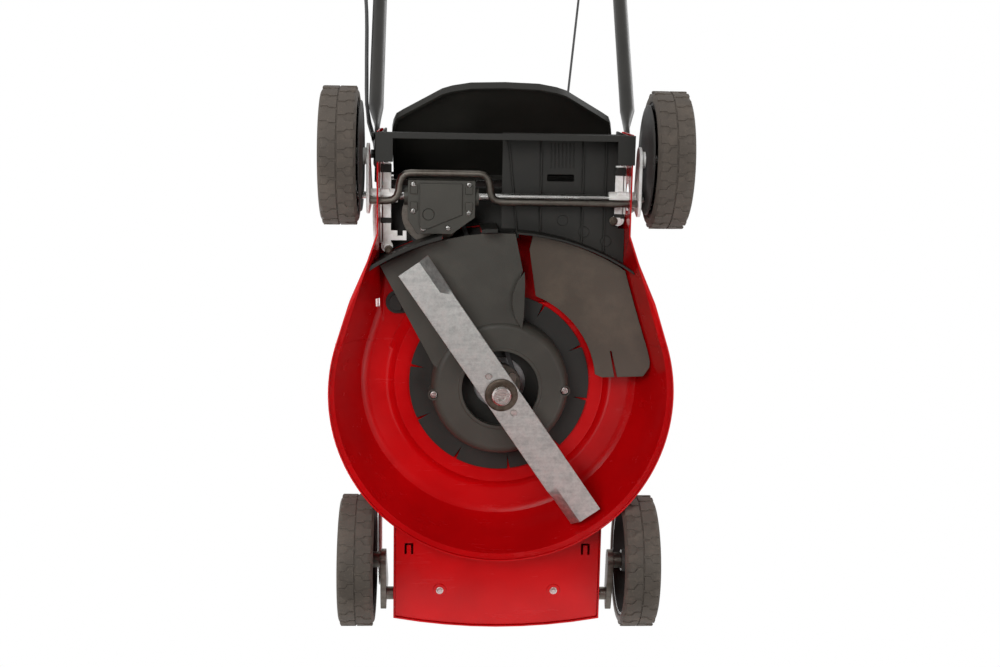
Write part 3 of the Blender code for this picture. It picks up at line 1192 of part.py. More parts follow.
def make_engine():
    base = PLATEAU_Z + GAP
    case = turned([(CRANK_RADIUS + RUN, base), (ENGINE_BASE_RADIUS, base), (ENGINE_BASE_RADIUS, base + 8),
                   (CRANKCASE_RADIUS, base + 12), (CRANKCASE_RADIUS, CRANKCASE_TOP_Z),
                   (CRANK_RADIUS + RUN, CRANKCASE_TOP_Z)], 16)
    barrel = block((-CYLINDER_HALF, CYLINDER_HALF), (CYLINDER_FRONT_Y, -60), (158, 222), 4)
    case = joined(case, barrel)
    for k in range(FIN_COUNT):
        y = CYLINDER_FRONT_Y + 1 + k * 7
        case = joined(case, block((-52, 52), (y, y + 2.5), (152, 224)))
    neck = prism(round_hull([(-60, 57, 14), (OIL_FILLER[0], OIL_FILLER[1], 13)], 4), base + 14, base + 30)
    filler = cylinder(11, base + 14, OIL_CAP_Z - GAP, 10, "Z", OIL_FILLER)
    case = joined(case, neck, filler)
    case = cut(case, cylinder(CRANK_RADIUS + RUN, base - 5, CRANKCASE_TOP_Z + 5, 16))
    case = cut(case, cylinder(7 + RUN, OIL_CAP_Z - 14, OIL_CAP_Z + 4, 12, "Z", OIL_FILLER))
    piece("engine_block", case, "cast_aluminium")

    low = CRANKCASE_TOP_Z + GAP
    r = SHROUD_RADIUS
    top = SHROUD_TOP_Z
    shroud = turned([(70, low), (r, low), (r, top - 6), (r - 6, top), (62, top), (62, top - 2.5),
                     (r - 7, top - 2.5),
                     (r - 2.5, top - 7), (r - 2.5, low + 2.7), (70, low + 2.7)], 16)
    piece("engine_shroud", shroud, "engine_plastic")

    cap = turned([(0, STARTER_TOP_Z), (46, STARTER_TOP_Z), (60, STARTER_TOP_Z - 7), (66, STARTER_TOP_Z - 20),
                  (67, top + 6), (76, top + GAP), (64, top + GAP), (63.5, STARTER_TOP_Z - 20),
                  (58, STARTER_TOP_Z - 9.5), (45, STARTER_TOP_Z - 2.5), (0, STARTER_TOP_Z - 2.5)], 16)
    for k in range(4):
        a = 2 * math.pi * (k + 0.4) / 4
        slot = block((22, 52), (-2, 2), (STARTER_TOP_Z - 12, STARTER_TOP_Z + 3))
        slot.data.transform(Matrix.Rotation(a, 4, "Z"))
        cap = cut(cap, slot)
    mouth = cylinder(ROPE_RADIUS + RUN, 0, 90, 12, "Y", (0, 0))
    mouth.data.transform(Matrix.Translation(Vector((0, 0, ROPE_EXIT_Z))
                                            * MM) @ Matrix.Rotation(ROPE_EXIT_TURN, 4, "Z"))
    cap = cut(cap, mouth)
    piece("starter_cover", cap, "engine_plastic")

    tank = block((20, TANK_OUTER_X), (-60, 125), (226, 318), 12)
    tank = cut(tank, cylinder(r + GAP + 1.0, 200, 340, 24))
    neck = tube(17, 14, 312, 330, 12, "Z", FUEL_CAP)
    tank = joined(tank, neck)
    tank = cut(tank, cylinder(13.9, 308, 340, 12, "Z", FUEL_CAP))
    piece("fuel_tank", tank, "engine_plastic")
    cap_bore = 17 / math.cos(math.pi / 12) + RUN
    cap = turned([(cap_bore, 318 + GAP), (22, 318 + GAP), (22, 334), (19, 337), (0.1, 337), (0.1, 332),
                  (cap_bore, 332)], 12, "Z", (*FUEL_CAP, 0))
    ridges = block((-17, 17), (-2.5, 2.5), (335, 342), 1)
    ridges.data.transform(Matrix.Translation(Vector((*FUEL_CAP, 0)) * MM))
    cap = joined(cap, cylinder(6, 331, 336, 12, "Z", FUEL_CAP), ridges)
    piece("fuel_cap", cap, "engine_plastic", (*FUEL_CAP, 318))

    cap = turned([(0, OIL_CAP_Z - 12), (7, OIL_CAP_Z - 12), (7, OIL_CAP_Z), (14, OIL_CAP_Z),
                  (15, OIL_CAP_Z + 3),
                  (13, OIL_CAP_Z + 7), (0, OIL_CAP_Z + 7)], 10, "Z", (*OIL_FILLER, 0))
    wing = block((-11, 11), (-2, 2), (OIL_CAP_Z + 5, OIL_CAP_Z + 16), 1)
    wing.data.transform(Matrix.Translation(Vector((*OIL_FILLER, 0)) * MM))
    piece("oil_cap", joined(cap, wing), "engine_plastic", (*OIL_FILLER, OIL_CAP_Z))

    side = -CYLINDER_HALF - GAP
    muffler = block((-140, -70), (-155, -75), (168, 226), 8)
    pipe = cylinder(10, -74, side, 10, "X", (-102, 192))
    plate = block((side - 4, side), (-120, -84), (176, 208))
    muffler = joined(muffler, pipe, plate)
    for k in range(3):
        muffler = cut(muffler, block((-142, -137), (-136 + 18 * k, -126 + 18 * k), (182, 212)))
    piece("muffler", muffler, "dark_steel")

    side = CYLINDER_HALF + GAP
    filter_x = side + 42
    carburettor = block((side, side + 4), (-122, -82), (172, 212))
    carburettor = joined(carburettor, block((side + 3, filter_x - GAP), (-116, -88), (178, 206), 3),
                         cylinder(11, 160, 180, 10, "Z", (side + 22, -102)))
    piece("carburettor", carburettor, "cast_aluminium")
    cover = block((filter_x, filter_x + 54), (-160, -70), (165, 230), 9)
    recess = cylinder(PRIMER_RADIUS + RUN, filter_x + 40, filter_x + 60, 16, "X", PRIMER)
    piece("air_filter_cover", cut(cover, recess), "engine_plastic")
    face = filter_x + 54
    bulb = turned([(0, face - 5), (PRIMER_RADIUS, face - 5), (PRIMER_RADIUS, face + 3),
                   (PRIMER_RADIUS - 3, face + 8),
                   (PRIMER_RADIUS - 7, face + 10), (0, face + 11)], 12, "X", (0, *PRIMER))
    piece("primer_bulb", bulb, "belt_rubber", (face, *PRIMER))

    front = CYLINDER_FRONT_Y - GAP
    boot = cylinder(9, front - 34, front, 10, "Y", (0, 192))
    boot = joined(boot, cylinder(7, 168, 193, 10, "Z", (0, front - 26)))
    piece("spark_plug_cap", boot, "belt_rubber")


# Handle

def handle_direction(slope):
    return Vector((0, math.cos(slope), math.sin(slope)))


def handle_points():
    """The handle's foot, its bend and the joint between its lower and upper tubes."""
    foot = Vector((0, HANDLE_FOOT_Y, HANDLE_FOOT_Z))
    bend = foot + handle_direction(LOWER_SLOPE) * LOWER_RUN
    joint = bend + handle_direction(UPPER_SLOPE) * LOWER_TOP_RUN
    return foot, bend, joint


def lower_tube(sign):
    """A lower handle tube, flattened at both ends, with the heads of its two fixing bolts."""
    foot, bend, joint = handle_points()
    low = handle_direction(LOWER_SLOPE)
    high = handle_direction(UPPER_SLOPE)
    flat_x = REAR_HALF_WIDTH + GAP + FLAT_THICKNESS / 2
    top_x = TUBE_X + FLAT_THICKNESS / 2 + GAP / 2
    flat = (FLAT_THICKNESS / 2 / math.cos(math.pi / 8), 13)
    round_size = (TUBE_RADIUS, TUBE_RADIUS)
    stations = [(foot - low * 20, flat_x, (flat[0], 9)), (foot - low * 14, flat_x, flat),
                (foot + low * 42, flat_x, flat),
                (foot + low * 72, TUBE_X, round_size), (bend - low * 24, TUBE_X, round_size),
                (bend - low * 7 + high * 1.5, TUBE_X, round_size), (bend - low * 1.5 + high * 7, TUBE_X,
                                                                    round_size),
                (bend + high * 24, TUBE_X, round_size), (joint - high * 48, TUBE_X, round_size),
                (joint - high * 22, top_x, flat), (joint + high * 13, top_x, flat), (joint + high * 19,
                                                                                     top_x, (flat[0], 9))]
    points = [p + Vector((sign * x, 0, 0)) for p, x, size in stations]
    made = swept(points, (1, 0, 0), [size for p, x, size in stations], 8)
    face = sign * (REAR_HALF_WIDTH + GAP + FLAT_THICKNESS)
    for at in (foot - low * 4, foot + low * 24):
        ends = sorted((face - sign * 1.5, face + sign * 3.5))
        made = joined(made, cylinder(6.5, *ends, 6, "X", (at.y, at.z)))
    hole = cylinder(KNOB_BOLT_RADIUS + GAP, *sorted((sign * 150, sign * 200)), 12, "X", (joint.y, joint.z))
    return cut(made, hole)


def upper_frame():
    """Turns handle drawing space (x, up the handle, out of its plane) into the mower's space."""
    joint = handle_points()[2]
    return Matrix.Translation(joint) @ Matrix.Rotation(UPPER_SLOPE, 4, "X")


def u_points(half, low, high, radius, steps):
    """A U in drawing space: up the left leg, round the top and down the right leg."""
    centre = half - radius
    right = [(centre + radius * math.cos(a), high - radius + radius * math.sin(a))
             for a in (math.pi / 2 * k / steps for k in range(steps + 1))]
    outline = [(half, low)] + right
    return outline + [(-x, y) for x, y in reversed(outline)]


def upper_handle():
    frame = upper_frame()
    flat = (13, FLAT_THICKNESS / 2 / math.cos(math.pi / 8))
    inner = TUBE_X - FLAT_THICKNESS / 2 - GAP / 2
    bar = UPPER_RUN
    outline = u_points(TUBE_X, 48, bar, HANDLE_CORNER_RADIUS, 3)
    start = [(inner, -19, (9, flat[1])), (inner, -13, flat), (inner, 22, flat)]
    rows = start + [(x, y, (TUBE_RADIUS, TUBE_RADIUS)) for x, y in outline]
    rows += [(-x, y, size) for x, y, size in reversed(start)]
    made = swept([(x, y, 0) for x, y, size in rows], (0, 0, 1), [size for x, y, size in rows], 8)
    for sign in (-1, 1):
        hole = cylinder(KNOB_BOLT_RADIUS + GAP, *sorted((sign * 150, sign * 200)), 12, "X", (0, 0))
        made = cut(made, hole)
        for pivot, reach in ((bar - BRAKE_BAIL_REACH, TUBE_X - 4), (bar - DRIVE_BAIL_REACH, TUBE_X - 4)):
            seat = cylinder(BAIL_RADIUS + RUN, *sorted((sign * 150, sign * reach)), 10, "X", (pivot, 0))
            made = cut(made, seat)
    guide = tube(ROPE_RADIUS + 4, ROPE_RADIUS + 0.9, GUIDE_RUN - 4, GUIDE_RUN + 4, 10, "Y", (-GUIDE_X, 0))
    stem = block((-TUBE_X, -GUIDE_X - ROPE_RADIUS - 1), (GUIDE_RUN - 3, GUIDE_RUN + 3), (-3, 3))
    made = joined(made, guide, stem)
    made.data.transform(scaled_frame(frame))
    return made


def bail(half, reach, side, rest, opening):
    """A squeeze bar hinged inside the handle's legs, drawn released."""
    radius = BAIL_RADIUS
    outline = u_points(half, 0, reach, half - (TUBE_X - HANDLE_CORNER_RADIUS), 3)
    pin_end = TUBE_X - 6
    rows = [(pin_end, 0), (half + 2.5, 0), (half, 2.5)] + outline[1:-1] + [(-half, 2.5), (-half - 2.5, 0),
                                                                           (-pin_end, 0)]
    points = [(x, y, 0) for x, y in rows]
    made = swept(points, (0, 0, 1), [(radius, radius)] * len(points), 6)
    frame = upper_frame() @ Matrix.Translation((0, UPPER_RUN - reach, 0))
    frame = frame @ Matrix.Rotation(side * (rest + opening), 4, "X")
    made.data.transform(scaled_frame(frame))
    return made, frame.translation


def fold_knob(sign):
    joint = handle_points()[2]
    inner = TUBE_X - FLAT_THICKNESS - GAP / 2 - GAP
    outer = TUBE_X + FLAT_THICKNESS + GAP / 2 + GAP
    r = KNOB_BOLT_RADIUS
    profile = [(0, inner - 4), (7, inner - 3), (8, inner), (r, inner), (r, outer), (11, outer),
               (11, outer + 4),
               (15, outer + 5), (15, outer + 14), (12, outer + 17), (0, outer + 17)]
    made = turned([(radius, sign * x) for radius, x in profile], 10, "X", (0, joint.y, joint.z))
    for k in range(3):
        a = 2 * math.pi * k / 3
        ends = sorted((sign * (outer + 5), sign * (outer + 14)))
        lobe = cylinder(6, *ends, 6, "X", (joint.y + 14 * math.cos(a), joint.z + 14 * math.sin(a)))
        made = joined(made, lobe)
    return made


def smooth_path(knots, count):
    """Points evenly spread along a smooth curve through the knots."""
    knots = [Vector(k) for k in knots]
    fine = []
    for i in range(len(knots) - 1):
        before = knots[max(i - 1, 0)]
        after = knots[min(i + 2, len(knots) - 1)]
        start, end = knots[i], knots[i + 1]
        span = (end - start).length
        out = (end - before).normalized() * span
        into = (after - start).normalized() * span
        for k in range(40):
            t = k / 40
            fine.append(start * (2 * t ** 3 - 3 * t ** 2 + 1) + out * (t ** 3 - 2 * t ** 2 + t)
                        + end * (3 * t ** 2 - 2 * t ** 3) + into * (t ** 3 - t ** 2))
    fine.append(knots[-1])
    total = sum((b - a).length for a, b in zip(fine, fine[1:]))
    step = total / (count - 1)
    spots = [fine[0]]
    travelled = 0
    for a, b in zip(fine, fine[1:]):
        travelled += (b - a).length
        if travelled >= step * len(spots) and len(spots) < count - 1:
            spots.append(b)
    spots.append(fine[-1])
    return spots


def wire_object(name, points, radius, finish, resolution):
    """A round cord or wire through points, as one curve."""
    curve = bpy.data.curves.new(name, "CURVE")
    curve.dimensions = "3D"
    curve.bevel_depth = radius * MM
    curve.bevel_resolution = resolution
    curve.use_fill_caps = True
    curve.render_resolution_u = 0
    spline = curve.splines.new("POLY")
    spline.points.add(len(points) - 1)
    for spot, point in zip(spline.points, points):
        spot.co = (*(Vector(point) * MM), 1)
    curve.materials.append(finish_material(finish))
    made = bpy.data.objects.new(name, curve)
    bpy.context.collection.objects.link(made)
    return made


def handle_spot(x, run, out):
    """A point on the upper handle: sideways, up the handle and out of its plane."""
    return upper_frame() @ Vector((x, run, out))


def lower_spot(x, run, out):
    """A point beside the lower tubes: sideways, up the tube from its foot and out of it."""
    foot = handle_points()[0]
    return Matrix.Translation(foot) @ Matrix.Rotation(LOWER_SLOPE, 4, "X") @ Vector((x, run, out))


def make_handle():
    for side, sign in (("left", 1), ("right", -1)):
        piece(f"{side}_lower_tube", lower_tube(sign), "tube_enamel")
    joint = handle_points()[2]
    piece("upper_handle", upper_handle(), "tube_enamel", joint)
    for side, sign in (("left", 1), ("right", -1)):
        piece(f"{side}_fold_knob", fold_knob(sign), "black_plastic", joint)
    made, pivot = bail(BRAKE_BAIL_HALF, BRAKE_BAIL_REACH, 1, BAIL_REST, BRAKE_BAIL_OPEN)
    piece("brake_bail", made, "dark_steel", pivot)
    made, pivot = bail(DRIVE_BAIL_HALF, DRIVE_BAIL_REACH, -1, BAIL_REST, DRIVE_BAIL_OPEN)
    piece("drive_bail", made, "dark_steel", pivot)


def rope_turn(x, y):
    """A point turned with the rope's way out of the starter cover."""
    turn = ROPE_EXIT_TURN
    return (x * math.cos(turn) - y * math.sin(turn), x * math.sin(turn) + y * math.cos(turn))


def make_cords():
    outside = TUBE_X + TUBE_RADIUS + CABLE_RADIUS + 0.6
    guide = handle_spot(-GUIDE_X, GUIDE_RUN, 0)
    below = handle_spot(-GUIDE_X, GUIDE_RUN - 30, 0)
    mouth = handle_spot(-GUIDE_X, GUIDE_RUN - 12, 0)
    start = Vector((*rope_turn(0, 61), ROPE_EXIT_Z))
    outlet = Vector((*rope_turn(0, 84), ROPE_EXIT_Z + 1))
    grip_end = handle_spot(-GUIDE_X, GUIDE_RUN + 14, 0)
    middle = (outlet + below) / 2
    wire_object("starter_rope", smooth_path([start, outlet, middle, below, mouth, guide, grip_end], 38),
                ROPE_RADIUS, "rope", 2)
    grip = turned([(0, 0), (6, 0), (9, 6), (7, 22), (9, 38), (5, 44), (0, 44)], 10, "Y")
    grip.data.transform(Matrix.Scale(0.8, 4, (0, 0, 1)))
    grip = joined(grip, block((-6, 6), (6, 18), (-32, 32), 4))
    bore = cylinder(ROPE_RADIUS + GAP, -5, 15, 12, "Y", (0, 0))
    grip = cut(grip, bore)
    seat = upper_frame() @ Matrix.Translation((-GUIDE_X, GUIDE_RUN + 4 + GAP, 0))
    grip.data.transform(scaled_frame(seat))
    piece("starter_grip", grip, "black_plastic", seat.translation)

    top = handle_spot(outside, UPPER_RUN - DRIVE_BAIL_REACH, 0)
    knots = [top, handle_spot(outside, 300, 0), handle_spot(outside + 14, 40, -4),
             handle_spot(outside + 20, -30, -4),
             lower_spot(outside + 6, 250, 0), lower_spot(outside + 2, 130, 2), lower_spot(outside - 1, 70, 8),
             (CABLE_RUN_X + 4, 316, 188), (CABLE_RUN_X + 1, 290, 164), (CABLE_RUN_X, CABLE_HOLE_Y + 3, 143),
             (REAR_HALF_WIDTH - 1, CABLE_HOLE_Y, CABLE_HOLE_Z), (152, CABLE_HOLE_Y - 3, 130),
             (GEARBOX_X + GEARBOX_WIDTH / 2 + 3, CABLE_HOLE_Y - 8, GEARBOX_TOP_Z - 2)]
    wire_object("drive_cable", smooth_path(knots, 44), CABLE_RADIUS, "rope", 2)
    top = handle_spot(outside, UPPER_RUN - BRAKE_BAIL_REACH, 6)
    knots = [top, handle_spot(outside, 300, 6), handle_spot(outside + 14, 40, 4),
             handle_spot(outside + 20, -30, 4),
             lower_spot(outside + 6, 250, 8), lower_spot(outside + 2, 130, 11), lower_spot(outside - 1, 70,
                                                                                           22),
             (CABLE_RUN_X + 2, 306, 208), (CABLE_RUN_X - 2, 250, 186), (150, 190, 172), (118, 120, 172),
             (CRANKCASE_RADIUS * 0.8 + 3, CRANKCASE_RADIUS * 0.6 + 2, 176)]
    wire_object("brake_cable", smooth_path(knots, 44), CABLE_RADIUS, "rope", 2)


def centre_along():
    """Moves the whole mower along Y so that its overall box is centred over the origin."""
    graph = bpy.context.evaluated_depsgraph_get()
    reach = []
    for made in bpy.data.objects:
        if made.type == "CURVE":
            continue
        matrix = made.matrix_world
        for vertex in made.evaluated_get(graph).data.vertices:
            reach.append((matrix @ vertex.co).y)
    middle = (min(reach) + max(reach)) / 2
    for made in bpy.data.objects:
        made.location.y -= middle
    print("moved along Y by", round(-middle, 6))


def main():
    for old in list(bpy.data.objects):
        bpy.data.objects.remove(old)
    make_wheels()
    make_drive_shaft()
    make_height_gear()
    make_deck()
    make_front_panel()
    make_rear_chute()
    make_flap()
    make_flap_spring()
    make_deflector()
    make_side_clip()
    make_blade()
    make_blade_drive()
    make_belt_cover()
    make_gearbox()
    make_brackets()
    make_engine()
    make_handle()
    make_cords()
    bpy.context.view_layer.update()
    centre_along()


main()
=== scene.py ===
import json
import math

import bmesh
import bpy
from bpy.props import FloatProperty, FloatVectorProperty, IntProperty, PointerProperty
from mathutils import Matrix, Vector

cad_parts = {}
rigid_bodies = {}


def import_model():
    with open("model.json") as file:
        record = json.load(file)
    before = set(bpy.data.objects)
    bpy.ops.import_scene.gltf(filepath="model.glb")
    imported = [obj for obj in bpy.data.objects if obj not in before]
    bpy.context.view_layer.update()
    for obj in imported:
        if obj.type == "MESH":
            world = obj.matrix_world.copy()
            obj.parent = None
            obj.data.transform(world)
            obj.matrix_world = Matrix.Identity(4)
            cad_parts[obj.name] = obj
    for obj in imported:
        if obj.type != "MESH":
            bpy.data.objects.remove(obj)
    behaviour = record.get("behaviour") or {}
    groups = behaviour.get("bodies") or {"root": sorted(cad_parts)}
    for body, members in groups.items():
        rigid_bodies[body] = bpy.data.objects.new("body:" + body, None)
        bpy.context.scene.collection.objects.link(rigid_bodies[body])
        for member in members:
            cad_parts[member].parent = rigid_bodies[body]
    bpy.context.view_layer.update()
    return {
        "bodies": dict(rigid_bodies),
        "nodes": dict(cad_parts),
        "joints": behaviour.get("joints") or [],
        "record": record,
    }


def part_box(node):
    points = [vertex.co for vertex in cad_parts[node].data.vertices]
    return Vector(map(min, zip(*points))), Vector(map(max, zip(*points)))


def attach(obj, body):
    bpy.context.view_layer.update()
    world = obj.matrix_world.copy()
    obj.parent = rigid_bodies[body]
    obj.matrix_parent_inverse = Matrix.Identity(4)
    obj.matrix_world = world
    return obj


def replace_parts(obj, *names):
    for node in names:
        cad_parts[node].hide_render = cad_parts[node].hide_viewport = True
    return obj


bl_info = {
    "name": "Lawn mower finish",
    "version": (1, 0, 0),
    "blender": (4, 5, 0),
    "location": "3D View > Sidebar > Mower",
    "description": "Dresses the mower's solids with finely made pieces and finishes",
    "category": "Object",
}

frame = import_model()
RECORD = frame["record"]
BODY_OF = {node: body for body, nodes in RECORD["behaviour"]["bodies"].items() for node in nodes}
SLOT_OF = {part["node"]: part["material_slot"] for part in RECORD["subparts"]}
NODE_NAMES = set(frame["nodes"])

MM = 0.001
FINE_ROUNDING = 0.3 * MM     # on the edges of small pieces
SIDES = (("left", 1), ("right", -1))

# Sizes, which are the frame's own

GAP = 0.3                    # between pieces that touch
RUN = 0.4                    # around a shaft that turns in its seat

# Wheels
WHEEL_RADIUS = 90
TYRE_WIDTH = 49
TYRE_BORE_RADIUS = 75
REAR_AXLE_Y = 311
FRONT_AXLE_Y = -243
REAR_WHEEL_CLEAR = 48        # wheel centre plane outside the deck's side wall
FRONT_WHEEL_CLEAR = 49
AXLE_RADIUS = 6
HUB_FACE_INSET = 3           # tyre side to hub face
HUB_BOSS_RADIUS = 15

# Wheel drive: a pinion on the drive shaft inside a ring gear in each rear wheel
MODULE = 3.5
RING_TEETH = 39
PINION_TEETH = 9
PRESSURE_ANGLE = math.radians(20)
TOOTH_BACKLASH = 0.8
RING_WIDTH = 16
PINION_WIDTH = 12
PIVOT_RISE = 8               # drive shaft above the wheel axles at the middle height setting

# Height adjusting gear
PLATE_CLEAR = 10             # rear wheel plates outside the deck's side wall
PLATE_THICKNESS = 4
SHAFT_RADIUS = 5
CRANK_ROD_RADIUS = 5
CRANK_ROD_BACK = 5.5         # crank rod ahead of the drive shaft
CRANK_ROD_DROP = 14          # crank rod below the drive shaft
CRANK_REACH = 31             # rod's cranked middle behind the drive shaft
LINK_PIN_BACK = -6           # link pins from their pivots, along Y
LINK_PIN_RISE = 66           # and upwards
LINK_PIN_RADIUS = 3.2
LINK_ROD_RADIUS = 3
ARM_CLEAR = 10               # front arms outside the deck's front box
ARM_THICKNESS = 8
CROSS_ROD_RADIUS = 5
LEVER_LENGTH = 150
LEVER_TILT = math.radians(12)
NOTCH_STEP = math.radians(13)
NOTCH_RADIUS = 100

# Deck
CHAMBER_RADIUS = 229
RIM_Z = 45
SHEET = 2                    # pressed steel
DECK_SIDES = 144
DECK_TOP_Z = 148
PLATEAU_Z = 138              # face that carries the engine
ROOF_BAND = 86               # from the rim in to the dish that carries the engine
CRANK_HOLE_RADIUS = 42
REAR_HALF_WIDTH = 166
REAR_START_Y = 60
REAR_END_Y = 345
REAR_WALL_Z = 62
TUNNEL_LEFT_X = -8
TUNNEL_RIGHT_X = -150
TUNNEL_START_Y = 110
TUNNEL_END_Y = 254
TUNNEL_TOP_Z = 205
FRONT_HALF_WIDTH = 143
FRONT_END_Y = -326
FRONT_BOW = 13
FRONT_TOP_Z = 136
FRONT_PANEL_Z = 86
FRONT_PANEL_THICKNESS = 2.5
PANEL_BOLT = (79, -286)      # the left one of two, and the face that it bears on
PANEL_BOSS_Z = FRONT_PANEL_Z - 1.5

# Blade and what drives it
BLADE_CLEARANCE = 21         # blade's tips inside the rim
BLADE_WIDTH = 46
BLADE_THICKNESS = 4
BLADE_Z = 56                 # underside
BLADE_ANGLE = math.radians(55.3)
BLADE_WING_LIFT = 14
BLADE_WING_LENGTH = 62
BLADE_PIN_SPACING = 60
BLADE_PIN_RADIUS = 4
BLADE_BOLT_RADIUS = 5
HUB_FLANGE_RADIUS = 22
CRANK_RADIUS = 11
PULLEY_RADIUS = 27           # to the belt's outer side
BELT_Z = 122                 # middle of the belt
PULLEY_WIDTH = 12
BELT_HEIGHT = 7
BELT_DEPTH = 6

# Gearbox
GEARBOX_X = 82
GEARBOX_WIDTH = 88
GEARBOX_FRONT_Y = 211
GEARBOX_BACK_Y = 281
GEARBOX_LOW_Z = 81
GEARBOX_TOP_Z = 114
INPUT_X = 95
INPUT_Y = 233
INPUT_RADIUS = 6
GEARBOX_PULLEY_RADIUS = 38
GEARBOX_SCREWS = ((119, 276), (46, 276), (119, 241), (46, 239), (106, 217.5), (73, 219))

STRIP_Z = (103.4, 106.4)     # lower strip of the brackets beside it

# Belt cover
COVER_RADIUS = 91
COVER_LOW_Z = 92
COVER_WALL = 2.5
COVER_HOLE_RADIUS = 52
COVER_ARM_Z = 97
COVER_ARM_CLEAR = 2          # end of the cover's arm inside the deck's inner wall
COVER_TOP_Z = 130
COVER_RING_RADIUS = 124
COVER_BOLTS = ((90, -10), (-88, -3))

# Rear duct and its flap
CHEEK_CLEAR = 9              # duct's cheeks inside the deck's side walls
CHEEK_THICKNESS = 3
DUCT_FRONT_Y = 256
CHUTE_FLOOR_Z = 108
FLAP_HINGE_Y = 270
FLAP_HINGE_Z = 262
FLAP_LENGTH = 200
FLAP_SIDE_GAP = 7            # flap's sides inside the duct's cheeks
FLAP_SLOPE = math.radians(46)
FLAP_THICKNESS = 3
HINGE_ROD_RADIUS = 3.5
LIP_STEP = 13                # middle of the chamber's rear wall inside the rim
LIP_BOW = 320                # and its radius, flatter than the rim
SHOULDER_TURN = math.radians(17.4)  # where the skirt's straight shoulders leave its round part

# Handle
TUBE_RADIUS = 10
TUBE_CLEAR = 6               # middle of the handle's tubes outside the deck's side wall
FLAT_THICKNESS = 7
HANDLE_FOOT_Y = 314
HANDLE_FOOT_Z = 140
LOWER_SLOPE = math.radians(38)
UPPER_SLOPE = math.radians(52)
LOWER_RUN = 330
LOWER_TOP_RUN = 95
UPPER_RUN = 620
HANDLE_CORNER_RADIUS = 75
KNOB_BOLT_RADIUS = 4
BAIL_RADIUS = 4
BRAKE_BAIL_REACH = 132
DRIVE_BAIL_REACH = 150
BRAKE_BAIL_INSET = 15        # bails' sides inside the handle's tubes
DRIVE_BAIL_INSET = 24
BAIL_REST = math.radians(7.5)
BRAKE_BAIL_OPEN = math.radians(32)
DRIVE_BAIL_OPEN = math.radians(30)

# Engine
ENGINE_BASE_RADIUS = 96
CRANKCASE_RADIUS = 82
CRANKCASE_TOP_Z = 226
SHROUD_RADIUS = 100
SHROUD_LOW_Z = 232
SHROUD_TOP_Z = 326
STARTER_TOP_Z = 372
CYLINDER_FRONT_Y = -150
CYLINDER_HALF = 38
FIN_COUNT = 3
FLYWHEEL_RADIUS = 85
FAN_VANES = 4
TANK_OUTER_X = 152
TANK_TOP_Z = 318
FUEL_CAP = (124, 42)
OIL_FILLER = (-92, 88)
OIL_CAP_Z = 232
PRIMER = (-115, 198)
PRIMER_RADIUS = 12

# Cords
ROPE_RADIUS = 1.8
ROPE_EXIT_Z = 344
ROPE_EXIT_TURN = math.radians(62)
GUIDE_INSET = 20             # rope guide inside the handle's tube
GUIDE_RUN = 190
CABLE_RADIUS = 2.5
CABLE_HOLE_Y = 272
CABLE_HOLE_Z = 136
CABLE_RUN_INSET = 2

# Worked out from the sizes above
REAR_WHEEL_X = REAR_HALF_WIDTH + REAR_WHEEL_CLEAR
FRONT_WHEEL_X = FRONT_HALF_WIDTH + FRONT_WHEEL_CLEAR
PLATE_X = REAR_HALF_WIDTH + PLATE_CLEAR
ARM_X = FRONT_HALF_WIDTH + ARM_CLEAR
PLATEAU_RADIUS = CHAMBER_RADIUS - ROOF_BAND
BLADE_LENGTH = 2 * (CHAMBER_RADIUS - BLADE_CLEARANCE)
LIP_RADIUS = CHAMBER_RADIUS - LIP_STEP
CHEEK_X = REAR_HALF_WIDTH - CHEEK_CLEAR
FLAP_HALF_WIDTH = CHEEK_X - FLAP_SIDE_GAP
TUBE_X = REAR_HALF_WIDTH + TUBE_CLEAR
BRAKE_BAIL_HALF = TUBE_X - BRAKE_BAIL_INSET
DRIVE_BAIL_HALF = TUBE_X - DRIVE_BAIL_INSET
GUIDE_X = TUBE_X - GUIDE_INSET
CABLE_RUN_X = TUBE_X - CABLE_RUN_INSET
WHEEL_Z = WHEEL_RADIUS
GEAR_CENTRES = MODULE * (RING_TEETH - PINION_TEETH) / 2
PIVOT_Z = WHEEL_Z + PIVOT_RISE
PIVOT_REACH = math.sqrt(GEAR_CENTRES ** 2 - PIVOT_RISE ** 2)
REAR_PIVOT_Y = REAR_AXLE_Y - PIVOT_REACH
FRONT_PIVOT_Y = FRONT_AXLE_Y - PIVOT_REACH
LINK_Z = PIVOT_Z + LINK_PIN_RISE
REAR_PIVOT = (REAR_PIVOT_Y, PIVOT_Z)
FRONT_PIVOT = (FRONT_PIVOT_Y, PIVOT_Z)
FLAP_HINGE = (FLAP_HINGE_Y, FLAP_HINGE_Z)
CHUTE_BAR_Y = (REAR_END_Y - 9, REAR_END_Y - 1)
CHUTE_BAR_Z = (REAR_WALL_Z - 6, REAR_WALL_Z + 4)
CHUTE_BAR_REACH = REAR_HALF_WIDTH + 1.5
HUB_LOW_Z = BLADE_Z + BLADE_THICKNESS + GAP
SEAT_Z = HUB_LOW_Z + 6
BOLT_HOLE = BLADE_BOLT_RADIUS + GAP


# Drawing tools, in millimetres, with the blade shaft at x = y = 0

BAR_SIDES = 24               # round a bar or a bent rod


def linked(name, data):
    """A new object in the scene."""
    made = bpy.data.objects.new(name, data)
    bpy.context.collection.objects.link(made)
    return made


def solid(bm):
    """A closed mesh in millimetres made an object in metres."""
    bmesh.ops.recalc_face_normals(bm, faces=bm.faces)
    mesh = bpy.data.meshes.new("drawn")
    bmesh.ops.scale(bm, vec=(MM, MM, MM), verts=bm.verts)
    bm.to_mesh(mesh)
    bm.free()
    return linked("drawn", mesh)


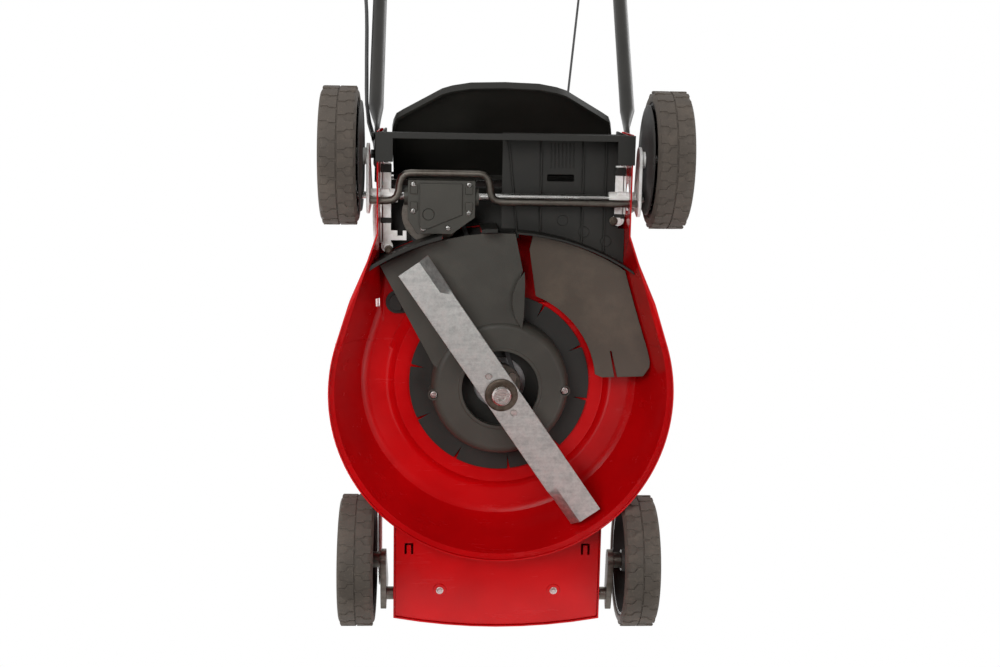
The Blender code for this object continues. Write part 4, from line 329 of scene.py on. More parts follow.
def settle(made):
    """The piece with its modifiers worked into its mesh."""
    graph = bpy.context.evaluated_depsgraph_get()
    grown_up = made.evaluated_get(graph)
    mesh = bpy.data.meshes.new_from_object(grown_up, preserve_all_data_layers=True, depsgraph=graph)
    made.modifiers.clear()
    made.data = mesh
    return made


def combine(made, tools, operation):
    """Union or difference of a piece with others, which are used up."""
    for other in tools:
        change = made.modifiers.new(operation.title(), "BOOLEAN")
        change.operation = operation
        change.solver = "MANIFOLD"
        change.object = other
        settle(made)
        bpy.data.objects.remove(other)
    return made


def rounded(profile, radius, steps):
    """A profile with its inner corners turned into small arcs."""
    made = [profile[0]]
    for before, corner, after in zip(profile, profile[1:], profile[2:]):
        corner = Vector(corner)
        back = Vector(before) - corner
        ahead = Vector(after) - corner
        reach = min(radius, 0.45 * back.length, 0.45 * ahead.length)
        start = corner + back.normalized() * reach
        end = corner + ahead.normalized() * reach
        for k in range(steps + 1):
            t = k / steps
            spot = start * (1 - t) ** 2 + corner * 2 * t * (1 - t) + end * t ** 2
            made.append((spot.x, spot.y))
    return made + [profile[-1]]


def rings_solid(rings, closed=False):
    """A solid through rings of points; open runs get end faces, a ring of one point is a tip."""
    bm = bmesh.new()
    rows = [[bm.verts.new(point) for point in ring] for ring in rings]
    pairs = list(zip(rows, rows[1:]))
    if closed:
        pairs.append((rows[-1], rows[0]))
    for low, high in pairs:
        count = max(len(low), len(high))
        for i in range(count):
            j = (i + 1) % count
            if len(low) == 1:
                bm.faces.new((low[0], high[j], high[i]))
            elif len(high) == 1:
                bm.faces.new((low[i], low[j], high[0]))
            else:
                bm.faces.new((low[i], low[j], high[j], high[i]))
    if not closed:
        for end in (rows[0], rows[-1]):
            if len(end) > 2:
                bm.faces.new(end)
    return solid(bm)


def turned(profile, sides, axis="Z", centre=(0, 0, 0), phase=0.0):
    """A profile of (radius, height) points turned round an axis. A ring profile is closed on itself."""
    turn = {"Z": Matrix(), "X": Matrix.Rotation(math.pi / 2, 4, "Y"),
            "Y": Matrix.Rotation(-math.pi / 2, 4, "X")}[axis]
    place = Matrix.Translation(centre) @ turn
    rings = []
    for radius, height in profile:
        if radius == 0:
            rings.append([place @ Vector((0, 0, height))])
            continue
        steps = (phase + 2 * math.pi * k / sides for k in range(sides))
        rings.append([place @ Vector((radius * math.cos(a), radius * math.sin(a), height)) for a in steps])
    return rings_solid(rings, closed=profile[0][0] > 0)


def on_axis(axis, point, height):
    """A spot at a height on an axis; the point gives the other two coordinates, as XY, YZ or XZ."""
    first, second = point
    return {"Z": (first, second, height), "X": (height, first, second), "Y": (first, height, second)}[axis]


def cylinder(radius, low, high, axis="Z", centre=(0, 0), sides=48):
    """A plain round bar between two heights on an axis, whichever is the lower."""
    low, high = sorted((low, high))
    profile = [(0, low), (radius, low), (radius, high), (0, high)]
    return turned(profile, sides, axis, on_axis(axis, centre, 0))


def tube(outer, inner, low, high, axis="Z", centre=(0, 0), sides=48):
    """A round sleeve between two heights on an axis."""
    profile = [(outer, low), (outer, high), (inner, high), (inner, low)]
    return turned(profile, sides, axis, on_axis(axis, centre, 0))


def prism(outline, low, high, axis="Z"):
    """An outline drawn in the plane across an axis, pulled along it between two heights."""
    ends = sorted((low, high))
    return rings_solid([[on_axis(axis, point, height) for point in outline] for height in ends])


def block(x, y, z, rounding=0.0):
    """A box between two corners, with its edges rounded."""
    x = sorted(x)
    bm = bmesh.new()
    bmesh.ops.create_cube(bm, size=1)
    size = Vector((x[1] - x[0], y[1] - y[0], z[1] - z[0]))
    middle = Vector((x[0] + x[1], y[0] + y[1], z[0] + z[1])) / 2
    bmesh.ops.scale(bm, vec=size, verts=bm.verts)
    bmesh.ops.translate(bm, vec=middle, verts=bm.verts)
    if rounding:
        bmesh.ops.bevel(bm, geom=bm.edges[:], offset=rounding, segments=3, profile=0.5, affect="EDGES")
    return solid(bm)


def swept(points, fixed, sizes):
    """A bar along points in a plane whose normal is fixed; sizes are its half widths along and across it."""
    points = [Vector(p) for p in points]
    fixed = Vector(fixed).normalized()
    rings = []
    for i, point in enumerate(points):
        ahead = points[min(i + 1, len(points) - 1)] - point
        behind = point - points[max(i - 1, 0)]
        tangent = (ahead.normalized() + behind.normalized()).normalized()
        across = tangent.cross(fixed).normalized()
        half_fixed, half_across = sizes[i]
        angles = (2 * math.pi * (k + 0.5) / BAR_SIDES for k in range(BAR_SIDES))
        rings.append([point + fixed * half_fixed * math.cos(a) + across * half_across * math.sin(a)
                      for a in angles])
    return rings_solid(rings)


def arc(centre, radius, start, end, steps):
    """Points along a circle from one angle to another, in degrees."""
    angles = (math.radians(start + (end - start) * k / steps) for k in range(steps + 1))
    return [(centre[0] + radius * math.cos(a), centre[1] + radius * math.sin(a)) for a in angles]


def round_hull(circles, sides):
    """The outline that a band stretched round circles (first, second, radius) would take."""
    spots = []
    for first, second, radius in circles:
        angles = (2 * math.pi * (k + 0.5) / sides for k in range(sides))
        spots += [(first + radius * math.cos(a), second + radius * math.sin(a)) for a in angles]
    spots.sort()

    def chain(points):
        kept = []
        for point in points:
            while len(kept) > 1:
                (ax, ay), (bx, by) = kept[-2:]
                if (bx - ax) * (point[1] - ay) - (by - ay) * (point[0] - ax) > 1e-9:
                    break
                kept.pop()
            kept.append(point)
        return kept[:-1]

    return chain(spots) + chain(spots[::-1])


def joined(piece, *others):
    return combine(piece, others, "UNION")


def cut(piece, *tools):
    return combine(piece, tools, "DIFFERENCE")


def moved(made, frame):
    """A drawn piece carried to the place that a matrix in millimetres gives."""
    place = frame.copy()
    place.translation = frame.translation * MM
    made.data.transform(place)
    return made


def placed(made, spot):
    return moved(made, Matrix.Translation(spot))


def spun(made, angle):
    """A drawn piece turned about the Z axis."""
    return moved(made, Matrix.Rotation(angle, 4, "Z"))


def mirrored(half):
    """A whole profile along X, from the right end to the left one, out of its left half."""
    return [(radius, -x) for radius, x in reversed(half)] + half


def shaft_bore(low, high):
    """Room for the drive shaft between two x."""
    return cylinder(SHAFT_RADIUS + RUN, low, high, "X", REAR_PIVOT)


def gear_outline(teeth, tip, root, growth, centre, heading, flank_steps):
    """The outline of an involute gear in the YZ plane, with a tooth pointing along heading."""
    pitch = MODULE * teeth / 2
    base = pitch * math.cos(PRESSURE_ANGLE)
    half_at_pitch = math.pi / (2 * teeth) + growth / (2 * pitch)

    def involute(angle):
        return math.tan(angle) - angle

    def half_tooth(radius):
        at = math.acos(base / max(radius, base))
        return half_at_pitch + involute(PRESSURE_ANGLE) - involute(at)

    radii = [max(root, base) + (tip - max(root, base)) * k / flank_steps for k in range(flank_steps + 1)]
    flank = [(radius, half_tooth(radius)) for radius in radii]
    if root < base:
        flank.insert(0, (root, half_tooth(base)))
    points = []
    for tooth in range(teeth):
        middle = heading + 2 * math.pi * tooth / teeth
        polar = [(r, middle - half) for r, half in flank] + [
            (r, middle + half) for r, half in reversed(flank)]
        points += [(centre[0] + r * math.cos(a), centre[1] + r * math.sin(a)) for r, a in polar]
    return points


def hub(x, y, geared):
    """A plastic wheel body; a rear one has a ring gear on its inner side."""
    outward = 1 if x > 0 else -1
    half = TYRE_WIDTH / 2 - HUB_FACE_INSET
    rim = TYRE_BORE_RADIUS - GAP
    web = half - 12
    bore = AXLE_RADIUS + RUN
    profile = [(rim, -half), (rim, half), (rim - 5, half), (rim - 8, web + 2), (HUB_BOSS_RADIUS + 3, web + 2),
               (HUB_BOSS_RADIUS, half - HUB_FACE_INSET), (bore, half - HUB_FACE_INSET), (bore, -half + 2),
               (HUB_BOSS_RADIUS, -half + 2), (HUB_BOSS_RADIUS + 3, web - 2)]
    if geared:
        tip = MODULE * RING_TEETH / 2 - 0.55 * MODULE
        inside = -half + RING_WIDTH
        profile += [(rim - 3, web - 2), (rim - 3, inside), (tip, inside), (tip, -half)]
    else:
        profile += [(rim - 5, web - 2), (rim - 4, -half)]
    body = turned([(r, h * outward) for r, h in profile], 64 if geared else 48, "X", (x, y, WHEEL_Z))
    if geared:
        heading = math.atan2(PIVOT_Z - WHEEL_Z, REAR_PIVOT_Y - REAR_AXLE_Y)
        pitch = MODULE * RING_TEETH / 2
        spaces = gear_outline(RING_TEETH, pitch + 1.2 * MODULE, pitch - 0.9 * MODULE, TOOTH_BACKLASH / 2,
                              (REAR_AXLE_Y, WHEEL_Z), heading, 4)
        cut(body, prism(spaces, x - outward * (half + 1), x - outward * (half - RING_WIDTH), "X"))
    return body


def pinion(side):
    """One of the two pinions that ratchet on the drive shaft inside the rear wheels."""
    pitch = MODULE * PINION_TEETH / 2
    heading = math.atan2(PIVOT_Z - WHEEL_Z, REAR_PIVOT_Y - REAR_AXLE_Y)
    outline = gear_outline(PINION_TEETH, pitch + 0.95 * MODULE, pitch - 1.25 * MODULE, -TOOTH_BACKLASH / 2,
                           (REAR_PIVOT_Y, PIVOT_Z), heading, 4)
    near = REAR_WHEEL_X - TYRE_WIDTH / 2 + HUB_FACE_INSET + 2
    ends = sorted((side * near, side * (near + PINION_WIDTH)))
    gear = prism(outline, *ends, "X")
    return cut(gear, shaft_bore(ends[0] - 1, ends[1] + 1))


def make_drive_shaft():
    near = REAR_WHEEL_X - TYRE_WIDTH / 2 + HUB_FACE_INSET + 2
    reach = near + PINION_WIDTH + 3
    collar = near + PINION_WIDTH + GAP
    half = [(SHAFT_RADIUS, collar), (SHAFT_RADIUS + 3, collar), (SHAFT_RADIUS + 3, collar + 2),
            (SHAFT_RADIUS, collar + 2), (SHAFT_RADIUS, reach), (0, reach)]
    piece("drive_shaft", turned(mirrored(half), 40, "X", (0, *REAR_PIVOT)), "bright_steel")
    piece("left_pinion", pinion(1), "dark_steel")
    piece("right_pinion", pinion(-1), "dark_steel")


def axle_stub(sign, inner, wheel_x, y):
    """The shoulder, spindle and end nut that a wheel turns on."""
    half = TYRE_WIDTH / 2 - HUB_FACE_INSET
    hub_in = wheel_x - half + 2 - GAP
    hub_out = wheel_x + half - HUB_FACE_INSET + GAP
    nut = hub_out + 4
    profile = [(0, inner), (HUB_BOSS_RADIUS - 4, inner), (HUB_BOSS_RADIUS - 4, hub_in), (AXLE_RADIUS, hub_in),
               (AXLE_RADIUS, hub_out), (HUB_BOSS_RADIUS - 5, hub_out), (HUB_BOSS_RADIUS - 5, nut), (0, nut)]
    return turned([(r, sign * h) for r, h in profile], 40, "X", (0, y, WHEEL_Z))


def rear_plate(sign):
    """A rear wheel plate: it swings on the drive shaft and carries the wheel's spindle."""
    circles = [(REAR_AXLE_Y, WHEEL_Z, 17), (REAR_PIVOT_Y, PIVOT_Z + 4, 19),
               (REAR_PIVOT_Y - 6, WHEEL_Z - 2, 17)]
    if sign > 0:
        circles.insert(1, (REAR_PIVOT_Y + LINK_PIN_BACK, LINK_Z, 9))
    ends = sorted((sign * PLATE_X, sign * (PLATE_X + PLATE_THICKNESS)))
    plate = prism(round_hull(circles, 64), *ends, "X")
    plate = joined(plate, axle_stub(sign, PLATE_X + 1, REAR_WHEEL_X, REAR_AXLE_Y))
    if sign > 0:
        pin = cylinder(LINK_PIN_RADIUS, PLATE_X - 6, PLATE_X + 1, "X",
                       (REAR_PIVOT_Y + LINK_PIN_BACK, LINK_Z))
        plate = joined(plate, pin)
    return cut(plate, shaft_bore(ends[0] - 1, ends[1] + 1))


def crank_rod():
    """The rod that ties both rear plates, cranked round the back of the gearbox."""
    y = REAR_PIVOT_Y - CRANK_ROD_BACK
    z = PIVOT_Z - CRANK_ROD_DROP
    back = REAR_PIVOT_Y + CRANK_REACH
    end = PLATE_X - GAP
    left_in = GEARBOX_X + GEARBOX_WIDTH / 2 + 9
    right_in = GEARBOX_X - GEARBOX_WIDTH / 2 - 17
    spread = 5
    points = [(end, y, z), (left_in + spread, y, z), (left_in, back, z), (right_in, back, z),
              (right_in - spread, y, z), (-end, y, z)]
    bent = []
    for i, point in enumerate(points):
        if i in (0, len(points) - 1):
            bent.append(Vector(point))
            continue
        corner = Vector(point)
        before = (Vector(points[i - 1]) - corner).normalized() * 13
        after = (Vector(points[i + 1]) - corner).normalized() * 13
        bent += [corner + before, corner + before * 0.45 + after * 0.11,
                 corner + before * 0.11 + after * 0.45, corner + after]
    return swept(bent, (0, 0, 1), [(CRANK_ROD_RADIUS, CRANK_ROD_RADIUS)] * len(bent))


def front_axle():
    """The front cross rod with its two trailing arms and wheel spindles, one welded piece."""
    shoulder = FRONT_HALF_WIDTH + GAP
    half = [(CROSS_ROD_RADIUS, shoulder), (9, shoulder), (9, ARM_X + 2), (0, ARM_X + 2)]
    frame = turned(mirrored(half), 40, "X", (0, *FRONT_PIVOT))
    for sign in (1, -1):
        circles = [(FRONT_AXLE_Y, WHEEL_Z, 15), (FRONT_PIVOT_Y, PIVOT_Z, 12),
                   (FRONT_PIVOT_Y - 19, PIVOT_Z - 3, 3)]
        if sign > 0:
            circles.insert(1, (FRONT_PIVOT_Y + LINK_PIN_BACK, LINK_Z, 7))
        arm = prism(round_hull(circles, 48), sign * ARM_X, sign * (ARM_X + ARM_THICKNESS), "X")
        arm = joined(arm, axle_stub(sign, ARM_X + 1, FRONT_WHEEL_X, FRONT_AXLE_Y))
        if sign > 0:
            pin_end = ARM_X + ARM_THICKNESS + 5
            arm = joined(arm, cylinder(LINK_PIN_RADIUS, ARM_X + 1, pin_end, "X",
                                       (FRONT_PIVOT_Y + LINK_PIN_BACK, LINK_Z)))
        frame = joined(frame, arm)
    return frame


def link_rod():
    """The rod over the deck's left side that makes the front arms follow the rear plates."""
    rear_x = PLATE_X - 3
    front_x = ARM_X + ARM_THICKNESS + LINK_ROD_RADIUS + 0.5
    rear_y = REAR_PIVOT_Y + LINK_PIN_BACK
    front_y = FRONT_PIVOT_Y + LINK_PIN_BACK
    points = [(rear_x, rear_y - 4, LINK_Z), (rear_x, rear_y - 38, LINK_Z),
              (rear_x - 0.5, rear_y - 46, LINK_Z),
              (front_x + 0.5, front_y + 220, LINK_Z), (front_x, front_y + 212, LINK_Z),
              (front_x, front_y + 4, LINK_Z)]
    rod = swept(points, (0, 0, 1), [(LINK_ROD_RADIUS, LINK_ROD_RADIUS)] * len(points))
    for x, y in ((rear_x, rear_y), (front_x, front_y)):
        rod = joined(rod, cylinder(7, x - 2, x + 2, "X", (y, LINK_Z), sides=40))
        rod = cut(rod, cylinder(LINK_PIN_RADIUS + RUN, x - 4, x + 4, "X", (y, LINK_Z)))
    return rod


def lever_at(radius, tilt):
    """A point (y, z) at a distance from the height pivot, leaning forward of upright by an angle."""
    return (REAR_PIVOT_Y - radius * math.sin(tilt), PIVOT_Z + radius * math.cos(tilt))


def crank_swing():
    """The room that the crank rod sweeps round the drive shaft."""
    return math.hypot(CRANK_ROD_BACK, CRANK_ROD_DROP) + CRANK_ROD_RADIUS + 1.5


def height_lever():
    near = PLATE_X + PLATE_THICKNESS + GAP
    top = lever_at(LEVER_LENGTH, LEVER_TILT)
    strip = prism(round_hull([(REAR_PIVOT_Y, PIVOT_Z, 12), (*top, 9)], 96), -near - 2.5, -near, "X")
    latch = cylinder(3, -near - 1, -near + 9, "X", lever_at(NOTCH_RADIUS, LEVER_TILT))
    grip_low = lever_at(LEVER_LENGTH - 8, LEVER_TILT)
    grip_top = lever_at(LEVER_LENGTH + 38, LEVER_TILT)
    grip = prism(round_hull([(*grip_low, 11), (*grip_top, 15)], 128), -near - 8, -near + 6, "X")
    lever = joined(strip, latch, grip)
    return cut(lever, shaft_bore(-near - 4, -near + 1))


def height_quadrant():
    """The notched sector that holds the height lever, welded to the deck's right side."""
    tips = NOTCH_RADIUS - 3.6
    depth = 4
    inner = NOTCH_RADIUS - 22
    outer = []
    for notch in range(-2, 3):
        middle = LEVER_TILT + notch * NOTCH_STEP
        for offset, radius in ((0.5, tips), (0.3, tips), (0.18, tips - depth), (-0.18, tips - depth),
                               (-0.3, tips), (-0.5, tips)):
            outer.append(lever_at(radius, middle - offset * NOTCH_STEP))
    spread = 2.5 * NOTCH_STEP
    steps = 8
    inside = [lever_at(inner, LEVER_TILT + spread - 2 * spread * k / steps) for k in range(steps + 1)]
    sector = prism(outer + inside, -REAR_HALF_WIDTH - 7, -REAR_HALF_WIDTH - 4.5, "X")
    foot_y = REAR_PIVOT_Y - 46
    low_z = DECK_TOP_Z - 30
    leg_top = PIVOT_Z + inner
    leg = block((-REAR_HALF_WIDTH - 7, -REAR_HALF_WIDTH - 4.5), (foot_y, foot_y + 28), (low_z, leg_top))
    foot = block((-REAR_HALF_WIDTH - 6, -REAR_HALF_WIDTH + 1), (foot_y, foot_y + 28),
                 (low_z, DECK_TOP_Z - 12))
    return joined(sector, leg, foot)


def make_height_gear():
    piece("rear_left_plate", rear_plate(1), "zinc")
    piece("rear_right_plate", rear_plate(-1), "zinc")
    piece("rear_crank_rod", crank_rod(), "dark_steel")
    piece("front_axle", front_axle(), "dark_steel")
    piece("height_link_rod", link_rod(), "zinc")
    piece("height_lever", height_lever(), "dark_steel")


def skirt_profile(inset):
    """The deck's chamber from rim to middle, drawn back by the sheet's thickness for its inside."""
    r = CHAMBER_RADIUS
    top = DECK_TOP_Z
    step = PLATEAU_RADIUS
    outer = [(r, RIM_Z), (r, RIM_Z + 6), (r - 6, RIM_Z + 11), (r - 21, RIM_Z + 66), (r - 36, top - 6),
             (r - 48, top)]
    inner = [(step + 14, top), (step + 5, top - 4), (step, PLATEAU_Z)]
    walls = [(radius - inset, max(z - inset, RIM_Z - inset)) for radius, z in outer]
    dish = [(radius + 0.6 * inset, z - inset) for radius, z in inner]
    return [(0, RIM_Z - inset)] + walls + dish + [(0, PLATEAU_Z - inset)]


def front_outline(inset, rear_radius):
    """The plan of the deck's front box, from the chamber's circle to its bowed front edge."""
    half = FRONT_HALF_WIDTH - inset
    start = math.degrees(math.acos(half / rear_radius))
    rear = arc((0, 0), rear_radius, -start, -180 + start, 64)
    bow = [(-half + 2 * half * k / 8, FRONT_END_Y + inset - FRONT_BOW * (1 - (2 * k / 8 - 1) ** 2))
           for k in range(9)]
    return rear + bow


def skirt_radius(z):
    """The outside radius of the deck's skirt at a height."""
    profile = skirt_profile(0)
    for (r0, z0), (r1, z1) in zip(profile[1:], profile[2:]):
        if z0 <= z <= z1:
            return r0 + (r1 - r0) * (z - z0) / (z1 - z0)
    return CHAMBER_RADIUS


def shoulder(sign, inset):
    """The straight part of the skirt, tangent to the round chamber, that runs back to a side wall."""
    edge = REAR_HALF_WIDTH - inset - 0.6
    turn = SHOULDER_TURN
    rings = []
    for radius, z in skirt_profile(inset)[1:7]:
        touch = (radius * math.cos(turn), radius * math.sin(turn))
        back = touch[1] + (touch[0] - edge) / math.tan(turn)
        rings.append([(sign * x, y, z) for x, y in ((0, 0), touch, (edge, back), (0, back))])
    return rings_solid(rings)


def bay(sign, inset):
    """The room inside a shoulder and the side wall behind it."""
    wall = block((0, sign * (REAR_HALF_WIDTH - inset)), (20, DUCT_FRONT_Y + 20),
                 (RIM_Z, DECK_TOP_Z - inset), 7.5)
    return joined(wall, shoulder(sign, inset))


def lip_arc(step, first_x, last_x, count):
    """Points along the chamber's bowed rear wall, drawn out by a step, from one x to another."""
    spots = [first_x + (last_x - first_x) * k / count for k in range(count + 1)]
    return [(x, LIP_RADIUS - LIP_BOW + math.sqrt((LIP_BOW + step) ** 2 - x ** 2)) for x in spots]


def dish_room():
    """The room above the dish that carries the engine, clear of the deck's roof."""
    return cylinder(PLATEAU_RADIUS + 15, 0, DECK_TOP_Z + 10, sides=DECK_SIDES)


def deck_outside():
    """The deck's outer form as a solid: chamber, rear box with its shoulders, tunnel and front box."""
    outer = turned(skirt_profile(0), DECK_SIDES)
    half = REAR_HALF_WIDTH
    rear = block((-half, half), (REAR_START_Y, REAR_END_Y + 20), (REAR_WALL_Z - 20, DECK_TOP_Z), 8)
    rear = cut(rear, block((-half - 5, half + 5), (0, REAR_END_Y + 60), (0, REAR_WALL_Z)), dish_room())
    sides = joined(shoulder(1, 0), shoulder(-1, 0))
    outer = joined(outer, rear, cut(sides, dish_room()))
    tunnel = [(TUNNEL_START_Y, DECK_TOP_Z - 10), (TUNNEL_END_Y, DECK_TOP_Z - 10),
              (TUNNEL_END_Y, TUNNEL_TOP_Z), (TUNNEL_END_Y - 12, TUNNEL_TOP_Z),
              (TUNNEL_START_Y + 26, DECK_TOP_Z + 10), (TUNNEL_START_Y, DECK_TOP_Z)]
    outer = joined(outer, prism(tunnel, TUNNEL_RIGHT_X, TUNNEL_LEFT_X, "X"))
    return joined(outer, prism(front_outline(0, CHAMBER_RADIUS - 40), FRONT_PANEL_Z - 3.3, FRONT_TOP_Z))


def deck_inside():
    """The room under the deck, a sheet's thickness inside its outer form, without the front box."""
    half = REAR_HALF_WIDTH - SHEET
    room = block((-half, half), (REAR_START_Y, REAR_END_Y + 40), (RIM_Z - 30, DECK_TOP_Z - SHEET), 7)
    room = joined(room, shoulder(1, SHEET), shoulder(-1, SHEET))
    inner = joined(turned(skirt_profile(SHEET), DECK_SIDES), cut(room, dish_room()))
    tunnel = [(TUNNEL_START_Y + SHEET, DECK_TOP_Z - 14), (TUNNEL_END_Y + 4, DECK_TOP_Z - 14),
              (TUNNEL_END_Y + 4, TUNNEL_TOP_Z - SHEET), (TUNNEL_END_Y - 12.5, TUNNEL_TOP_Z - SHEET),
              (TUNNEL_START_Y + 27, DECK_TOP_Z + 7.8), (TUNNEL_START_Y + SHEET, DECK_TOP_Z - 1.5)]
    return joined(inner, prism(tunnel, TUNNEL_RIGHT_X + SHEET, TUNNEL_LEFT_X - SHEET, "X"))


def lip_wall():
    """The wall that closes the chamber's left rear, with gaps for the belt and the gearbox."""
    wall = prism(lip_arc(2.5, 200, 8, 10) + lip_arc(0.6, 8, 200, 10), REAR_WALL_Z + 6, DECK_TOP_Z - 1)
    wall = combine(wall, [bay(1, SHEET / 2)], "INTERSECT")
    belt_gap = BELT_Z - PULLEY_WIDTH / 2 - 5
    return cut(wall, block((30, 158), (0, REAR_END_Y), (belt_gap, BELT_Z + PULLEY_WIDTH)),
               block((30, 80), (0, REAR_END_Y), (0, GEARBOX_TOP_Z + 2)))


def make_deck():
    half = REAR_HALF_WIDTH
    deck = cut(deck_outside(), deck_inside())
    hollow = prism(front_outline(SHEET, PLATEAU_RADIUS + 15), FRONT_PANEL_Z - 6, FRONT_TOP_Z - SHEET)
    deck = cut(deck, cut(hollow, turned(skirt_profile(0.5), DECK_SIDES)))
    deck = joined(deck, lip_wall())
    duct = CHEEK_X + CHEEK_THICKNESS + 0.5
    roof_z = (DECK_TOP_Z - 10, DECK_TOP_Z + 5)
    deck = cut(deck, block((-duct, duct), (DUCT_FRONT_Y - 0.5, REAR_END_Y + 60), roof_z),
               block((-half - 5, half + 5), (REAR_END_Y, REAR_END_Y + 60), (0, DECK_TOP_Z + 10)))
    ear = round_hull([(REAR_END_Y - 14, HANDLE_FOOT_Z + 12, 12), (HANDLE_FOOT_Y - 4, DECK_TOP_Z + 2, 14),
                      (HANDLE_FOOT_Y - 16, REAR_WALL_Z + 40, 14),
                      (REAR_END_Y - 16, REAR_WALL_Z + 40, 14)], 48)
    for sign in (1, -1):
        deck = joined(deck, prism(ear, sign * (half - SHEET + 0.1), sign * (half - 0.1), "X"))
    deck = joined(deck, height_quadrant())
    low = PLATEAU_Z - 20
    top = PLATEAU_Z + 5
    r = CRANK_HOLE_RADIUS
    crank_hole = turned([(0, low), (r, low), (r, top), (0, top)], 72, phase=0.05)
    deck = cut(deck, cylinder(crank_swing(), -half - 5, half + 5, "X", REAR_PIVOT, sides=56),
               cylinder(CROSS_ROD_RADIUS + RUN, -half - 5, half + 5, "X", FRONT_PIVOT),
               crank_hole, block((165, 170), (103, 115), (100, 160)))
    bevel = [(60, 0), (60, RIM_Z - 0.5), (244, REAR_WALL_Z + 0.4), (244, 0)]
    for sign in (1, -1):
        deck = cut(deck, prism(bevel, sign * (half - 14), sign * (CHAMBER_RADIUS + 5), "X"))
    cable_hole = cylinder(CABLE_RADIUS + 5, half - 5, half + 5, "X", (CABLE_HOLE_Y, CABLE_HOLE_Z))
    return piece("deck", cut(deck, cable_hole), "red_enamel")


def make_front_panel():
    """The plate that closes the deck's front box from below, over the front cross rod."""
    panel = prism(front_outline(SHEET + GAP, skirt_radius(FRONT_PANEL_Z) + 0.8), FRONT_PANEL_Z,
                  FRONT_PANEL_Z + FRONT_PANEL_THICKNESS)
    for sign in (1, -1):
        x = sign * 122
        for half_x, half_y, shift, y in ((1.4, 8, -4.5, -226), (1.4, 8, 4.5, -226), (5.9, 1.4, 0, -219.4)):
            slot = block((x + shift - half_x, x + shift + half_x), (y - half_y, y + half_y), (70, 100), 0.6)
            panel = cut(panel, slot)
        bolt = (sign * PANEL_BOLT[0], PANEL_BOLT[1])
        panel = joined(panel, cylinder(9, PANEL_BOSS_Z, FRONT_PANEL_Z + 1, "Z", bolt, sides=40))
    return piece("front_panel", panel, "red_enamel")


def add_cheeks(chute):
    """Adds the side cheeks with their feet, and the front wall with the tunnel's opening."""
    x = CHEEK_X
    low = CHUTE_BAR_Z[0]
    end = CHUTE_BAR_Y[1]
    edge_z = FLAP_HINGE_Z - (REAR_END_Y - FLAP_HINGE_Y) * math.tan(FLAP_SLOPE) - 6
    cheek = [(DUCT_FRONT_Y, DECK_TOP_Z + 2), (DUCT_FRONT_Y + 56, DECK_TOP_Z + 2), (DUCT_FRONT_Y + 56, low),
             (end, low), (end, edge_z), (FLAP_HINGE_Y + 10, FLAP_HINGE_Z - 12)]
    cheek += arc(FLAP_HINGE, 9, -30, 140, 24) + [(DUCT_FRONT_Y, FLAP_HINGE_Z - 6)]
    for sign in (1, -1):
        foot = block((sign * (x - 12), sign * CHUTE_BAR_REACH), (end - 38, end), (low, low + 4))
        chute = joined(chute, prism(cheek, sign * x, sign * (x + CHEEK_THICKNESS), "X"), foot)
    front = block((-x - 1, x + 1), (DUCT_FRONT_Y, DUCT_FRONT_Y + CHEEK_THICKNESS),
                  (DECK_TOP_Z + 2, FLAP_HINGE_Z - 3))
    opening = block((TUNNEL_RIGHT_X - 1, TUNNEL_LEFT_X + 1), (DUCT_FRONT_Y - 5, DUCT_FRONT_Y + 9),
                    (DECK_TOP_Z - 10, TUNNEL_TOP_Z + 1))
    return joined(chute, cut(front, opening))


def add_floor(chute):
    """Adds the floor under the tunnel with its lip, ribs, window and bosses."""
    low = CHUTE_FLOOR_Z
    top = low + CHEEK_THICKNESS
    bar_y = CHUTE_BAR_Y[0]
    right = TUNNEL_RIGHT_X - 5
    floor = block((right, 2), (DUCT_FRONT_Y - 40, CHUTE_BAR_Y[1] - 1), (low, top))
    arch = lip_arc(0, -19, -200, 9) + lip_arc(-CHEEK_THICKNESS, -200, -19, 9)
    back = DUCT_FRONT_Y - 38
    fill = prism(lip_arc(-1, -19, -200, 9) + [(-200, back), (-18, back)], low, top)
    lip = joined(prism(arch, REAR_WALL_Z + 12, top), fill)
    chute = joined(chute, floor, combine(lip, [bay(-1, SHEET + GAP)], "INTERSECT"))
    for x, lean, front_y in ((-6, -14, 204), (-50, 0, 212), (-106, 0, 196), (-136, 0, 187)):
        plan = [(x + lean - 1, front_y), (x + lean + 1, front_y), (x + 1, bar_y + 1), (x - 1, bar_y + 1)]
        chute = joined(chute, prism(plan, low - 3.5, low + 1))
    for k in range(7):
        x = -63 - 5 * k
        chute = joined(chute, block((x - 0.5, x + 0.5), (298, 330), (low - 1.2, low + 1), 0.2))
    chute = cut(chute, block((-94, -58), (280, 289), (low - 3, low + 5), 2))
    chute = joined(chute, block((right, 2), (bar_y, bar_y + CHEEK_THICKNESS), (CHUTE_BAR_Z[1] - 2, low + 1)))
    for k, spot in enumerate(((-80, 228), (-109, 213), (-139, 201))):
        chute = joined(chute, cylinder(7, low - 1.5 - 0.3 * k, low + 1, "Z", spot, sides=40))
    return chute


def chute_strip():
    """The strip along the hinge, with a gap for the flap's spring."""
    z = FLAP_HINGE_Z
    strip = block((-CHEEK_X - 1, CHEEK_X + 1), (DUCT_FRONT_Y - 2, FLAP_HINGE_Y + 7), (z + 8.6, z + 10.6), 0.5)
    return cut(strip, block((36, 54), (DUCT_FRONT_Y + 1, FLAP_HINGE_Y + 9), (z, z + 14)))


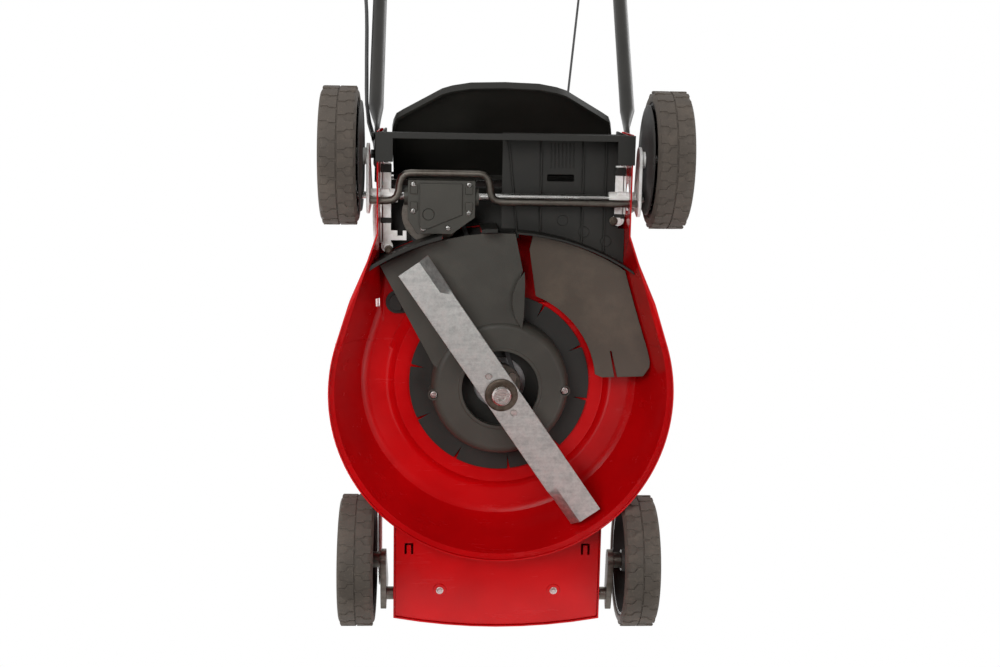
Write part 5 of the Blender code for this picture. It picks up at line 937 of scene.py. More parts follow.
def chute_roof():
    """The sheet under the deck's roof beside the tunnel, cut free of the lip's wall."""
    low = DECK_TOP_Z - SHEET - 4.5
    plan = lip_arc(-16, 156, -24, 9) + [(-24, DUCT_FRONT_Y + 1), (156, DUCT_FRONT_Y + 1)]
    upright = block((-4, 156), (DUCT_FRONT_Y, DUCT_FRONT_Y + CHEEK_THICKNESS), (low, DECK_TOP_Z + 4), 0.3)
    roof = joined(prism(plan, low, low + 1.5), upright)
    lip_room = lip_arc(2.9, 170, 7.6, 10) + lip_arc(0.2, 7.6, 170, 10)
    return cut(roof, prism(lip_room, low - 3.5, DECK_TOP_Z - 2))


def make_rear_chute():
    """The black moulding behind the blade, built up from its lower bar."""
    x = CHEEK_X
    bar = joined(block((-x - CHEEK_THICKNESS, x + CHEEK_THICKNESS), CHUTE_BAR_Y, CHUTE_BAR_Z, 1),
                 block((-CHUTE_BAR_REACH, CHUTE_BAR_REACH), CHUTE_BAR_Y, (CHUTE_BAR_Z[0], REAR_WALL_Z - GAP)))
    chute = joined(add_floor(add_cheeks(bar)), chute_strip(), chute_roof())
    hinge = cylinder(HINGE_ROD_RADIUS + 0.3, -x - 10, x + 10, "X", FLAP_HINGE)
    return piece("rear_chute", cut(chute, hinge), "black_plastic")


def flap_frame():
    """Turns flap drawing space (x, out from the hinge, up from the flap) into the mower's space."""
    return Matrix.Translation((0, *FLAP_HINGE)) @ Matrix.Rotation(-FLAP_SLOPE, 4, "X")


def flap_outline(inset):
    half = FLAP_HALF_WIDTH - inset
    reach = FLAP_LENGTH - inset
    near = 8 + inset
    side = [(half, near), (half, reach - 88), (half - 2, reach - 76), (half - 6, reach - 64)]
    edge = [(half * 0.9, reach - 56), (half * 0.55, reach - 14), (half * 0.46, reach - 8),
            (half * 0.3, reach - 2)]
    right = side + edge
    return right + [(0, reach)] + [(-x, y) for x, y in reversed(right)]


def make_flap():
    low = -11
    flap = prism(flap_outline(0), low, 0)
    flap = cut(flap, prism(flap_outline(FLAP_THICKNESS), low - 1, -FLAP_THICKNESS))
    for x in (-124, 84):
        knuckle = cylinder(7.5, x, x + 40, "X", (0, 0), sides=40)
        web = block((x, x + 40), (0, 12), (-5, 0))
        flap = joined(flap, knuckle, web)
    flap = cut(flap, cylinder(HINGE_ROD_RADIUS + RUN, -200, 200, "X", (0, 0)))
    piece("discharge_flap", moved(flap, flap_frame()), "black_plastic")
    reach = CHEEK_X + CHEEK_THICKNESS + 3
    rod = cylinder(HINGE_ROD_RADIUS, -reach, reach, "X", FLAP_HINGE)
    piece("flap_hinge_rod", rod, "bright_steel")


def make_flap_spring():
    """A torsion spring round the hinge rod, one leg lying on the flap."""
    turns = 3
    wire = 0.9
    coil = 6.2
    pitch = 2.5
    steps = turns * 9
    start_x = 40
    frame = flap_frame()
    points = []
    for k in range(steps + 1):
        a = math.pi / 2 - 2 * math.pi * k / 9
        points.append(frame @ Vector((start_x + pitch * k / 9, coil * math.cos(a), coil * math.sin(a))))
    leg = [Vector((start_x + pitch * turns + 1, 6, coil + 0.2)),
           Vector((start_x + pitch * turns + 1, 20, 3.2)),
           Vector((start_x + pitch * turns + 1, 46, 1.4))]
    points += [frame @ p for p in leg]
    return wire_piece("flap_spring", points, wire, "bright_steel")


def make_deflector():
    """The brown sheet that leads the cut grass round to the tunnel, between the belt cover and the skirt."""
    inner_radius = COVER_RING_RADIUS + 8
    steps = 14
    rings = []
    for k in range(steps + 1):
        share = k / steps
        angle = math.radians(175 - 74 * share)
        way = Vector((math.cos(angle), math.sin(angle)))
        centre = LIP_RADIUS - LIP_BOW
        bow = LIP_BOW - 6
        lip = centre * way.y + math.sqrt(bow ** 2 - (centre * way.x) ** 2)
        outer_radius = min(lip, 204 + 60 * share)
        low = 101 + 5 * share
        ring = []
        for radius, z in ((inner_radius, low + 13), (outer_radius, low - 4), (outer_radius, low - 1),
                          (inner_radius, low + 16)):
            ring.append((radius * way.x, radius * way.y, z))
        rings.append(ring)
    room = joined(turned(skirt_profile(SHEET + 1.5), DECK_SIDES), bay(-1, SHEET + 1.5))
    sheet = combine(rings_solid(rings), [room], "INTERSECT")
    wall = -REAR_HALF_WIDTH
    slit = prism([(wall + 16.2, 50), (wall + 14, 50), (wall + 3.5, 6), (wall + 7.5, 6)], 80, 140)
    end = [(-110, 24), (-127, 24), (-131, 16), (-141, 12), (-141, 0), (-110, 0)]
    corner = [(-184, 12), (-196, 18), (-203, 30), (-204, 44), (-225, 44), (-225, 0), (-184, 0)]
    tip = [(-31, 224), (-49, 112), (0, 112), (0, 224)]
    sheet = cut(sheet, slit, *(prism(plan, 80, 140) for plan in (end, corner, tip)))
    return piece("chute_deflector", sheet, "brown_plastic")


def make_side_clip():
    """The D-shaped plug in the deck's roof at the left rear."""
    outline = [(131, 94), (131, 124)] + arc((141, 109), 16, 80, -80, 40)
    top = DECK_TOP_Z - SHEET - GAP
    clip = prism(outline, top - 4, top)
    clip = joined(clip, prism([(135, 98), (135, 120)] + arc((140, 109), 12, 70, -70, 32), top - 9, top - 3))
    return piece("side_clip", clip, "black_plastic")


def make_blade():
    """The blade: flat in the middle, a sharpened leading edge and a raised wing at each end."""
    half_long = BLADE_LENGTH / 2
    half = BLADE_WIDTH / 2
    along = Vector((math.cos(BLADE_ANGLE), math.sin(BLADE_ANGLE), 0))
    across = Vector((-math.sin(BLADE_ANGLE), math.cos(BLADE_ANGLE), 0))
    bend = half_long - BLADE_WING_LENGTH
    bevel = half_long - 90
    stations = [(half_long, 1.0, True), (bend + 14, 0.75, True), (bend, 0.0, True), (bevel, 0.0, True),
                (bevel - 6, 0.0, False)]
    rings = []
    for sign in (-1, 1):
        for reach, lift, sharp in stations if sign < 0 else reversed(stations):
            edges = {}
            for edge in (-1, 1):
                raised = BLADE_WING_LIFT * lift if edge == sign else 0
                thick = 1.0 if sharp and edge == -sign else BLADE_THICKNESS
                edges[edge] = (raised, thick)
            inner = half - 13
            low_left, thick_left = edges[-1]
            low_right, thick_right = edges[1]
            ring = [(-half, low_left), (-inner, 0), (inner, 0), (half, low_right),
                    (half, low_right + thick_right), (inner, BLADE_THICKNESS), (-inner, BLADE_THICKNESS),
                    (-half, low_left + thick_left)]
            middle = along * (sign * reach)
            rings.append([middle + across * v + Vector((0, 0, BLADE_Z + z)) for v, z in ring])
    blade = rings_solid(rings)
    holes = [(0, 0, BLADE_BOLT_RADIUS + GAP)]
    for sign in (-1, 1):
        spot = along * (sign * BLADE_PIN_SPACING / 2)
        holes.append((spot.x, spot.y, BLADE_PIN_RADIUS + GAP))
    for x, y, radius in holes:
        blade = cut(blade, cylinder(radius, BLADE_Z - 5, BLADE_Z + BLADE_THICKNESS + 5, "Z", (x, y)))
    return piece("blade", blade, "blade_steel")


def groove(radius, low):
    """A belt pulley's rim profile from its lower flange to its upper one."""
    bottom = radius - BELT_DEPTH - GAP
    top = low + PULLEY_WIDTH
    rim = radius + 2
    return [(rim, low), (rim, low + 2), (bottom, low + 2), (bottom, top - 2), (rim, top - 2), (rim, top)]


def make_drive_pulley():
    """The hub that clamps the blade, with its eared plate and the belt's groove."""
    low = HUB_LOW_Z
    pulley_low = BELT_Z - PULLEY_WIDTH / 2
    profile = [(BOLT_HOLE, low), (HUB_FLANGE_RADIUS, low), (HUB_FLANGE_RADIUS, SEAT_Z - 1), (18, SEAT_Z + 1),
               (18, pulley_low)] + groove(PULLEY_RADIUS, pulley_low)
    bore = CRANK_RADIUS + GAP
    profile += [(bore, pulley_low + PULLEY_WIDTH), (bore, SEAT_Z), (BOLT_HOLE, SEAT_Z)]
    along = Vector((math.cos(BLADE_ANGLE), math.sin(BLADE_ANGLE), 0))
    spots = [along * (sign * BLADE_PIN_SPACING / 2) for sign in (-1, 1)]
    ears = prism(round_hull([(spot.x, spot.y, BLADE_PIN_RADIUS + 4) for spot in spots], 64), low, SEAT_Z - 2)
    lobe = prism(round_hull([(0, 0, 14), (-14.5, 23.5, 6)], 48), low, SEAT_Z - 2)
    ears = cut(joined(ears, lobe), cylinder(BOLT_HOLE + 3, low - 1, SEAT_Z + 1))
    for spot in spots:
        ears = joined(ears, cylinder(BLADE_PIN_RADIUS, BLADE_Z + 1, low + 1, "Z", (spot.x, spot.y), sides=40))
    piece("drive_pulley", joined(turned(profile, 56), ears), "dark_steel")


def make_blade_fixing():
    """The dished washer and the socket-headed bolt that hold the blade."""
    top = BLADE_Z - GAP
    low = top - 3.5
    washer = turned([(BOLT_HOLE, low + 1), (14, low + 1), (14.4, low + 0.4), (16.6, low + 0.4), (17, low),
                     (19.4, low), (19.8, low + 0.5), (21.2, low + 0.6), (22, low + 1.5), (22, top),
                     (BOLT_HOLE, top)], 56)
    piece("blade_washer", washer, "brown_steel")

    head_top = low - GAP + 0.9
    r = BLADE_BOLT_RADIUS
    bolt = turned([(0, head_top - 8), (10.5, head_top - 8), (13, head_top - 5.5), (13, head_top - 0.9),
                   (r, head_top - 0.9), (r, SEAT_Z + 14), (0, SEAT_Z + 14)], 48)
    socket = cylinder(6.4, head_top - 9, head_top - 3, sides=6)
    piece("blade_bolt", cut(bolt, socket), "bright_steel")


def make_crankshaft():
    """The crankshaft and the flywheel with its fan on top of it."""
    shaft = turned([(BOLT_HOLE, SEAT_Z + GAP), (CRANK_RADIUS, SEAT_Z + GAP), (CRANK_RADIUS, SHROUD_LOW_Z + 8),
                    (8, SHROUD_LOW_Z + 9), (8, SHROUD_TOP_Z - 20), (3, SHROUD_TOP_Z - 20), (3, SEAT_Z + 16),
                    (BOLT_HOLE, SEAT_Z + 16)], 56)
    piece("crankshaft", shaft, "bright_steel")

    low = SHROUD_LOW_Z + 9 + GAP
    r = FLYWHEEL_RADIUS
    flywheel = turned([(8 + GAP, low), (r - 15, low), (r, low + 3), (r, low + 20), (r - 8, low + 20),
                       (r - 12, low + 10), (8 + GAP, low + 10)], 64)
    for k in range(FAN_VANES):
        vane = block((34, r - 4), (-1.5, 1.5), (low + 8, low + 32))
        flywheel = joined(flywheel, spun(vane, 2 * math.pi * k / FAN_VANES))
    piece("flywheel", flywheel, "cast_aluminium")


def belt_outline(inset):
    return round_hull([(0, 0, PULLEY_RADIUS - inset), (INPUT_X, INPUT_Y, GEARBOX_PULLEY_RADIUS - inset)], 96)


def make_blade_drive():
    make_drive_pulley()
    make_blade_fixing()
    make_crankshaft()
    belt = prism(belt_outline(0), BELT_Z - BELT_HEIGHT / 2, BELT_Z + BELT_HEIGHT / 2)
    hollow = prism(belt_outline(BELT_DEPTH), BELT_Z - 9, BELT_Z + 9)
    piece("drive_belt", cut(belt, hollow), "belt_rubber")


def arm_outline(inset):
    """The plan of the belt cover's arm, from the dish to the gearbox."""
    end = lip_arc(-COVER_ARM_CLEAR - 3 - inset, 163 - 1.3 * inset, -17 + inset, 8)
    near = [(78 - inset, 20 + inset), (91 - 1.1 * inset, 31)]
    far = [(-28 + inset, 160), (-16 + inset, 130), (-29 + inset, 78), (-24 + inset, 60)]
    return near + end + far


def make_belt_cover():
    low = COVER_LOW_Z
    wall = COVER_WALL
    r = COVER_RADIUS
    hole = COVER_HOLE_RADIUS
    top = COVER_TOP_Z
    seat = PLATEAU_Z - SHEET - GAP
    cover = turned([(0, low - 1), (hole + 4, low - 1), (hole + 5, low), (r - 9, low), (r - 3, low + 2.5),
                    (r + 1, low + 8), (r + 3, low + 16), (r + 3, top), (0, top)], 80)
    cover = joined(cover, prism(arm_outline(0), COVER_ARM_Z, top))
    bulge = [(-30, 160), (-20, 146), (-14, 128), (-14, 114), (-18, 98), (-28, 82), (-30, 98), (-31, 140)]
    cover = joined(cover, prism(bulge, COVER_ARM_Z - 5, COVER_ARM_Z + 2))
    for spot in COVER_BOLTS:
        cover = joined(cover, cylinder(7.5, low + 1.5, top, "Z", spot, sides=40))
        cover = cut(cover, cylinder(5.8, low - 3, low + 5, "Z", spot, sides=40))
    inside = [(x, y) if math.hypot(x, y) < LIP_RADIUS - 12 else (1.04 * x, 1.04 * y)
              for x, y in arm_outline(wall)]
    hollow = turned([(0, low + 10), (hole + wall, low + 10), (hole + wall, low + wall), (r - 8.5, low + wall),
                     (r - 4.5, low + 4.5), (r - wall, low + 9), (r - wall, seat + 5), (0, seat + 5)], 80)
    hollow = joined(hollow, prism(inside, COVER_ARM_Z + wall, seat + 5))
    cover = cut(cover, hollow, cylinder(hole, low - 5, low + 20, sides=80))
    piece("belt_cover", cover, "grey_plastic")

    ring_low = top + GAP
    ring = tube(COVER_RING_RADIUS, CRANK_HOLE_RADIUS - 6, ring_low, ring_low + 1.5, sides=80)
    for k in range(10):
        wedge = [(COVER_RADIUS + 14, 0), (COVER_RING_RADIUS + 3, -2.2), (COVER_RING_RADIUS + 3, 2.2)]
        slit = prism(wedge, ring_low - 2, ring_low + 4)
        ring = cut(ring, spun(slit, 2 * math.pi * (k + 0.3) / 10))
    piece("cover_ring", ring, "black_plastic")


def make_gearbox():
    x = (GEARBOX_X - GEARBOX_WIDTH / 2, GEARBOX_X + GEARBOX_WIDTH / 2)
    low = GEARBOX_LOW_Z
    body = [(x[0], GEARBOX_BACK_Y), (x[0], GEARBOX_FRONT_Y + 22), (x[0] + 30, GEARBOX_FRONT_Y),
            (x[1] - 12, GEARBOX_FRONT_Y), (x[1], GEARBOX_FRONT_Y + 18), (x[1], GEARBOX_BACK_Y)]
    housing = prism(body, low, GEARBOX_TOP_Z)
    for clamp in (x[0] + 8, x[1] - 8):
        for y in (GEARBOX_FRONT_Y + 30, GEARBOX_FRONT_Y + 52):
            band = block((clamp - 5, clamp + 5), (y, y + 12), (low - 1.6, low + 3), 1.2)
            housing = joined(housing, band)
    front = GEARBOX_FRONT_Y + 6
    back = GEARBOX_BACK_Y - 4
    plan = [(x[0] + 17, front + 20), (x[0] + 62, front + 1), (x[1] - 19, front), (x[1] - 16, front + 4),
            (x[1] - 16, back), (x[0] + 17, back)]
    plug = tube(8, 7, low - 4, low, "Z", (INPUT_X + 4, INPUT_Y + 4), sides=40)
    housing = joined(housing, prism(plan, low - 3.5, low + 4), plug)
    for spot in GEARBOX_SCREWS:
        housing = joined(housing, cylinder(3.6, low - 2.5, low + 1, "Z", spot, sides=6))
    for sign, face in ((1, x[1]), (-1, x[0])):
        housing = joined(housing, cylinder(12, face - sign, face + sign * 5, "X", REAR_PIVOT, sides=40))
    socket = cylinder(INPUT_RADIUS + RUN, GEARBOX_TOP_Z - 8, GEARBOX_TOP_Z + 5, "Z", (INPUT_X, INPUT_Y))
    housing = cut(housing, shaft_bore(x[0] - 10, x[1] + 10), socket)
    piece("gearbox_housing", housing, "grey_plastic")

    pulley_low = BELT_Z - PULLEY_WIDTH / 2
    profile = [(0, GEARBOX_TOP_Z - 7), (INPUT_RADIUS, GEARBOX_TOP_Z - 7), (INPUT_RADIUS, pulley_low)]
    profile += groove(GEARBOX_PULLEY_RADIUS, pulley_low) + [(0, pulley_low + PULLEY_WIDTH)]
    pulley = turned(profile, 56, "Z", (INPUT_X, INPUT_Y, 0))
    piece("gearbox_pulley", pulley, "dark_steel")


def bracket(sign):
    """The plated bracket that carries the drive shaft's bush against the deck's side wall."""
    outer = REAR_HALF_WIDTH - SHEET - GAP
    front_y = 183 if sign > 0 else 222
    strip_low, strip_top = STRIP_Z
    plate = block((sign * outer, sign * (outer - 3)), (front_y + 12, 302), (105, 124))
    flange = block((sign * (outer - 4.5), sign * (outer - 15)), (front_y + 8, 302), STRIP_Z)
    made = joined(plate, flange)
    tip_x = sign * (outer - 9.7)
    tip_y = front_y + 8
    made = joined(made, cylinder(8, strip_low, strip_top, "Z", (tip_x, tip_y), sides=40))
    made = joined(made, cylinder(5, strip_low - 2.5, strip_low + 1, "Z", (tip_x, tip_y - 1), sides=6))
    if sign > 0:
        tab = block((128, outer - 10), (199, 212), STRIP_Z)
        made = joined(made, cut(tab, block((133, 140), (205, 215), (100, 110))))
    bush_inner = GEARBOX_X + GEARBOX_WIDTH / 2 + 13.7
    made = joined(made, cylinder(9, sign * bush_inner, sign * (PLATE_X - GAP), "X", REAR_PIVOT, sides=40))
    made = joined(made, block((sign * (outer - 14), sign * (outer - 1)), (REAR_PIVOT_Y - 9, REAR_PIVOT_Y + 9),
                              (PIVOT_Z - 8, PIVOT_Z + 8), 1.5))
    start = math.degrees(math.atan2(-CRANK_ROD_DROP, -CRANK_ROD_BACK))
    sector = arc(REAR_PIVOT, crank_swing(), start - 50, start + 50, 32)
    sector += arc(REAR_PIVOT, 9.2, start + 50, start - 50, 24)
    made = cut(made, prism(sector, sign * (outer - 30), sign * (PLATE_X + 2), "X"))
    return cut(made, shaft_bore(sign * 100, sign * (PLATE_X + 4)))


def make_brackets():
    piece("left_bracket", bracket(1), "zinc")
    piece("right_bracket", bracket(-1), "zinc")


def make_engine_block():
    """The crankcase, the finned cylinder in front of it and the oil filler's neck."""
    base = PLATEAU_Z + GAP
    bore = CRANK_RADIUS + RUN
    case = turned([(bore, base), (ENGINE_BASE_RADIUS, base), (ENGINE_BASE_RADIUS, base + 8),
                   (CRANKCASE_RADIUS, base + 12), (CRANKCASE_RADIUS, CRANKCASE_TOP_Z),
                   (bore, CRANKCASE_TOP_Z)], 64)
    case = joined(case, block((-CYLINDER_HALF, CYLINDER_HALF), (CYLINDER_FRONT_Y, -60), (158, 222), 4))
    for k in range(FIN_COUNT):
        y = CYLINDER_FRONT_Y + 1 + k * 7
        case = joined(case, block((-52, 52), (y, y + 2.5), (152, 224)))
    neck = prism(round_hull([(-60, 57, 14), (*OIL_FILLER, 13)], 64), base + 14, base + 30)
    case = joined(case, neck, cylinder(11, base + 14, OIL_CAP_Z - GAP, "Z", OIL_FILLER, sides=40))
    case = cut(case, cylinder(bore, base - 5, CRANKCASE_TOP_Z + 5, sides=64))
    case = cut(case, cylinder(7 + RUN, OIL_CAP_Z - 14, OIL_CAP_Z + 4, "Z", OIL_FILLER))
    piece("engine_block", case, "cast_aluminium")


def make_shroud():
    """The shroud over the flywheel and the starter's slotted cover on top of it."""
    low = CRANKCASE_TOP_Z + GAP
    r = SHROUD_RADIUS
    top = SHROUD_TOP_Z
    shroud = turned([(70, low), (r, low), (r, top - 6), (r - 6, top), (62, top), (62, top - 2.5),
                     (r - 7, top - 2.5), (r - 2.5, top - 7), (r - 2.5, low + 2.7), (70, low + 2.7)], 64)
    piece("engine_shroud", shroud, "engine_plastic")

    peak = STARTER_TOP_Z
    cap = turned([(0, peak), (46, peak), (60, peak - 7), (66, peak - 20), (67, top + 6), (76, top + GAP),
                  (64, top + GAP), (63.5, peak - 20), (58, peak - 9.5), (45, peak - 2.5),
                  (0, peak - 2.5)], 64)
    for k in range(4):
        slot = block((22, 52), (-2, 2), (peak - 12, peak + 3))
        cap = cut(cap, spun(slot, 2 * math.pi * (k + 0.4) / 4))
    mouth = placed(spun(cylinder(ROPE_RADIUS + RUN, 0, 90, "Y"), ROPE_EXIT_TURN), (0, 0, ROPE_EXIT_Z))
    piece("starter_cover", cut(cap, mouth), "engine_plastic")


def make_tank():
    """The fuel tank beside the shroud, with its filler cap, and the oil filler's cap."""
    neck_radius = 17
    tank = block((20, TANK_OUTER_X), (-60, 125), (226, TANK_TOP_Z), 12)
    tank = cut(tank, cylinder(SHROUD_RADIUS + GAP + 1.0, 200, 340, sides=96))
    tank = joined(tank, tube(neck_radius, 14, TANK_TOP_Z - 6, TANK_TOP_Z + 12, "Z", FUEL_CAP))
    tank = cut(tank, cylinder(13.9, TANK_TOP_Z - 10, TANK_TOP_Z + 22, "Z", FUEL_CAP))
    piece("fuel_tank", tank, "engine_plastic")

    bore = neck_radius / math.cos(math.pi / 12) + RUN
    low = TANK_TOP_Z + GAP
    cap = turned([(bore, low), (22, low), (22, 334), (19, 337), (0.1, 337), (0.1, 332), (bore, 332)],
                 48, "Z", (*FUEL_CAP, 0))
    ridges = placed(block((-17, 17), (-2.5, 2.5), (335, 342), 1), (*FUEL_CAP, 0))
    piece("fuel_cap", joined(cap, cylinder(6, 331, 336, "Z", FUEL_CAP), ridges), "engine_plastic")

    z = OIL_CAP_Z
    cap = turned([(0, z - 12), (7, z - 12), (7, z), (14, z), (15, z + 3), (13, z + 7), (0, z + 7)],
                 40, "Z", (*OIL_FILLER, 0))
    wing = placed(block((-11, 11), (-2, 2), (z + 5, z + 16), 1), (*OIL_FILLER, 0))
    piece("oil_cap", joined(cap, wing), "engine_plastic")


def make_muffler():
    side = -CYLINDER_HALF - GAP
    muffler = block((-140, -70), (-155, -75), (168, 226), 8)
    pipe = cylinder(10, -74, side, "X", (-102, 192), sides=40)
    muffler = joined(muffler, pipe, block((side - 4, side), (-120, -84), (176, 208)))
    for k in range(3):
        muffler = cut(muffler, block((-142, -137), (-136 + 18 * k, -126 + 18 * k), (182, 212)))
    piece("muffler", muffler, "dark_steel")


def make_intake():
    """The carburettor, the air filter's cover outside it and the primer bulb in the cover."""
    side = CYLINDER_HALF + GAP
    filter_x = side + 42
    face = filter_x + 54
    carburettor = block((side, side + 4), (-122, -82), (172, 212))
    carburettor = joined(carburettor, block((side + 3, filter_x - GAP), (-116, -88), (178, 206), 3),
                         cylinder(11, 160, 180, "Z", (side + 22, -102), sides=40))
    piece("carburettor", carburettor, "cast_aluminium")
    cover = block((filter_x, face), (-160, -70), (165, 230), 9)
    recess = cylinder(PRIMER_RADIUS + RUN, face - 14, face + 6, "X", PRIMER, sides=64)
    piece("air_filter_cover", cut(cover, recess), "engine_plastic")
    r = PRIMER_RADIUS
    bulb = turned([(0, face - 5), (r, face - 5), (r, face + 3), (r - 3, face + 8), (r - 7, face + 10),
                   (0, face + 11)], 48, "X", (0, *PRIMER))
    piece("primer_bulb", bulb, "belt_rubber")


def make_spark_plug_cap():
    front = CYLINDER_FRONT_Y - GAP
    boot = cylinder(9, front - 34, front, "Y", (0, 192), sides=40)
    boot = joined(boot, cylinder(7, 168, 193, "Z", (0, front - 26), sides=40))
    piece("spark_plug_cap", boot, "belt_rubber")


def make_engine():
    make_engine_block()
    make_shroud()
    make_tank()
    make_muffler()
    make_intake()
    make_spark_plug_cap()


def handle_direction(slope):
    return Vector((0, math.cos(slope), math.sin(slope)))


def handle_points():
    """The handle's foot, its bend and the joint between its lower and upper tubes."""
    foot = Vector((0, HANDLE_FOOT_Y, HANDLE_FOOT_Z))
    bend = foot + handle_direction(LOWER_SLOPE) * LOWER_RUN
    joint = bend + handle_direction(UPPER_SLOPE) * LOWER_TOP_RUN
    return foot, bend, joint


def lower_tube(sign):
    """A lower handle tube, flattened at both ends, with the heads of its two fixing bolts."""
    foot, bend, joint = handle_points()
    low = handle_direction(LOWER_SLOPE)
    high = handle_direction(UPPER_SLOPE)
    flat_x = REAR_HALF_WIDTH + GAP + FLAT_THICKNESS / 2
    top_x = TUBE_X + FLAT_THICKNESS / 2 + GAP / 2
    flat = (FLAT_THICKNESS / 2, 13)
    tip = (FLAT_THICKNESS / 2, 9)
    full = (TUBE_RADIUS, TUBE_RADIUS)
    stations = [(foot - low * 20, flat_x, tip), (foot - low * 14, flat_x, flat),
                (foot + low * 42, flat_x, flat), (foot + low * 72, TUBE_X, full),
                (bend - low * 24, TUBE_X, full),
                (bend - low * 7 + high * 1.5, TUBE_X, full), (bend - low * 1.5 + high * 7, TUBE_X, full),
                (bend + high * 24, TUBE_X, full), (joint - high * 48, TUBE_X, full),
                (joint - high * 22, top_x, flat), (joint + high * 13, top_x, flat),
                (joint + high * 19, top_x, tip)]
    points = [p + Vector((sign * x, 0, 0)) for p, x, size in stations]
    made = swept(points, (1, 0, 0), [size for p, x, size in stations])
    face = sign * (REAR_HALF_WIDTH + GAP + FLAT_THICKNESS)
    for at in (foot - low * 4, foot + low * 24):
        made = joined(made, cylinder(6.5, face - sign * 1.5, face + sign * 3.5, "X", (at.y, at.z), sides=6))
    return cut(made, cylinder(KNOB_BOLT_RADIUS + GAP, sign * 150, sign * 200, "X", (joint.y, joint.z)))


def upper_frame():
    """Turns handle drawing space (x, up the handle, out of its plane) into the mower's space."""
    joint = handle_points()[2]
    return Matrix.Translation(joint) @ Matrix.Rotation(UPPER_SLOPE, 4, "X")


def u_points(half, low, high, radius):
    """A U in drawing space: up the left leg, round the top and down the right leg."""
    steps = 12
    centre = half - radius
    right = [(centre + radius * math.cos(a), high - radius + radius * math.sin(a))
             for a in (math.pi / 2 * k / steps for k in range(steps + 1))]
    outline = [(half, low)] + right
    return outline + [(-x, y) for x, y in reversed(outline)]


def upper_handle():
    flat = (13, FLAT_THICKNESS / 2)
    inner = TUBE_X - FLAT_THICKNESS / 2 - GAP / 2
    outline = u_points(TUBE_X, 48, UPPER_RUN, HANDLE_CORNER_RADIUS)
    start = [(inner, -19, (9, flat[1])), (inner, -13, flat), (inner, 22, flat)]
    rows = start + [(x, y, (TUBE_RADIUS, TUBE_RADIUS)) for x, y in outline]
    rows += [(-x, y, size) for x, y, size in reversed(start)]
    made = swept([(x, y, 0) for x, y, size in rows], (0, 0, 1), [size for x, y, size in rows])
    for sign in (-1, 1):
        made = cut(made, cylinder(KNOB_BOLT_RADIUS + GAP, sign * 150, sign * 200, "X"))
        for reach in (BRAKE_BAIL_REACH, DRIVE_BAIL_REACH):
            seat = cylinder(BAIL_RADIUS + RUN, sign * 150, sign * (TUBE_X - 4), "X", (UPPER_RUN - reach, 0),
                            sides=40)
            made = cut(made, seat)
    guide = tube(ROPE_RADIUS + 4, ROPE_RADIUS + 0.9, GUIDE_RUN - 4, GUIDE_RUN + 4, "Y", (-GUIDE_X, 0),
                 sides=40)
    stem = block((-TUBE_X, -GUIDE_X - ROPE_RADIUS - 1), (GUIDE_RUN - 3, GUIDE_RUN + 3), (-3, 3))
    return moved(joined(made, guide, stem), upper_frame())


def bail(half, reach, swing):
    """A squeeze bar hinged inside the handle's legs, drawn released, a swing out of the handle's plane."""
    radius = BAIL_RADIUS - 0.2
    outline = u_points(half, 0, reach, half - (TUBE_X - HANDLE_CORNER_RADIUS))
    start = [(TUBE_X - 6, 0), (half + 2.5, 0), (half, 2.5)]
    rows = start + outline[1:-1] + [(-x, y) for x, y in reversed(start)]
    points = [(x, y, 0) for x, y in rows]
    made = swept(points, (0, 0, 1), [(radius, radius)] * len(points))
    frame = upper_frame() @ Matrix.Translation((0, UPPER_RUN - reach, 0))
    return moved(made, frame @ Matrix.Rotation(swing, 4, "X"))


def fold_knob(sign):
    joint = handle_points()[2]
    inner = TUBE_X - FLAT_THICKNESS - GAP / 2 - GAP
    outer = TUBE_X + FLAT_THICKNESS + GAP / 2 + GAP
    r = KNOB_BOLT_RADIUS
    profile = [(0, inner - 4), (7, inner - 3), (8, inner), (r, inner), (r, outer), (11, outer),
               (11, outer + 4), (15, outer + 5), (15, outer + 14), (12, outer + 17), (0, outer + 17)]
    made = turned([(radius, sign * x) for radius, x in profile], 40, "X", (0, joint.y, joint.z))
    for k in range(3):
        a = 2 * math.pi * k / 3
        spot = (joint.y + 14 * math.cos(a), joint.z + 14 * math.sin(a))
        made = joined(made, cylinder(6, sign * (outer + 5), sign * (outer + 14), "X", spot, sides=6))
    return made


def smooth_path(knots, count):
    """Points evenly spread along a smooth curve through the knots."""
    knots = [Vector(k) for k in knots]
    fine = []
    for i in range(len(knots) - 1):
        before = knots[max(i - 1, 0)]
        after = knots[min(i + 2, len(knots) - 1)]
        start, end = knots[i], knots[i + 1]
        span = (end - start).length
        out = (end - before).normalized() * span
        into = (after - start).normalized() * span
        for k in range(40):
            t = k / 40
            fine.append(start * (2 * t ** 3 - 3 * t ** 2 + 1) + out * (t ** 3 - 2 * t ** 2 + t)
                        + end * (3 * t ** 2 - 2 * t ** 3) + into * (t ** 3 - t ** 2))
    fine.append(knots[-1])
    total = sum((b - a).length for a, b in zip(fine, fine[1:]))
    step = total / (count - 1)
    spots = [fine[0]]
    travelled = 0
    for a, b in zip(fine, fine[1:]):
        travelled += (b - a).length
        if travelled >= step * len(spots) and len(spots) < count - 1:
            spots.append(b)
    spots.append(fine[-1])
    return spots


def handle_spot(x, run, out):
    """A point on the upper handle: sideways, up the handle and out of its plane."""
    return upper_frame() @ Vector((x, run, out))


def lower_spot(x, run, out):
    """A point beside the lower tubes: sideways, up the tube from its foot and out of it."""
    foot = handle_points()[0]
    return Matrix.Translation(foot) @ Matrix.Rotation(LOWER_SLOPE, 4, "X") @ Vector((x, run, out))


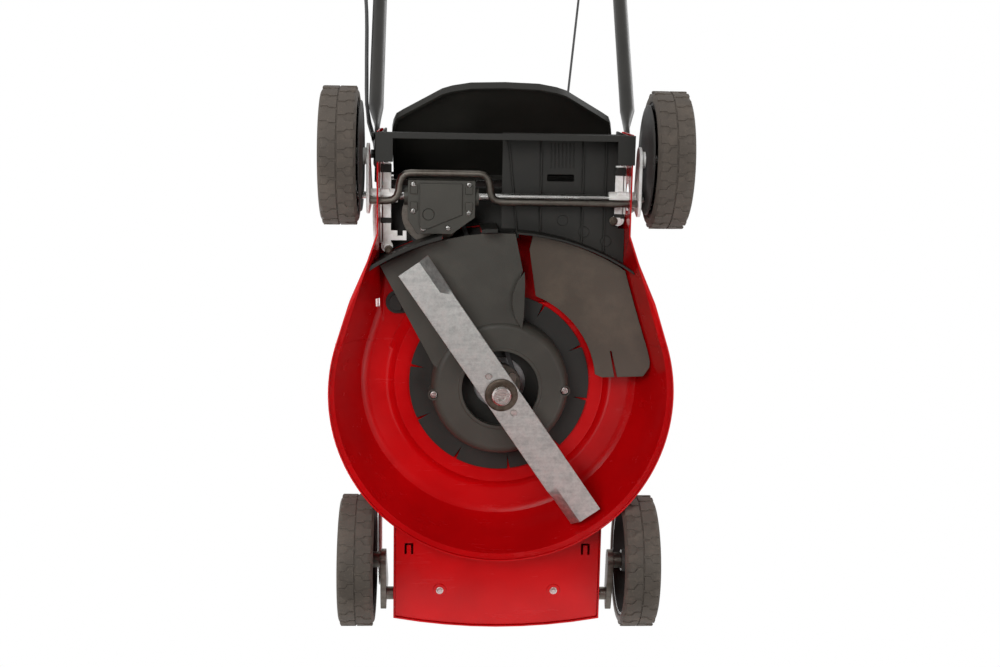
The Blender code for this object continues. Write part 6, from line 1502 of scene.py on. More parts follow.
def make_handle():
    for side, sign in SIDES:
        piece(f"{side}_lower_tube", lower_tube(sign), "tube_enamel")
    piece("upper_handle", upper_handle(), "tube_enamel")
    for side, sign in SIDES:
        piece(f"{side}_fold_knob", fold_knob(sign), "black_plastic")
    piece("brake_bail", bail(BRAKE_BAIL_HALF, BRAKE_BAIL_REACH, BAIL_REST + BRAKE_BAIL_OPEN), "dark_steel")
    piece("drive_bail", bail(DRIVE_BAIL_HALF, DRIVE_BAIL_REACH, -(BAIL_REST + DRIVE_BAIL_OPEN)), "dark_steel")


def rope_turn(x, y):
    """A point turned with the rope's way out of the starter cover."""
    turn = ROPE_EXIT_TURN
    return (x * math.cos(turn) - y * math.sin(turn), x * math.sin(turn) + y * math.cos(turn))


def make_cords():
    outside = TUBE_X + TUBE_RADIUS + CABLE_RADIUS + 0.6
    guide = handle_spot(-GUIDE_X, GUIDE_RUN, 0)
    below = handle_spot(-GUIDE_X, GUIDE_RUN - 30, 0)
    mouth = handle_spot(-GUIDE_X, GUIDE_RUN - 12, 0)
    start = Vector((*rope_turn(0, 61), ROPE_EXIT_Z))
    outlet = Vector((*rope_turn(0, 84), ROPE_EXIT_Z + 1))
    grip_end = handle_spot(-GUIDE_X, GUIDE_RUN + 14, 0)
    middle = (outlet + below) / 2
    rope = smooth_path([start, outlet, middle, below, mouth, guide, grip_end], 38)
    cord_piece("starter_rope", rope, ROPE_RADIUS)
    grip = turned([(0, 0), (6, 0), (9, 6), (7, 22), (9, 38), (5, 44), (0, 44)], 40, "Y")
    grip.data.transform(Matrix.Scale(0.8, 4, (0, 0, 1)))
    grip = joined(grip, block((-6, 6), (6, 18), (-32, 32), 4))
    grip = cut(grip, cylinder(ROPE_RADIUS + GAP, -5, 15, "Y"))
    seat = upper_frame() @ Matrix.Translation((-GUIDE_X, GUIDE_RUN + 4 + GAP, 0))
    piece("starter_grip", moved(grip, seat), "black_plastic")

    knots = [handle_spot(outside, UPPER_RUN - DRIVE_BAIL_REACH, 0), handle_spot(outside, 300, 0),
             handle_spot(outside + 14, 40, -4), handle_spot(outside + 20, -30, -4),
             lower_spot(outside + 6, 250, 0), lower_spot(outside + 2, 130, 2), lower_spot(outside - 1, 70, 8),
             (CABLE_RUN_X + 4, 324, 192), (CABLE_RUN_X + 1, 310, 170), (CABLE_RUN_X, CABLE_HOLE_Y + 18, 149),
             (CABLE_RUN_X, CABLE_HOLE_Y + 3, 138.5), (REAR_HALF_WIDTH - 1, CABLE_HOLE_Y, CABLE_HOLE_Z),
             (152, CABLE_HOLE_Y - 3, 130),
             (GEARBOX_X + GEARBOX_WIDTH / 2 + 3, CABLE_HOLE_Y - 8, GEARBOX_TOP_Z - 2)]
    cord_piece("drive_cable", smooth_path(knots, 40), CABLE_RADIUS)
    knots = [handle_spot(outside, UPPER_RUN - BRAKE_BAIL_REACH, 6), handle_spot(outside, 300, 6),
             handle_spot(outside + 14, 40, 4), handle_spot(outside + 20, -30, 4),
             lower_spot(outside + 6, 250, 8), lower_spot(outside + 2, 130, 11),
             lower_spot(outside - 1, 70, 22), (CABLE_RUN_X + 2, 306, 208), (CABLE_RUN_X - 2, 250, 186),
             (150, 190, 172), (118, 120, 172),
             (CRANKCASE_RADIUS * 0.8 + 3, CRANKCASE_RADIUS * 0.6 + 2, 176)]
    cord_piece("brake_cable", smooth_path(knots, 40), CABLE_RADIUS)


# Wires and cords

def line_curve(name, points, radius):
    """A curve in the frame's place through drawn points, round in section."""
    curve = bpy.data.curves.new(name, "CURVE")
    curve.dimensions = "3D"
    curve.bevel_depth = radius * MM
    curve.bevel_resolution = 5
    curve.use_fill_caps = True
    curve.render_resolution_u = 0
    spline = curve.splines.new("POLY")
    spline.points.add(len(points) - 1)
    for spot, point in zip(spline.points, points):
        spot.co = (*(SHIFT @ (Vector(point) * MM)), 1)
    return linked(name, curve)


def wire_piece(name, points, radius, slot):
    """A bent wire as a mesh that stands for the frame's node."""
    curve = line_curve(name + "_line", points, radius)
    mesh = bpy.data.meshes.new_from_object(curve)
    bpy.data.objects.remove(curve)
    mesh.shade_smooth()
    made = linked(name, mesh)
    shown(name + "_shown", made, slot, BODY_OF[name])
    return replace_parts(made, name)


def cord_piece(name, points, radius):
    """A cable or rope as a curve that stands for the frame's node."""
    made = line_curve(name + "_shown", points, radius)
    made.data.materials.append(finish_material("rope"))
    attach(made, BODY_OF[name])
    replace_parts(made, name)
    length = sum((b - a).length for a, b in zip(points, points[1:])) * MM
    start = SHIFT @ (points[0] * MM)
    return made


# What repeats: one Geometry Nodes tree for rings, one for screws

def tree_with(name, sockets):
    """A geometry tree with a Geometry socket at both ends and the named inputs given."""
    tree = bpy.data.node_groups.new(name, "GeometryNodeTree")
    tree.interface.new_socket("Geometry", in_out="INPUT", socket_type="NodeSocketGeometry")
    for label, kind, value in sockets:
        made = tree.interface.new_socket(label, in_out="INPUT", socket_type=kind)
        if value is not None:
            made.default_value = value
    tree.interface.new_socket("Geometry", in_out="OUTPUT", socket_type="NodeSocketGeometry")
    return tree


def wire(tree, kind, links, **settings):
    """Adds a node to a geometry tree with its settings, and links or sets its inputs."""
    made = tree.nodes.new(kind)
    for key, value in settings.items():
        setattr(made, key, value)
    for key, value in links.items():
        if isinstance(value, bpy.types.NodeSocket):
            tree.links.new(value, made.inputs[key])
        else:
            made.inputs[key].default_value = value
    return made


def closed_tree(tree, given, copies):
    """Ends a tree: its copies are made real, wear the material and are what comes out."""
    real = wire(tree, "GeometryNodeRealizeInstances", {"Geometry": copies.outputs[0]})
    coat = wire(tree, "GeometryNodeSetMaterial", {
        "Geometry": real.outputs[0], "Material": given.outputs["Material"]})
    wire(tree, "NodeGroupOutput", {"Geometry": coat.outputs[0]})
    return tree


def ring_tree():
    """Copies of the piece, each turned by one step from the last."""
    if "Copies in a ring" in bpy.data.node_groups:
        return bpy.data.node_groups["Copies in a ring"]
    tree = tree_with("Copies in a ring", [
        ("Count", "NodeSocketInt", 8), ("Turn", "NodeSocketVector", (0, 0, 0)),
        ("Material", "NodeSocketMaterial", None)])
    given = tree.nodes.new("NodeGroupInput")
    points = wire(tree, "GeometryNodeMeshLine", {"Count": given.outputs["Count"], "Offset": (0, 0, 0)})
    index = wire(tree, "GeometryNodeInputIndex", {})
    turn = wire(tree, "ShaderNodeVectorMath", {0: given.outputs["Turn"]}, operation="SCALE")
    tree.links.new(index.outputs[0], turn.inputs["Scale"])
    copies = wire(tree, "GeometryNodeInstanceOnPoints", {
        "Points": points.outputs[0], "Instance": given.outputs["Geometry"], "Rotation": turn.outputs[0]})
    return closed_tree(tree, given, copies)


def screws_tree():
    """A screw head on each point, turned so that it stands along the point's own direction."""
    if "Screws at points" in bpy.data.node_groups:
        return bpy.data.node_groups["Screws at points"]
    tree = tree_with("Screws at points", [
        ("Head", "NodeSocketObject", None), ("Size", "NodeSocketFloat", 1.0),
        ("Material", "NodeSocketMaterial", None)])
    given = tree.nodes.new("NodeGroupInput")
    head = wire(tree, "GeometryNodeObjectInfo", {"Object": given.outputs["Head"]}, transform_space="ORIGINAL")
    aim = wire(tree, "GeometryNodeInputNamedAttribute", {"Name": "aim"}, data_type="FLOAT_VECTOR")
    turn = wire(tree, "FunctionNodeAlignEulerToVector", {"Vector": aim.outputs[0]}, axis="Z")
    copies = wire(tree, "GeometryNodeInstanceOnPoints", {
        "Points": given.outputs["Geometry"], "Instance": head.outputs["Geometry"],
        "Rotation": turn.outputs[0], "Scale": given.outputs["Size"]})
    return closed_tree(tree, given, copies)


def grown(made, tree, values):
    """Puts a tree on a piece, gives its named inputs their values and works it into a plain mesh."""
    modifier = made.modifiers.new(tree.name, "NODES")
    modifier.node_group = tree
    named = {item.name: item.identifier for item in tree.interface.items_tree if item.in_out == "INPUT"}
    for label, value in values.items():
        modifier[named[label]] = value
    return settle(made)


def repeated(made, count, slot):
    """A ring of copies of a drawn piece round the X axis."""
    smoothed(made, 0.0005)
    return grown(made, ring_tree(), {
        "Count": count, "Turn": [2 * math.pi / count, 0, 0], "Material": finish_material(slot)})


def screw_head(cross):
    """A pan head 2 mm across its half, with a cross recess or as a flanged hexagon."""
    if cross:
        head = turned([(0, -1.0), (2.0, -1.0), (2.0, 0.55), (1.7, 0.95), (1.0, 1.2), (0, 1.25)], 48)
        for turn in (0, math.pi / 2):
            slit = block((-1.15, 1.15), (-0.22, 0.22), (0.5, 2.0))
            head = cut(head, spun(slit, turn))
    else:
        head = turned([(0, -1.0), (2.3, -1.0), (2.3, 0.2), (1.75, 0.35), (0, 0.35)], 48)
        hexagon = turned([(0, 0), (1.7, 0), (1.7, 1.25), (1.45, 1.5), (0, 1.5)], 6)
        head = joined(head, hexagon)
    return smoothed(head, 0.00005)


def screws(name, body, spots, size, slot, cross):
    """Screw heads at drawn spots, each with the direction it faces, on one body."""
    points = bpy.data.meshes.new(name)
    points.from_pydata([Vector(spot) * MM for spot, aim in spots], [], [])
    aims = points.attributes.new("aim", "FLOAT_VECTOR", "POINT")
    aims.data.foreach_set("vector", [part for spot, aim in spots for part in Vector(aim).normalized()])
    made = linked(name, points)
    head = screw_head(cross)
    grown(made, screws_tree(), {"Head": head, "Size": float(size), "Material": finish_material(slot)})
    bpy.data.objects.remove(head)
    made.data.transform(SHIFT)
    return shown(name, made, slot, body)


# Wheels

def tread_block(flip):
    """One tread block of a wheel, drawn round the tyre in degrees and across in millimetres."""
    sizes = bpy.context.scene.mower_sizes
    depth = sizes.tread_depth / MM
    step = 360 / sizes.tread_blocks
    share = step / 15
    outline = [(0.9, 0.9), (13.9, 0.9), (13.9, 8.2), (9.6, 12.4), (9.6, 21.4), (2.6, 21.4), (2.6, 12.4),
               (0.9, 10.4)]
    outline = [((t + flip * 7.5) * share, across * (-1 if flip else 1)) for t, across in outline]
    bm = bmesh.new()
    low = [bm.verts.new((t, across, WHEEL_RADIUS - depth - 1.2)) for t, across in outline]
    face = bm.faces.new(low)
    bmesh.ops.triangulate(bm, faces=[face])
    for k in range(1, 12):
        at = (k * 2 + flip * 7.5) * share
        geometry = bm.verts[:] + bm.edges[:] + bm.faces[:]
        bmesh.ops.bisect_plane(bm, geom=geometry, plane_co=(at, 0, 0), plane_no=(1, 0, 0))
    flat = [e for e in bm.edges if abs(e.verts[0].co.x - e.verts[1].co.x) > 1e-4 and len(e.link_faces) == 2]
    bmesh.ops.dissolve_limit(bm, angle_limit=0.01, verts=[], edges=flat)
    grown_faces = bmesh.ops.extrude_face_region(bm, geom=bm.faces[:])["geom"]
    for vertex in [part for part in grown_faces if isinstance(part, bmesh.types.BMVert)]:
        vertex.co.z = WHEEL_RADIUS
    for vertex in bm.verts:
        t, across, radius = vertex.co
        a = math.radians(t)
        vertex.co = (across, radius * math.cos(a), radius * math.sin(a))
    return solid(bm)


def wheel(name, x, y, geared):
    """A wheel: ribbed carcass, tread blocks, hub with ribs and, on a rear one, its ring gear."""
    sizes = bpy.context.scene.mower_sizes
    body = BODY_OF[name + "_tyre"]
    centre = (x, y, WHEEL_Z)
    outward = 1 if x > 0 else -1
    half = TYRE_WIDTH / 2
    root = WHEEL_RADIUS - sizes.tread_depth / MM
    side = [(TYRE_BORE_RADIUS, -half + 2.5), (TYRE_BORE_RADIUS + 1.5, -half + 1.2), (78.5, -half + 0.4),
            (80.5, -half + 0.9), (82.5, -half + 0.4), (root - 3, -half + 2.2), (root, -half + 6)]
    profile = side + [(r, -h) for r, h in reversed(side)]
    tyre = turned(rounded(profile, 2.0, 3), 144, "X", centre)
    piece(name + "_tyre", tyre, "tyre_rubber", rounding=0)
    for flip, label in ((0, "_tread_outer"), (1, "_tread_inner")):
        blocks = repeated(tread_block(flip), sizes.tread_blocks, "tyre_rubber")
        placed(blocks, centre).data.transform(SHIFT)
        shown(name + label, blocks, "tyre_rubber", body)
    piece(name + "_hub", hub(x, y, geared), "hub_plastic", rounding=0.0006)
    face = half - HUB_FACE_INSET
    rib = block((outward * (face - 11), outward * (face - 2)), (-1.3, 1.3), (HUB_BOSS_RADIUS - 1, 70))
    ribs = repeated(rib, sizes.hub_ribs, "hub_plastic")
    placed(ribs, centre).data.transform(SHIFT)
    shown(name + "_hub_ribs", ribs, "hub_plastic", body)


def make_wheels():
    for end, x, y in (("rear", REAR_WHEEL_X, REAR_AXLE_Y), ("front", FRONT_WHEEL_X, FRONT_AXLE_Y)):
        for side, sign in SIDES:
            wheel(f"{end}_{side}", sign * x, y, end == "rear")


# Groups and small parts

def make_flap_parts():
    make_flap()
    make_flap_spring()


def make_chamber_parts():
    make_deflector()
    make_side_clip()


def make_fasteners():
    """Screws and bolts that hold the pieces seen from below."""
    side = REAR_HALF_WIDTH - SHEET - GAP - 12
    strip = STRIP_Z[0] - 3
    rows = (
        ("gearbox_screws", "gearbox", [(x, y, GEARBOX_LOW_Z - 0.6) for x, y in GEARBOX_SCREWS],
         1.8, "bright_steel", True),
        ("cover_bolts", "chassis", [(x, y, COVER_LOW_Z + 3.5) for x, y in COVER_BOLTS],
         2.0, "bright_steel", False),
        ("panel_bolts", "chassis", [(sign * PANEL_BOLT[0], PANEL_BOLT[1], PANEL_BOSS_Z) for sign in (1, -1)],
         2.2, "bright_steel", False),
        ("bracket_bolts", "chassis", [(side, 187, strip), (-side + 4, 229, strip)],
         2.4, "brown_steel", False),
    )
    for name, body, spots, size, slot, cross in rows:
        screws(name, body, [(spot, (0, 0, -1)) for spot in spots], size, slot, cross)


def make_trims():
    """The black edging on the deck's rear wall and the collars on the brackets' strips."""
    low = REAR_WALL_Z + 4.2
    belt_gap = BELT_Z - PULLEY_WIDTH / 2 - 6
    back = lip_arc(4.3, 200, 8, 12)
    trim = joined(prism(back + lip_arc(2.6, 8, 200, 12), low, DECK_TOP_Z - 9),
                  prism(back + lip_arc(-0.6, 8, 200, 12), low, low + 1.6))
    trim = combine(trim, [bay(1, SHEET + 0.6)], "INTERSECT")
    trim = cut(trim, block((30, 158), (0, REAR_END_Y), (belt_gap, BELT_Z + PULLEY_WIDTH)),
               block((29.5, 80.5), (0, REAR_END_Y), (0, GEARBOX_TOP_Z + 2)))
    trim = cut(trim, cylinder(7, 90, 112, "Z", (REAR_HALF_WIDTH - SHEET - GAP - 12, 187)))
    extra("lip_trim", trim, "black_plastic", BODY_OF["deck"])
    for side, sign in SIDES:
        x = (sign * (REAR_HALF_WIDTH - 3.5), sign * (REAR_HALF_WIDTH - 18))
        for name, y in (("upper", (289, 300)), ("lower", (222, 229)) if sign > 0 else ("lower", (232, 238))):
            collar = block(x, y, (STRIP_Z[0] - 1.8, STRIP_Z[1] + 1.2), 1)
            extra(f"{side}_{name}_collar", collar, "black_plastic", BODY_OF["deck"])
    half = BLADE_PIN_SPACING / 2
    for name, turn in (("front", 0), ("rear", math.pi)):
        spot = (half * math.cos(BLADE_ANGLE + turn), half * math.sin(BLADE_ANGLE + turn))
        pin = cylinder(BLADE_PIN_RADIUS, BLADE_Z - 0.8, BLADE_Z + 2, "Z", spot)
        extra(f"{name}_blade_pin_end", pin, "bright_steel", BODY_OF["blade"])


def make_dust_covers():
    """The black cups between the rear wheels and their plates, over the pinions."""
    for side, sign in SIDES:
        inner = PLATE_X + PLATE_THICKNESS + 4.5
        outer = REAR_WHEEL_X - TYRE_WIDTH / 2 - 1.6
        mouth = HUB_BOSS_RADIUS - 3
        profile = [(mouth, inner), (44, inner), (58, inner + 2.5), (71, outer - 2), (72.5, outer),
                   (71, outer), (57, inner + 4.2), (44, inner + 1.8), (mouth, inner + 1.8)]
        cup = turned([(r, sign * x) for r, x in profile], 80, "X", (0, REAR_AXLE_Y, WHEEL_Z))
        cup = cut(cup, cylinder(SHAFT_RADIUS + 1.5, sign * (inner - 5), sign * (outer + 5), "X", REAR_PIVOT))
        extra(f"{side}_dust_cover", cup, "hub_plastic", BODY_OF[f"rear_{side}_plate"])


def finish_solids():
    """Dresses the solids that no finished piece stands for."""
    hidden = set()
    for made in bpy.data.objects:
        hidden.update(node for node in NODE_NAMES if made.name == node + "_shown")
    for node in NODE_NAMES - hidden:
        made = bpy.data.objects[node]
        for place in made.material_slots:
            place.material = finish_material(SLOT_OF[node])


# Finishes

class Value:
    """An output socket of a material's node that takes part in Python expressions."""

    def __init__(self, finish, socket):
        self.finish = finish
        self.socket = socket

    def maths(self, operation, first, second):
        return self.finish.node("ShaderNodeMath", {"operation": operation}, [first, second])

    def __add__(self, other):
        return self.maths("ADD", self, other)

    def __radd__(self, other):
        return self.maths("ADD", other, self)

    def __sub__(self, other):
        return self.maths("SUBTRACT", self, other)

    def __rsub__(self, other):
        return self.maths("SUBTRACT", other, self)

    def __mul__(self, other):
        return self.maths("MULTIPLY", self, other)

    def __rmul__(self, other):
        return self.maths("MULTIPLY", other, self)

    def __pow__(self, other):
        return self.maths("POWER", self, other)


class Finish:
    """A node-based material: a Principled shader and the nodes that feed it."""

    def __init__(self, name, roughness, metallic=0.0, **settings):
        self.material = bpy.data.materials.new(name)
        self.material.use_nodes = True
        self.tree = self.material.node_tree
        self.shader = self.tree.nodes["Principled BSDF"]
        self.shader.inputs["Roughness"].default_value = roughness
        self.shader.inputs["Metallic"].default_value = metallic
        for socket, value in settings.items():
            self.shader.inputs[socket.replace("_", " ").title().replace("Ior", "IOR")].default_value = value
        self.place = self.node("ShaderNodeTexCoord", {}, {}, "Object")

    def node(self, kind, settings, inputs, output=0):
        """Adds a node: its settings first, then its sockets' values or links; gives one output."""
        made = self.tree.nodes.new(kind)
        for name, value in settings.items():
            setattr(made, name, value)
        pairs = inputs.items() if isinstance(inputs, dict) else enumerate(inputs)
        for name, value in pairs:
            if isinstance(value, Value):
                self.tree.links.new(value.socket, made.inputs[name])
            else:
                made.inputs[name].default_value = value
        return Value(self, made.outputs[output])

    def feed(self, socket, value):
        self.tree.links.new(value.socket, self.shader.inputs[socket])

    def noise(self, size, detail=4.0, stretch=(1, 1, 1), roughness=0.5):
        """Cloudy noise whose lumps are about size metres across."""
        at = self.node("ShaderNodeMapping", {}, {"Vector": self.place, "Scale": stretch})
        values = {"Vector": at, "Scale": 1 / size, "Detail": detail, "Roughness": roughness}
        return self.node("ShaderNodeTexNoise", {}, values, "Fac")

    def cells(self, size, output="Distance"):
        return self.node("ShaderNodeTexVoronoi", {}, {"Vector": self.place, "Scale": 1 / size}, output)

    def between(self, value, low, high, start=0.0, end=1.0):
        """The value's stretch from low to high mapped from start to end, and held there beyond it."""
        return self.node("ShaderNodeMapRange", {}, [value, low, high, start, end])

    def mix(self, share, first, second):
        """A colour between two others."""
        values = {0: share, 6: first, 7: second}
        return self.node("ShaderNodeMix", {"data_type": "RGBA"}, values, 2)

    def paint(self, share, first, second):
        """Gives the shader a base colour between two others."""
        self.feed("Base Color", self.mix(share, first, second))

    def bump(self, height, depth, strength):
        values = {"Strength": strength, "Distance": depth, "Height": height}
        self.feed("Normal", self.node("ShaderNodeBump", {}, values))


def shade(colour, factor):
    """A colour made lighter or darker, with its alpha."""
    return tuple(min(1.0, part * factor) for part in colour[:3]) + (1.0,)


def tinted(colour, red, green, blue):
    return (colour[0] * red, colour[1] * green, colour[2] * blue, 1.0)


def gloss_enamel(name, colour):
    """Red stoving enamel on pressed steel: orange peel, faint streaks and dull rub marks."""
    finish = Finish(name, 0.24, 0.0, coat_weight=0.3, coat_roughness=0.05, specular_ior_level=0.3)
    cloud = finish.noise(0.09, 3)
    finish.paint(finish.between(cloud, 0.35, 0.7), shade(colour, 0.86), shade(colour, 1.08))
    rubbed = finish.between(finish.noise(0.02, 8, (0.15, 1, 1), 0.7), 0.56, 0.74)
    finish.feed("Roughness", rubbed * 0.16 + finish.between(cloud, 0.3, 0.7, 0.18, 0.26))
    peel = finish.noise(0.0035, 2)
    finish.bump(peel, 0.00006, 0.5)
    return finish.material


def moulded_plastic(name, colour, roughness=0.52, grain=0.0009, dust=0.35):
    """Moulded polypropylene: a fine spark grain, cloudy gloss and a little pale dust."""
    finish = Finish(name, roughness, specular_ior_level=0.32)
    cloud = finish.noise(0.05, 6, roughness=0.65)
    dusty = finish.between(cloud, 0.48, 0.8, 0.0, dust)
    patch = finish.between(finish.noise(0.15, 3), 0.35, 0.65)
    base = finish.mix(patch, shade(colour, 0.9), shade(colour, 1.12))
    finish.paint(dusty, base, shade(tinted(colour, 1.15, 1.1, 1.0), 1.9))
    finish.feed("Roughness", finish.between(cloud, 0.3, 0.75, roughness - 0.07, roughness + 0.12))
    speck = finish.cells(grain)
    finish.bump(speck + finish.noise(grain * 3, 3) * 0.6, grain * 0.09, 0.55)
    return finish.material


def worn_rubber(name, colour, fresh=1.0):
    """Tyre rubber: browned by grit, with paler scuffs and a rough skin."""
    finish = Finish(name, 0.8)
    cloud = finish.noise(0.03, 8, roughness=0.7)
    scuffed = finish.between(cloud, 0.5, 0.72)
    base = finish.mix(scuffed, shade(colour, 0.8), shade(colour, 1.25 * fresh))
    fleck = finish.between(finish.noise(0.0016, 2), 0.62, 0.7, 0.0, 0.5)
    finish.paint(fleck, base, shade(tinted(colour, 1.1, 1.05, 0.95), 1.7))
    finish.feed("Roughness", finish.between(cloud, 0.3, 0.7, 0.68, 0.92))
    finish.bump(finish.noise(0.0012, 3) + cloud * 0.8, 0.00018, 0.6)
    return finish.material


def mottled_steel(name, colour, low=0.32, high=0.55, mottle=0.012, tint=(0.97, 0.97, 0.97)):
    """Hot-rolled or browned steel: cloudy scale marks, fine pits and drawn streaks."""
    finish = Finish(name, 0.4, 1.0)
    cloud = finish.noise(mottle, 9, roughness=0.72)
    streak = finish.noise(0.004, 3, (0.08, 1, 1))
    scale = finish.between(cloud + streak * 0.25, 0.48, 0.78)
    warm = tinted(colour, *tint)
    finish.paint(scale, shade(colour, 1.18), shade(warm, 0.62))
    finish.feed("Roughness", finish.between(cloud, 0.3, 0.75, low, high))
    pits = finish.between(finish.cells(0.0022), 0.0, 0.35)
    finish.bump(pits * 0.5 + cloud, 0.00012, 0.5)
    return finish.material


def bright_metal(name, colour):
    """Ground or drawn bright steel with fine lengthwise lines and a few dull patches."""
    finish = Finish(name, 0.25, 1.0)
    lines = finish.noise(0.0016, 4, (0.06, 1, 1))
    patch = finish.noise(0.018, 6, roughness=0.65)
    finish.paint(finish.between(patch, 0.42, 0.72), shade(colour, 1.1), shade(colour, 0.74))
    finish.feed("Roughness", finish.between(lines + patch * 0.5, 0.5, 1.0, 0.18, 0.34))
    finish.bump(lines, 0.00003, 0.4)
    return finish.material


def zinc_plate(name, colour):
    """Dull zinc plating: pale, with soft spangle cells and whitish bloom."""
    finish = Finish(name, 0.42, 0.15)
    spangle = finish.cells(0.006, "Color")
    tone = finish.node("ShaderNodeSeparateColor", {}, [spangle])
    bloom = finish.noise(0.02, 6, roughness=0.6)
    base = finish.mix(finish.between(tone, 0.0, 1.0, 0.0, 0.6), shade(colour, 0.82), shade(colour, 1.08))
    white = shade(tinted(colour, 1.0, 1.02, 1.06), 1.12)
    finish.paint(finish.between(bloom, 0.5, 0.75, 0.0, 0.6), base, white)
    finish.feed("Roughness", finish.between(bloom, 0.3, 0.7, 0.32, 0.55))
    finish.bump(bloom + tone * 0.2, 0.00004, 0.5)
    return finish.material


def powder_coat(name, colour):
    """Satin powder coat on tube: a close pebble skin with slight sheen changes."""
    finish = Finish(name, 0.36, 0.1)
    cloud = finish.noise(0.06, 5)
    finish.paint(finish.between(cloud, 0.35, 0.7), shade(colour, 0.85), shade(colour, 1.2))
    finish.feed("Roughness", finish.between(cloud, 0.3, 0.7, 0.3, 0.46))
    finish.bump(finish.noise(0.0011, 2), 0.00005, 0.6)
    return finish.material


def cast_metal(name, colour):
    """Sand-rough cast aluminium with darker pores."""
    finish = Finish(name, 0.5, 0.85)
    pores = finish.between(finish.cells(0.0016), 0.05, 0.4)
    cloud = finish.noise(0.03, 6)
    finish.paint(pores * finish.between(cloud, 0.3, 0.7, 0.6, 1.0),
                                         shade(colour, 0.55), shade(colour, 1.1))
    finish.feed("Roughness", finish.between(cloud, 0.3, 0.7, 0.42, 0.6))
    finish.bump(pores + finish.noise(0.0024, 3) * 0.8, 0.00012, 0.7)
    return finish.material


def cord_sheath(name, colour):
    """Extruded or braided sheath: slight diagonal ribs with a painted highlight along their crests, and paler
    worn patches.
    """
    finish = Finish(name, 0.62)
    ribs = finish.node("ShaderNodeTexWave", {"bands_direction": "DIAGONAL"},
                       {"Vector": finish.place, "Scale": 420.0, "Distortion": 1.2, "Detail": 1.0}, "Fac")
    cloud = finish.noise(0.02, 5)
    # the ribs' crests are painted paler as a painted highlight; the cloud adds paler worn patches
    finish.paint(ribs * 0.35 + finish.between(cloud, 0.4, 0.7, 0.0, 0.3),
                                         shade(colour, 0.75), shade(colour, 1.8))
    finish.bump(ribs, 0.00012, 0.5)
    return finish.material


RECIPES = {
    "red_enamel": gloss_enamel,
    "black_plastic": moulded_plastic,
    "grey_plastic": lambda name, colour: moulded_plastic(name, colour, 0.46, 0.0011, 0.25),
    "brown_plastic": lambda name, colour: moulded_plastic(name, colour, 0.5, 0.0011, 0.4),
    "tyre_rubber": worn_rubber,
    "hub_plastic": lambda name, colour: moulded_plastic(name, colour, 0.56, 0.0009, 0.4),
    "blade_steel": mottled_steel,
    "bright_steel": bright_metal,
    "brown_steel": lambda name, colour: mottled_steel(name, colour, 0.4, 0.65, 0.008, (1.0, 0.92, 0.84)),
    "zinc": zinc_plate,
    "dark_steel": lambda name, colour: mottled_steel(name, colour, 0.28, 0.4, 0.03, (1.0, 0.95, 0.88)),
    "tube_enamel": powder_coat,
    "cast_aluminium": cast_metal,
    "belt_rubber": lambda name, colour: worn_rubber(name, colour, 0.9),
    "engine_plastic": lambda name, colour: moulded_plastic(name, colour, 0.34, 0.0008, 0.12),
    "rope": cord_sheath,
}


def finish_material(slot):
    """The material of one of the record's finishes, made when it is first asked for."""
    name = slot + "_finish"
    if name in bpy.data.materials:
        return bpy.data.materials[name]
    colour = getattr(bpy.context.scene.mower_colours, slot)
    return RECIPES[slot](name, tuple(colour) + (1.0,))


# Making shown pieces

def shift_y():
    """How far the frame is moved along Y from the drawing, found from the blade's bolt."""
    low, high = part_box("blade_bolt")
    return (low.y + high.y) / 2


SHIFT = Matrix.Translation((0, shift_y(), 0))


def smoothed(made, rounding):
    """Rounds a solid's edges and gives it normals that keep its flats flat."""
    bm = bmesh.new()
    bm.from_mesh(made.data)
    bmesh.ops.remove_doubles(bm, verts=bm.verts, dist=0.005 * MM)
    bmesh.ops.dissolve_limit(bm, angle_limit=math.radians(0.6), verts=bm.verts, edges=bm.edges)
    bm.to_mesh(made.data)
    bm.free()
    made.data.shade_smooth()
    if rounding:
        bevel = made.modifiers.new("Edges", "BEVEL")
        bevel.width = rounding
        bevel.segments = 2
        bevel.limit_method = "ANGLE"
        bevel.angle_limit = math.radians(32)
        bevel.use_clamp_overlap = False
        bevel.miter_outer = "MITER_ARC"
    made.modifiers.new("Normals", "WEIGHTED_NORMAL").keep_sharp = True
    return settle(made)


def shown(name, made, slot, body):
    """A finished object in the frame's place, riding on a body and wearing a finish."""
    made.name = name
    made.data.name = name
    made.data.materials.clear()
    made.data.materials.append(finish_material(slot))
    for face in made.data.polygons:
        face.material_index = 0
    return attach(made, body)


def extra(name, made, finish, body, rounding=FINE_ROUNDING):
    """A small drawn piece that no node stands for."""
    smoothed(made, rounding)
    made.data.transform(SHIFT)
    return shown(name, made, finish, body)


def piece(name, made, finish, rounding=None):
    """Makes a drawn solid the shown piece that stands for the frame's node of the same name."""
    if rounding is None:
        rounding = bpy.context.scene.mower_sizes.edge_rounding
    extra(name + "_shown", made, finish, BODY_OF[name], rounding)
    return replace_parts(made, name)


# Stage

CAMERA_PLACE = (0.08599, 0.06615, -1.73912)
CAMERA_RIGHT = (-0.9989, 0.0183, -0.0424)
CAMERA_AHEAD = (-0.0452, -0.1906, 0.9806)


def make_camera():
    """The photograph's viewing angle: from under the mower, a little behind its middle."""
    lens = bpy.data.cameras.new("photo_camera")
    lens.lens = 50
    lens.sensor_width = 36
    lens.clip_start = 0.05
    lens.clip_end = 60
    camera = linked("photo_camera", lens)
    ahead = Vector(CAMERA_AHEAD).normalized()
    right = Vector(CAMERA_RIGHT)
    right = (right - ahead * right.dot(ahead)).normalized()
    up = right.cross(ahead)
    turn = Matrix((right, up, -ahead)).transposed().to_4x4()
    camera.matrix_world = Matrix.Translation(CAMERA_PLACE) @ turn
    bpy.context.scene.camera = camera


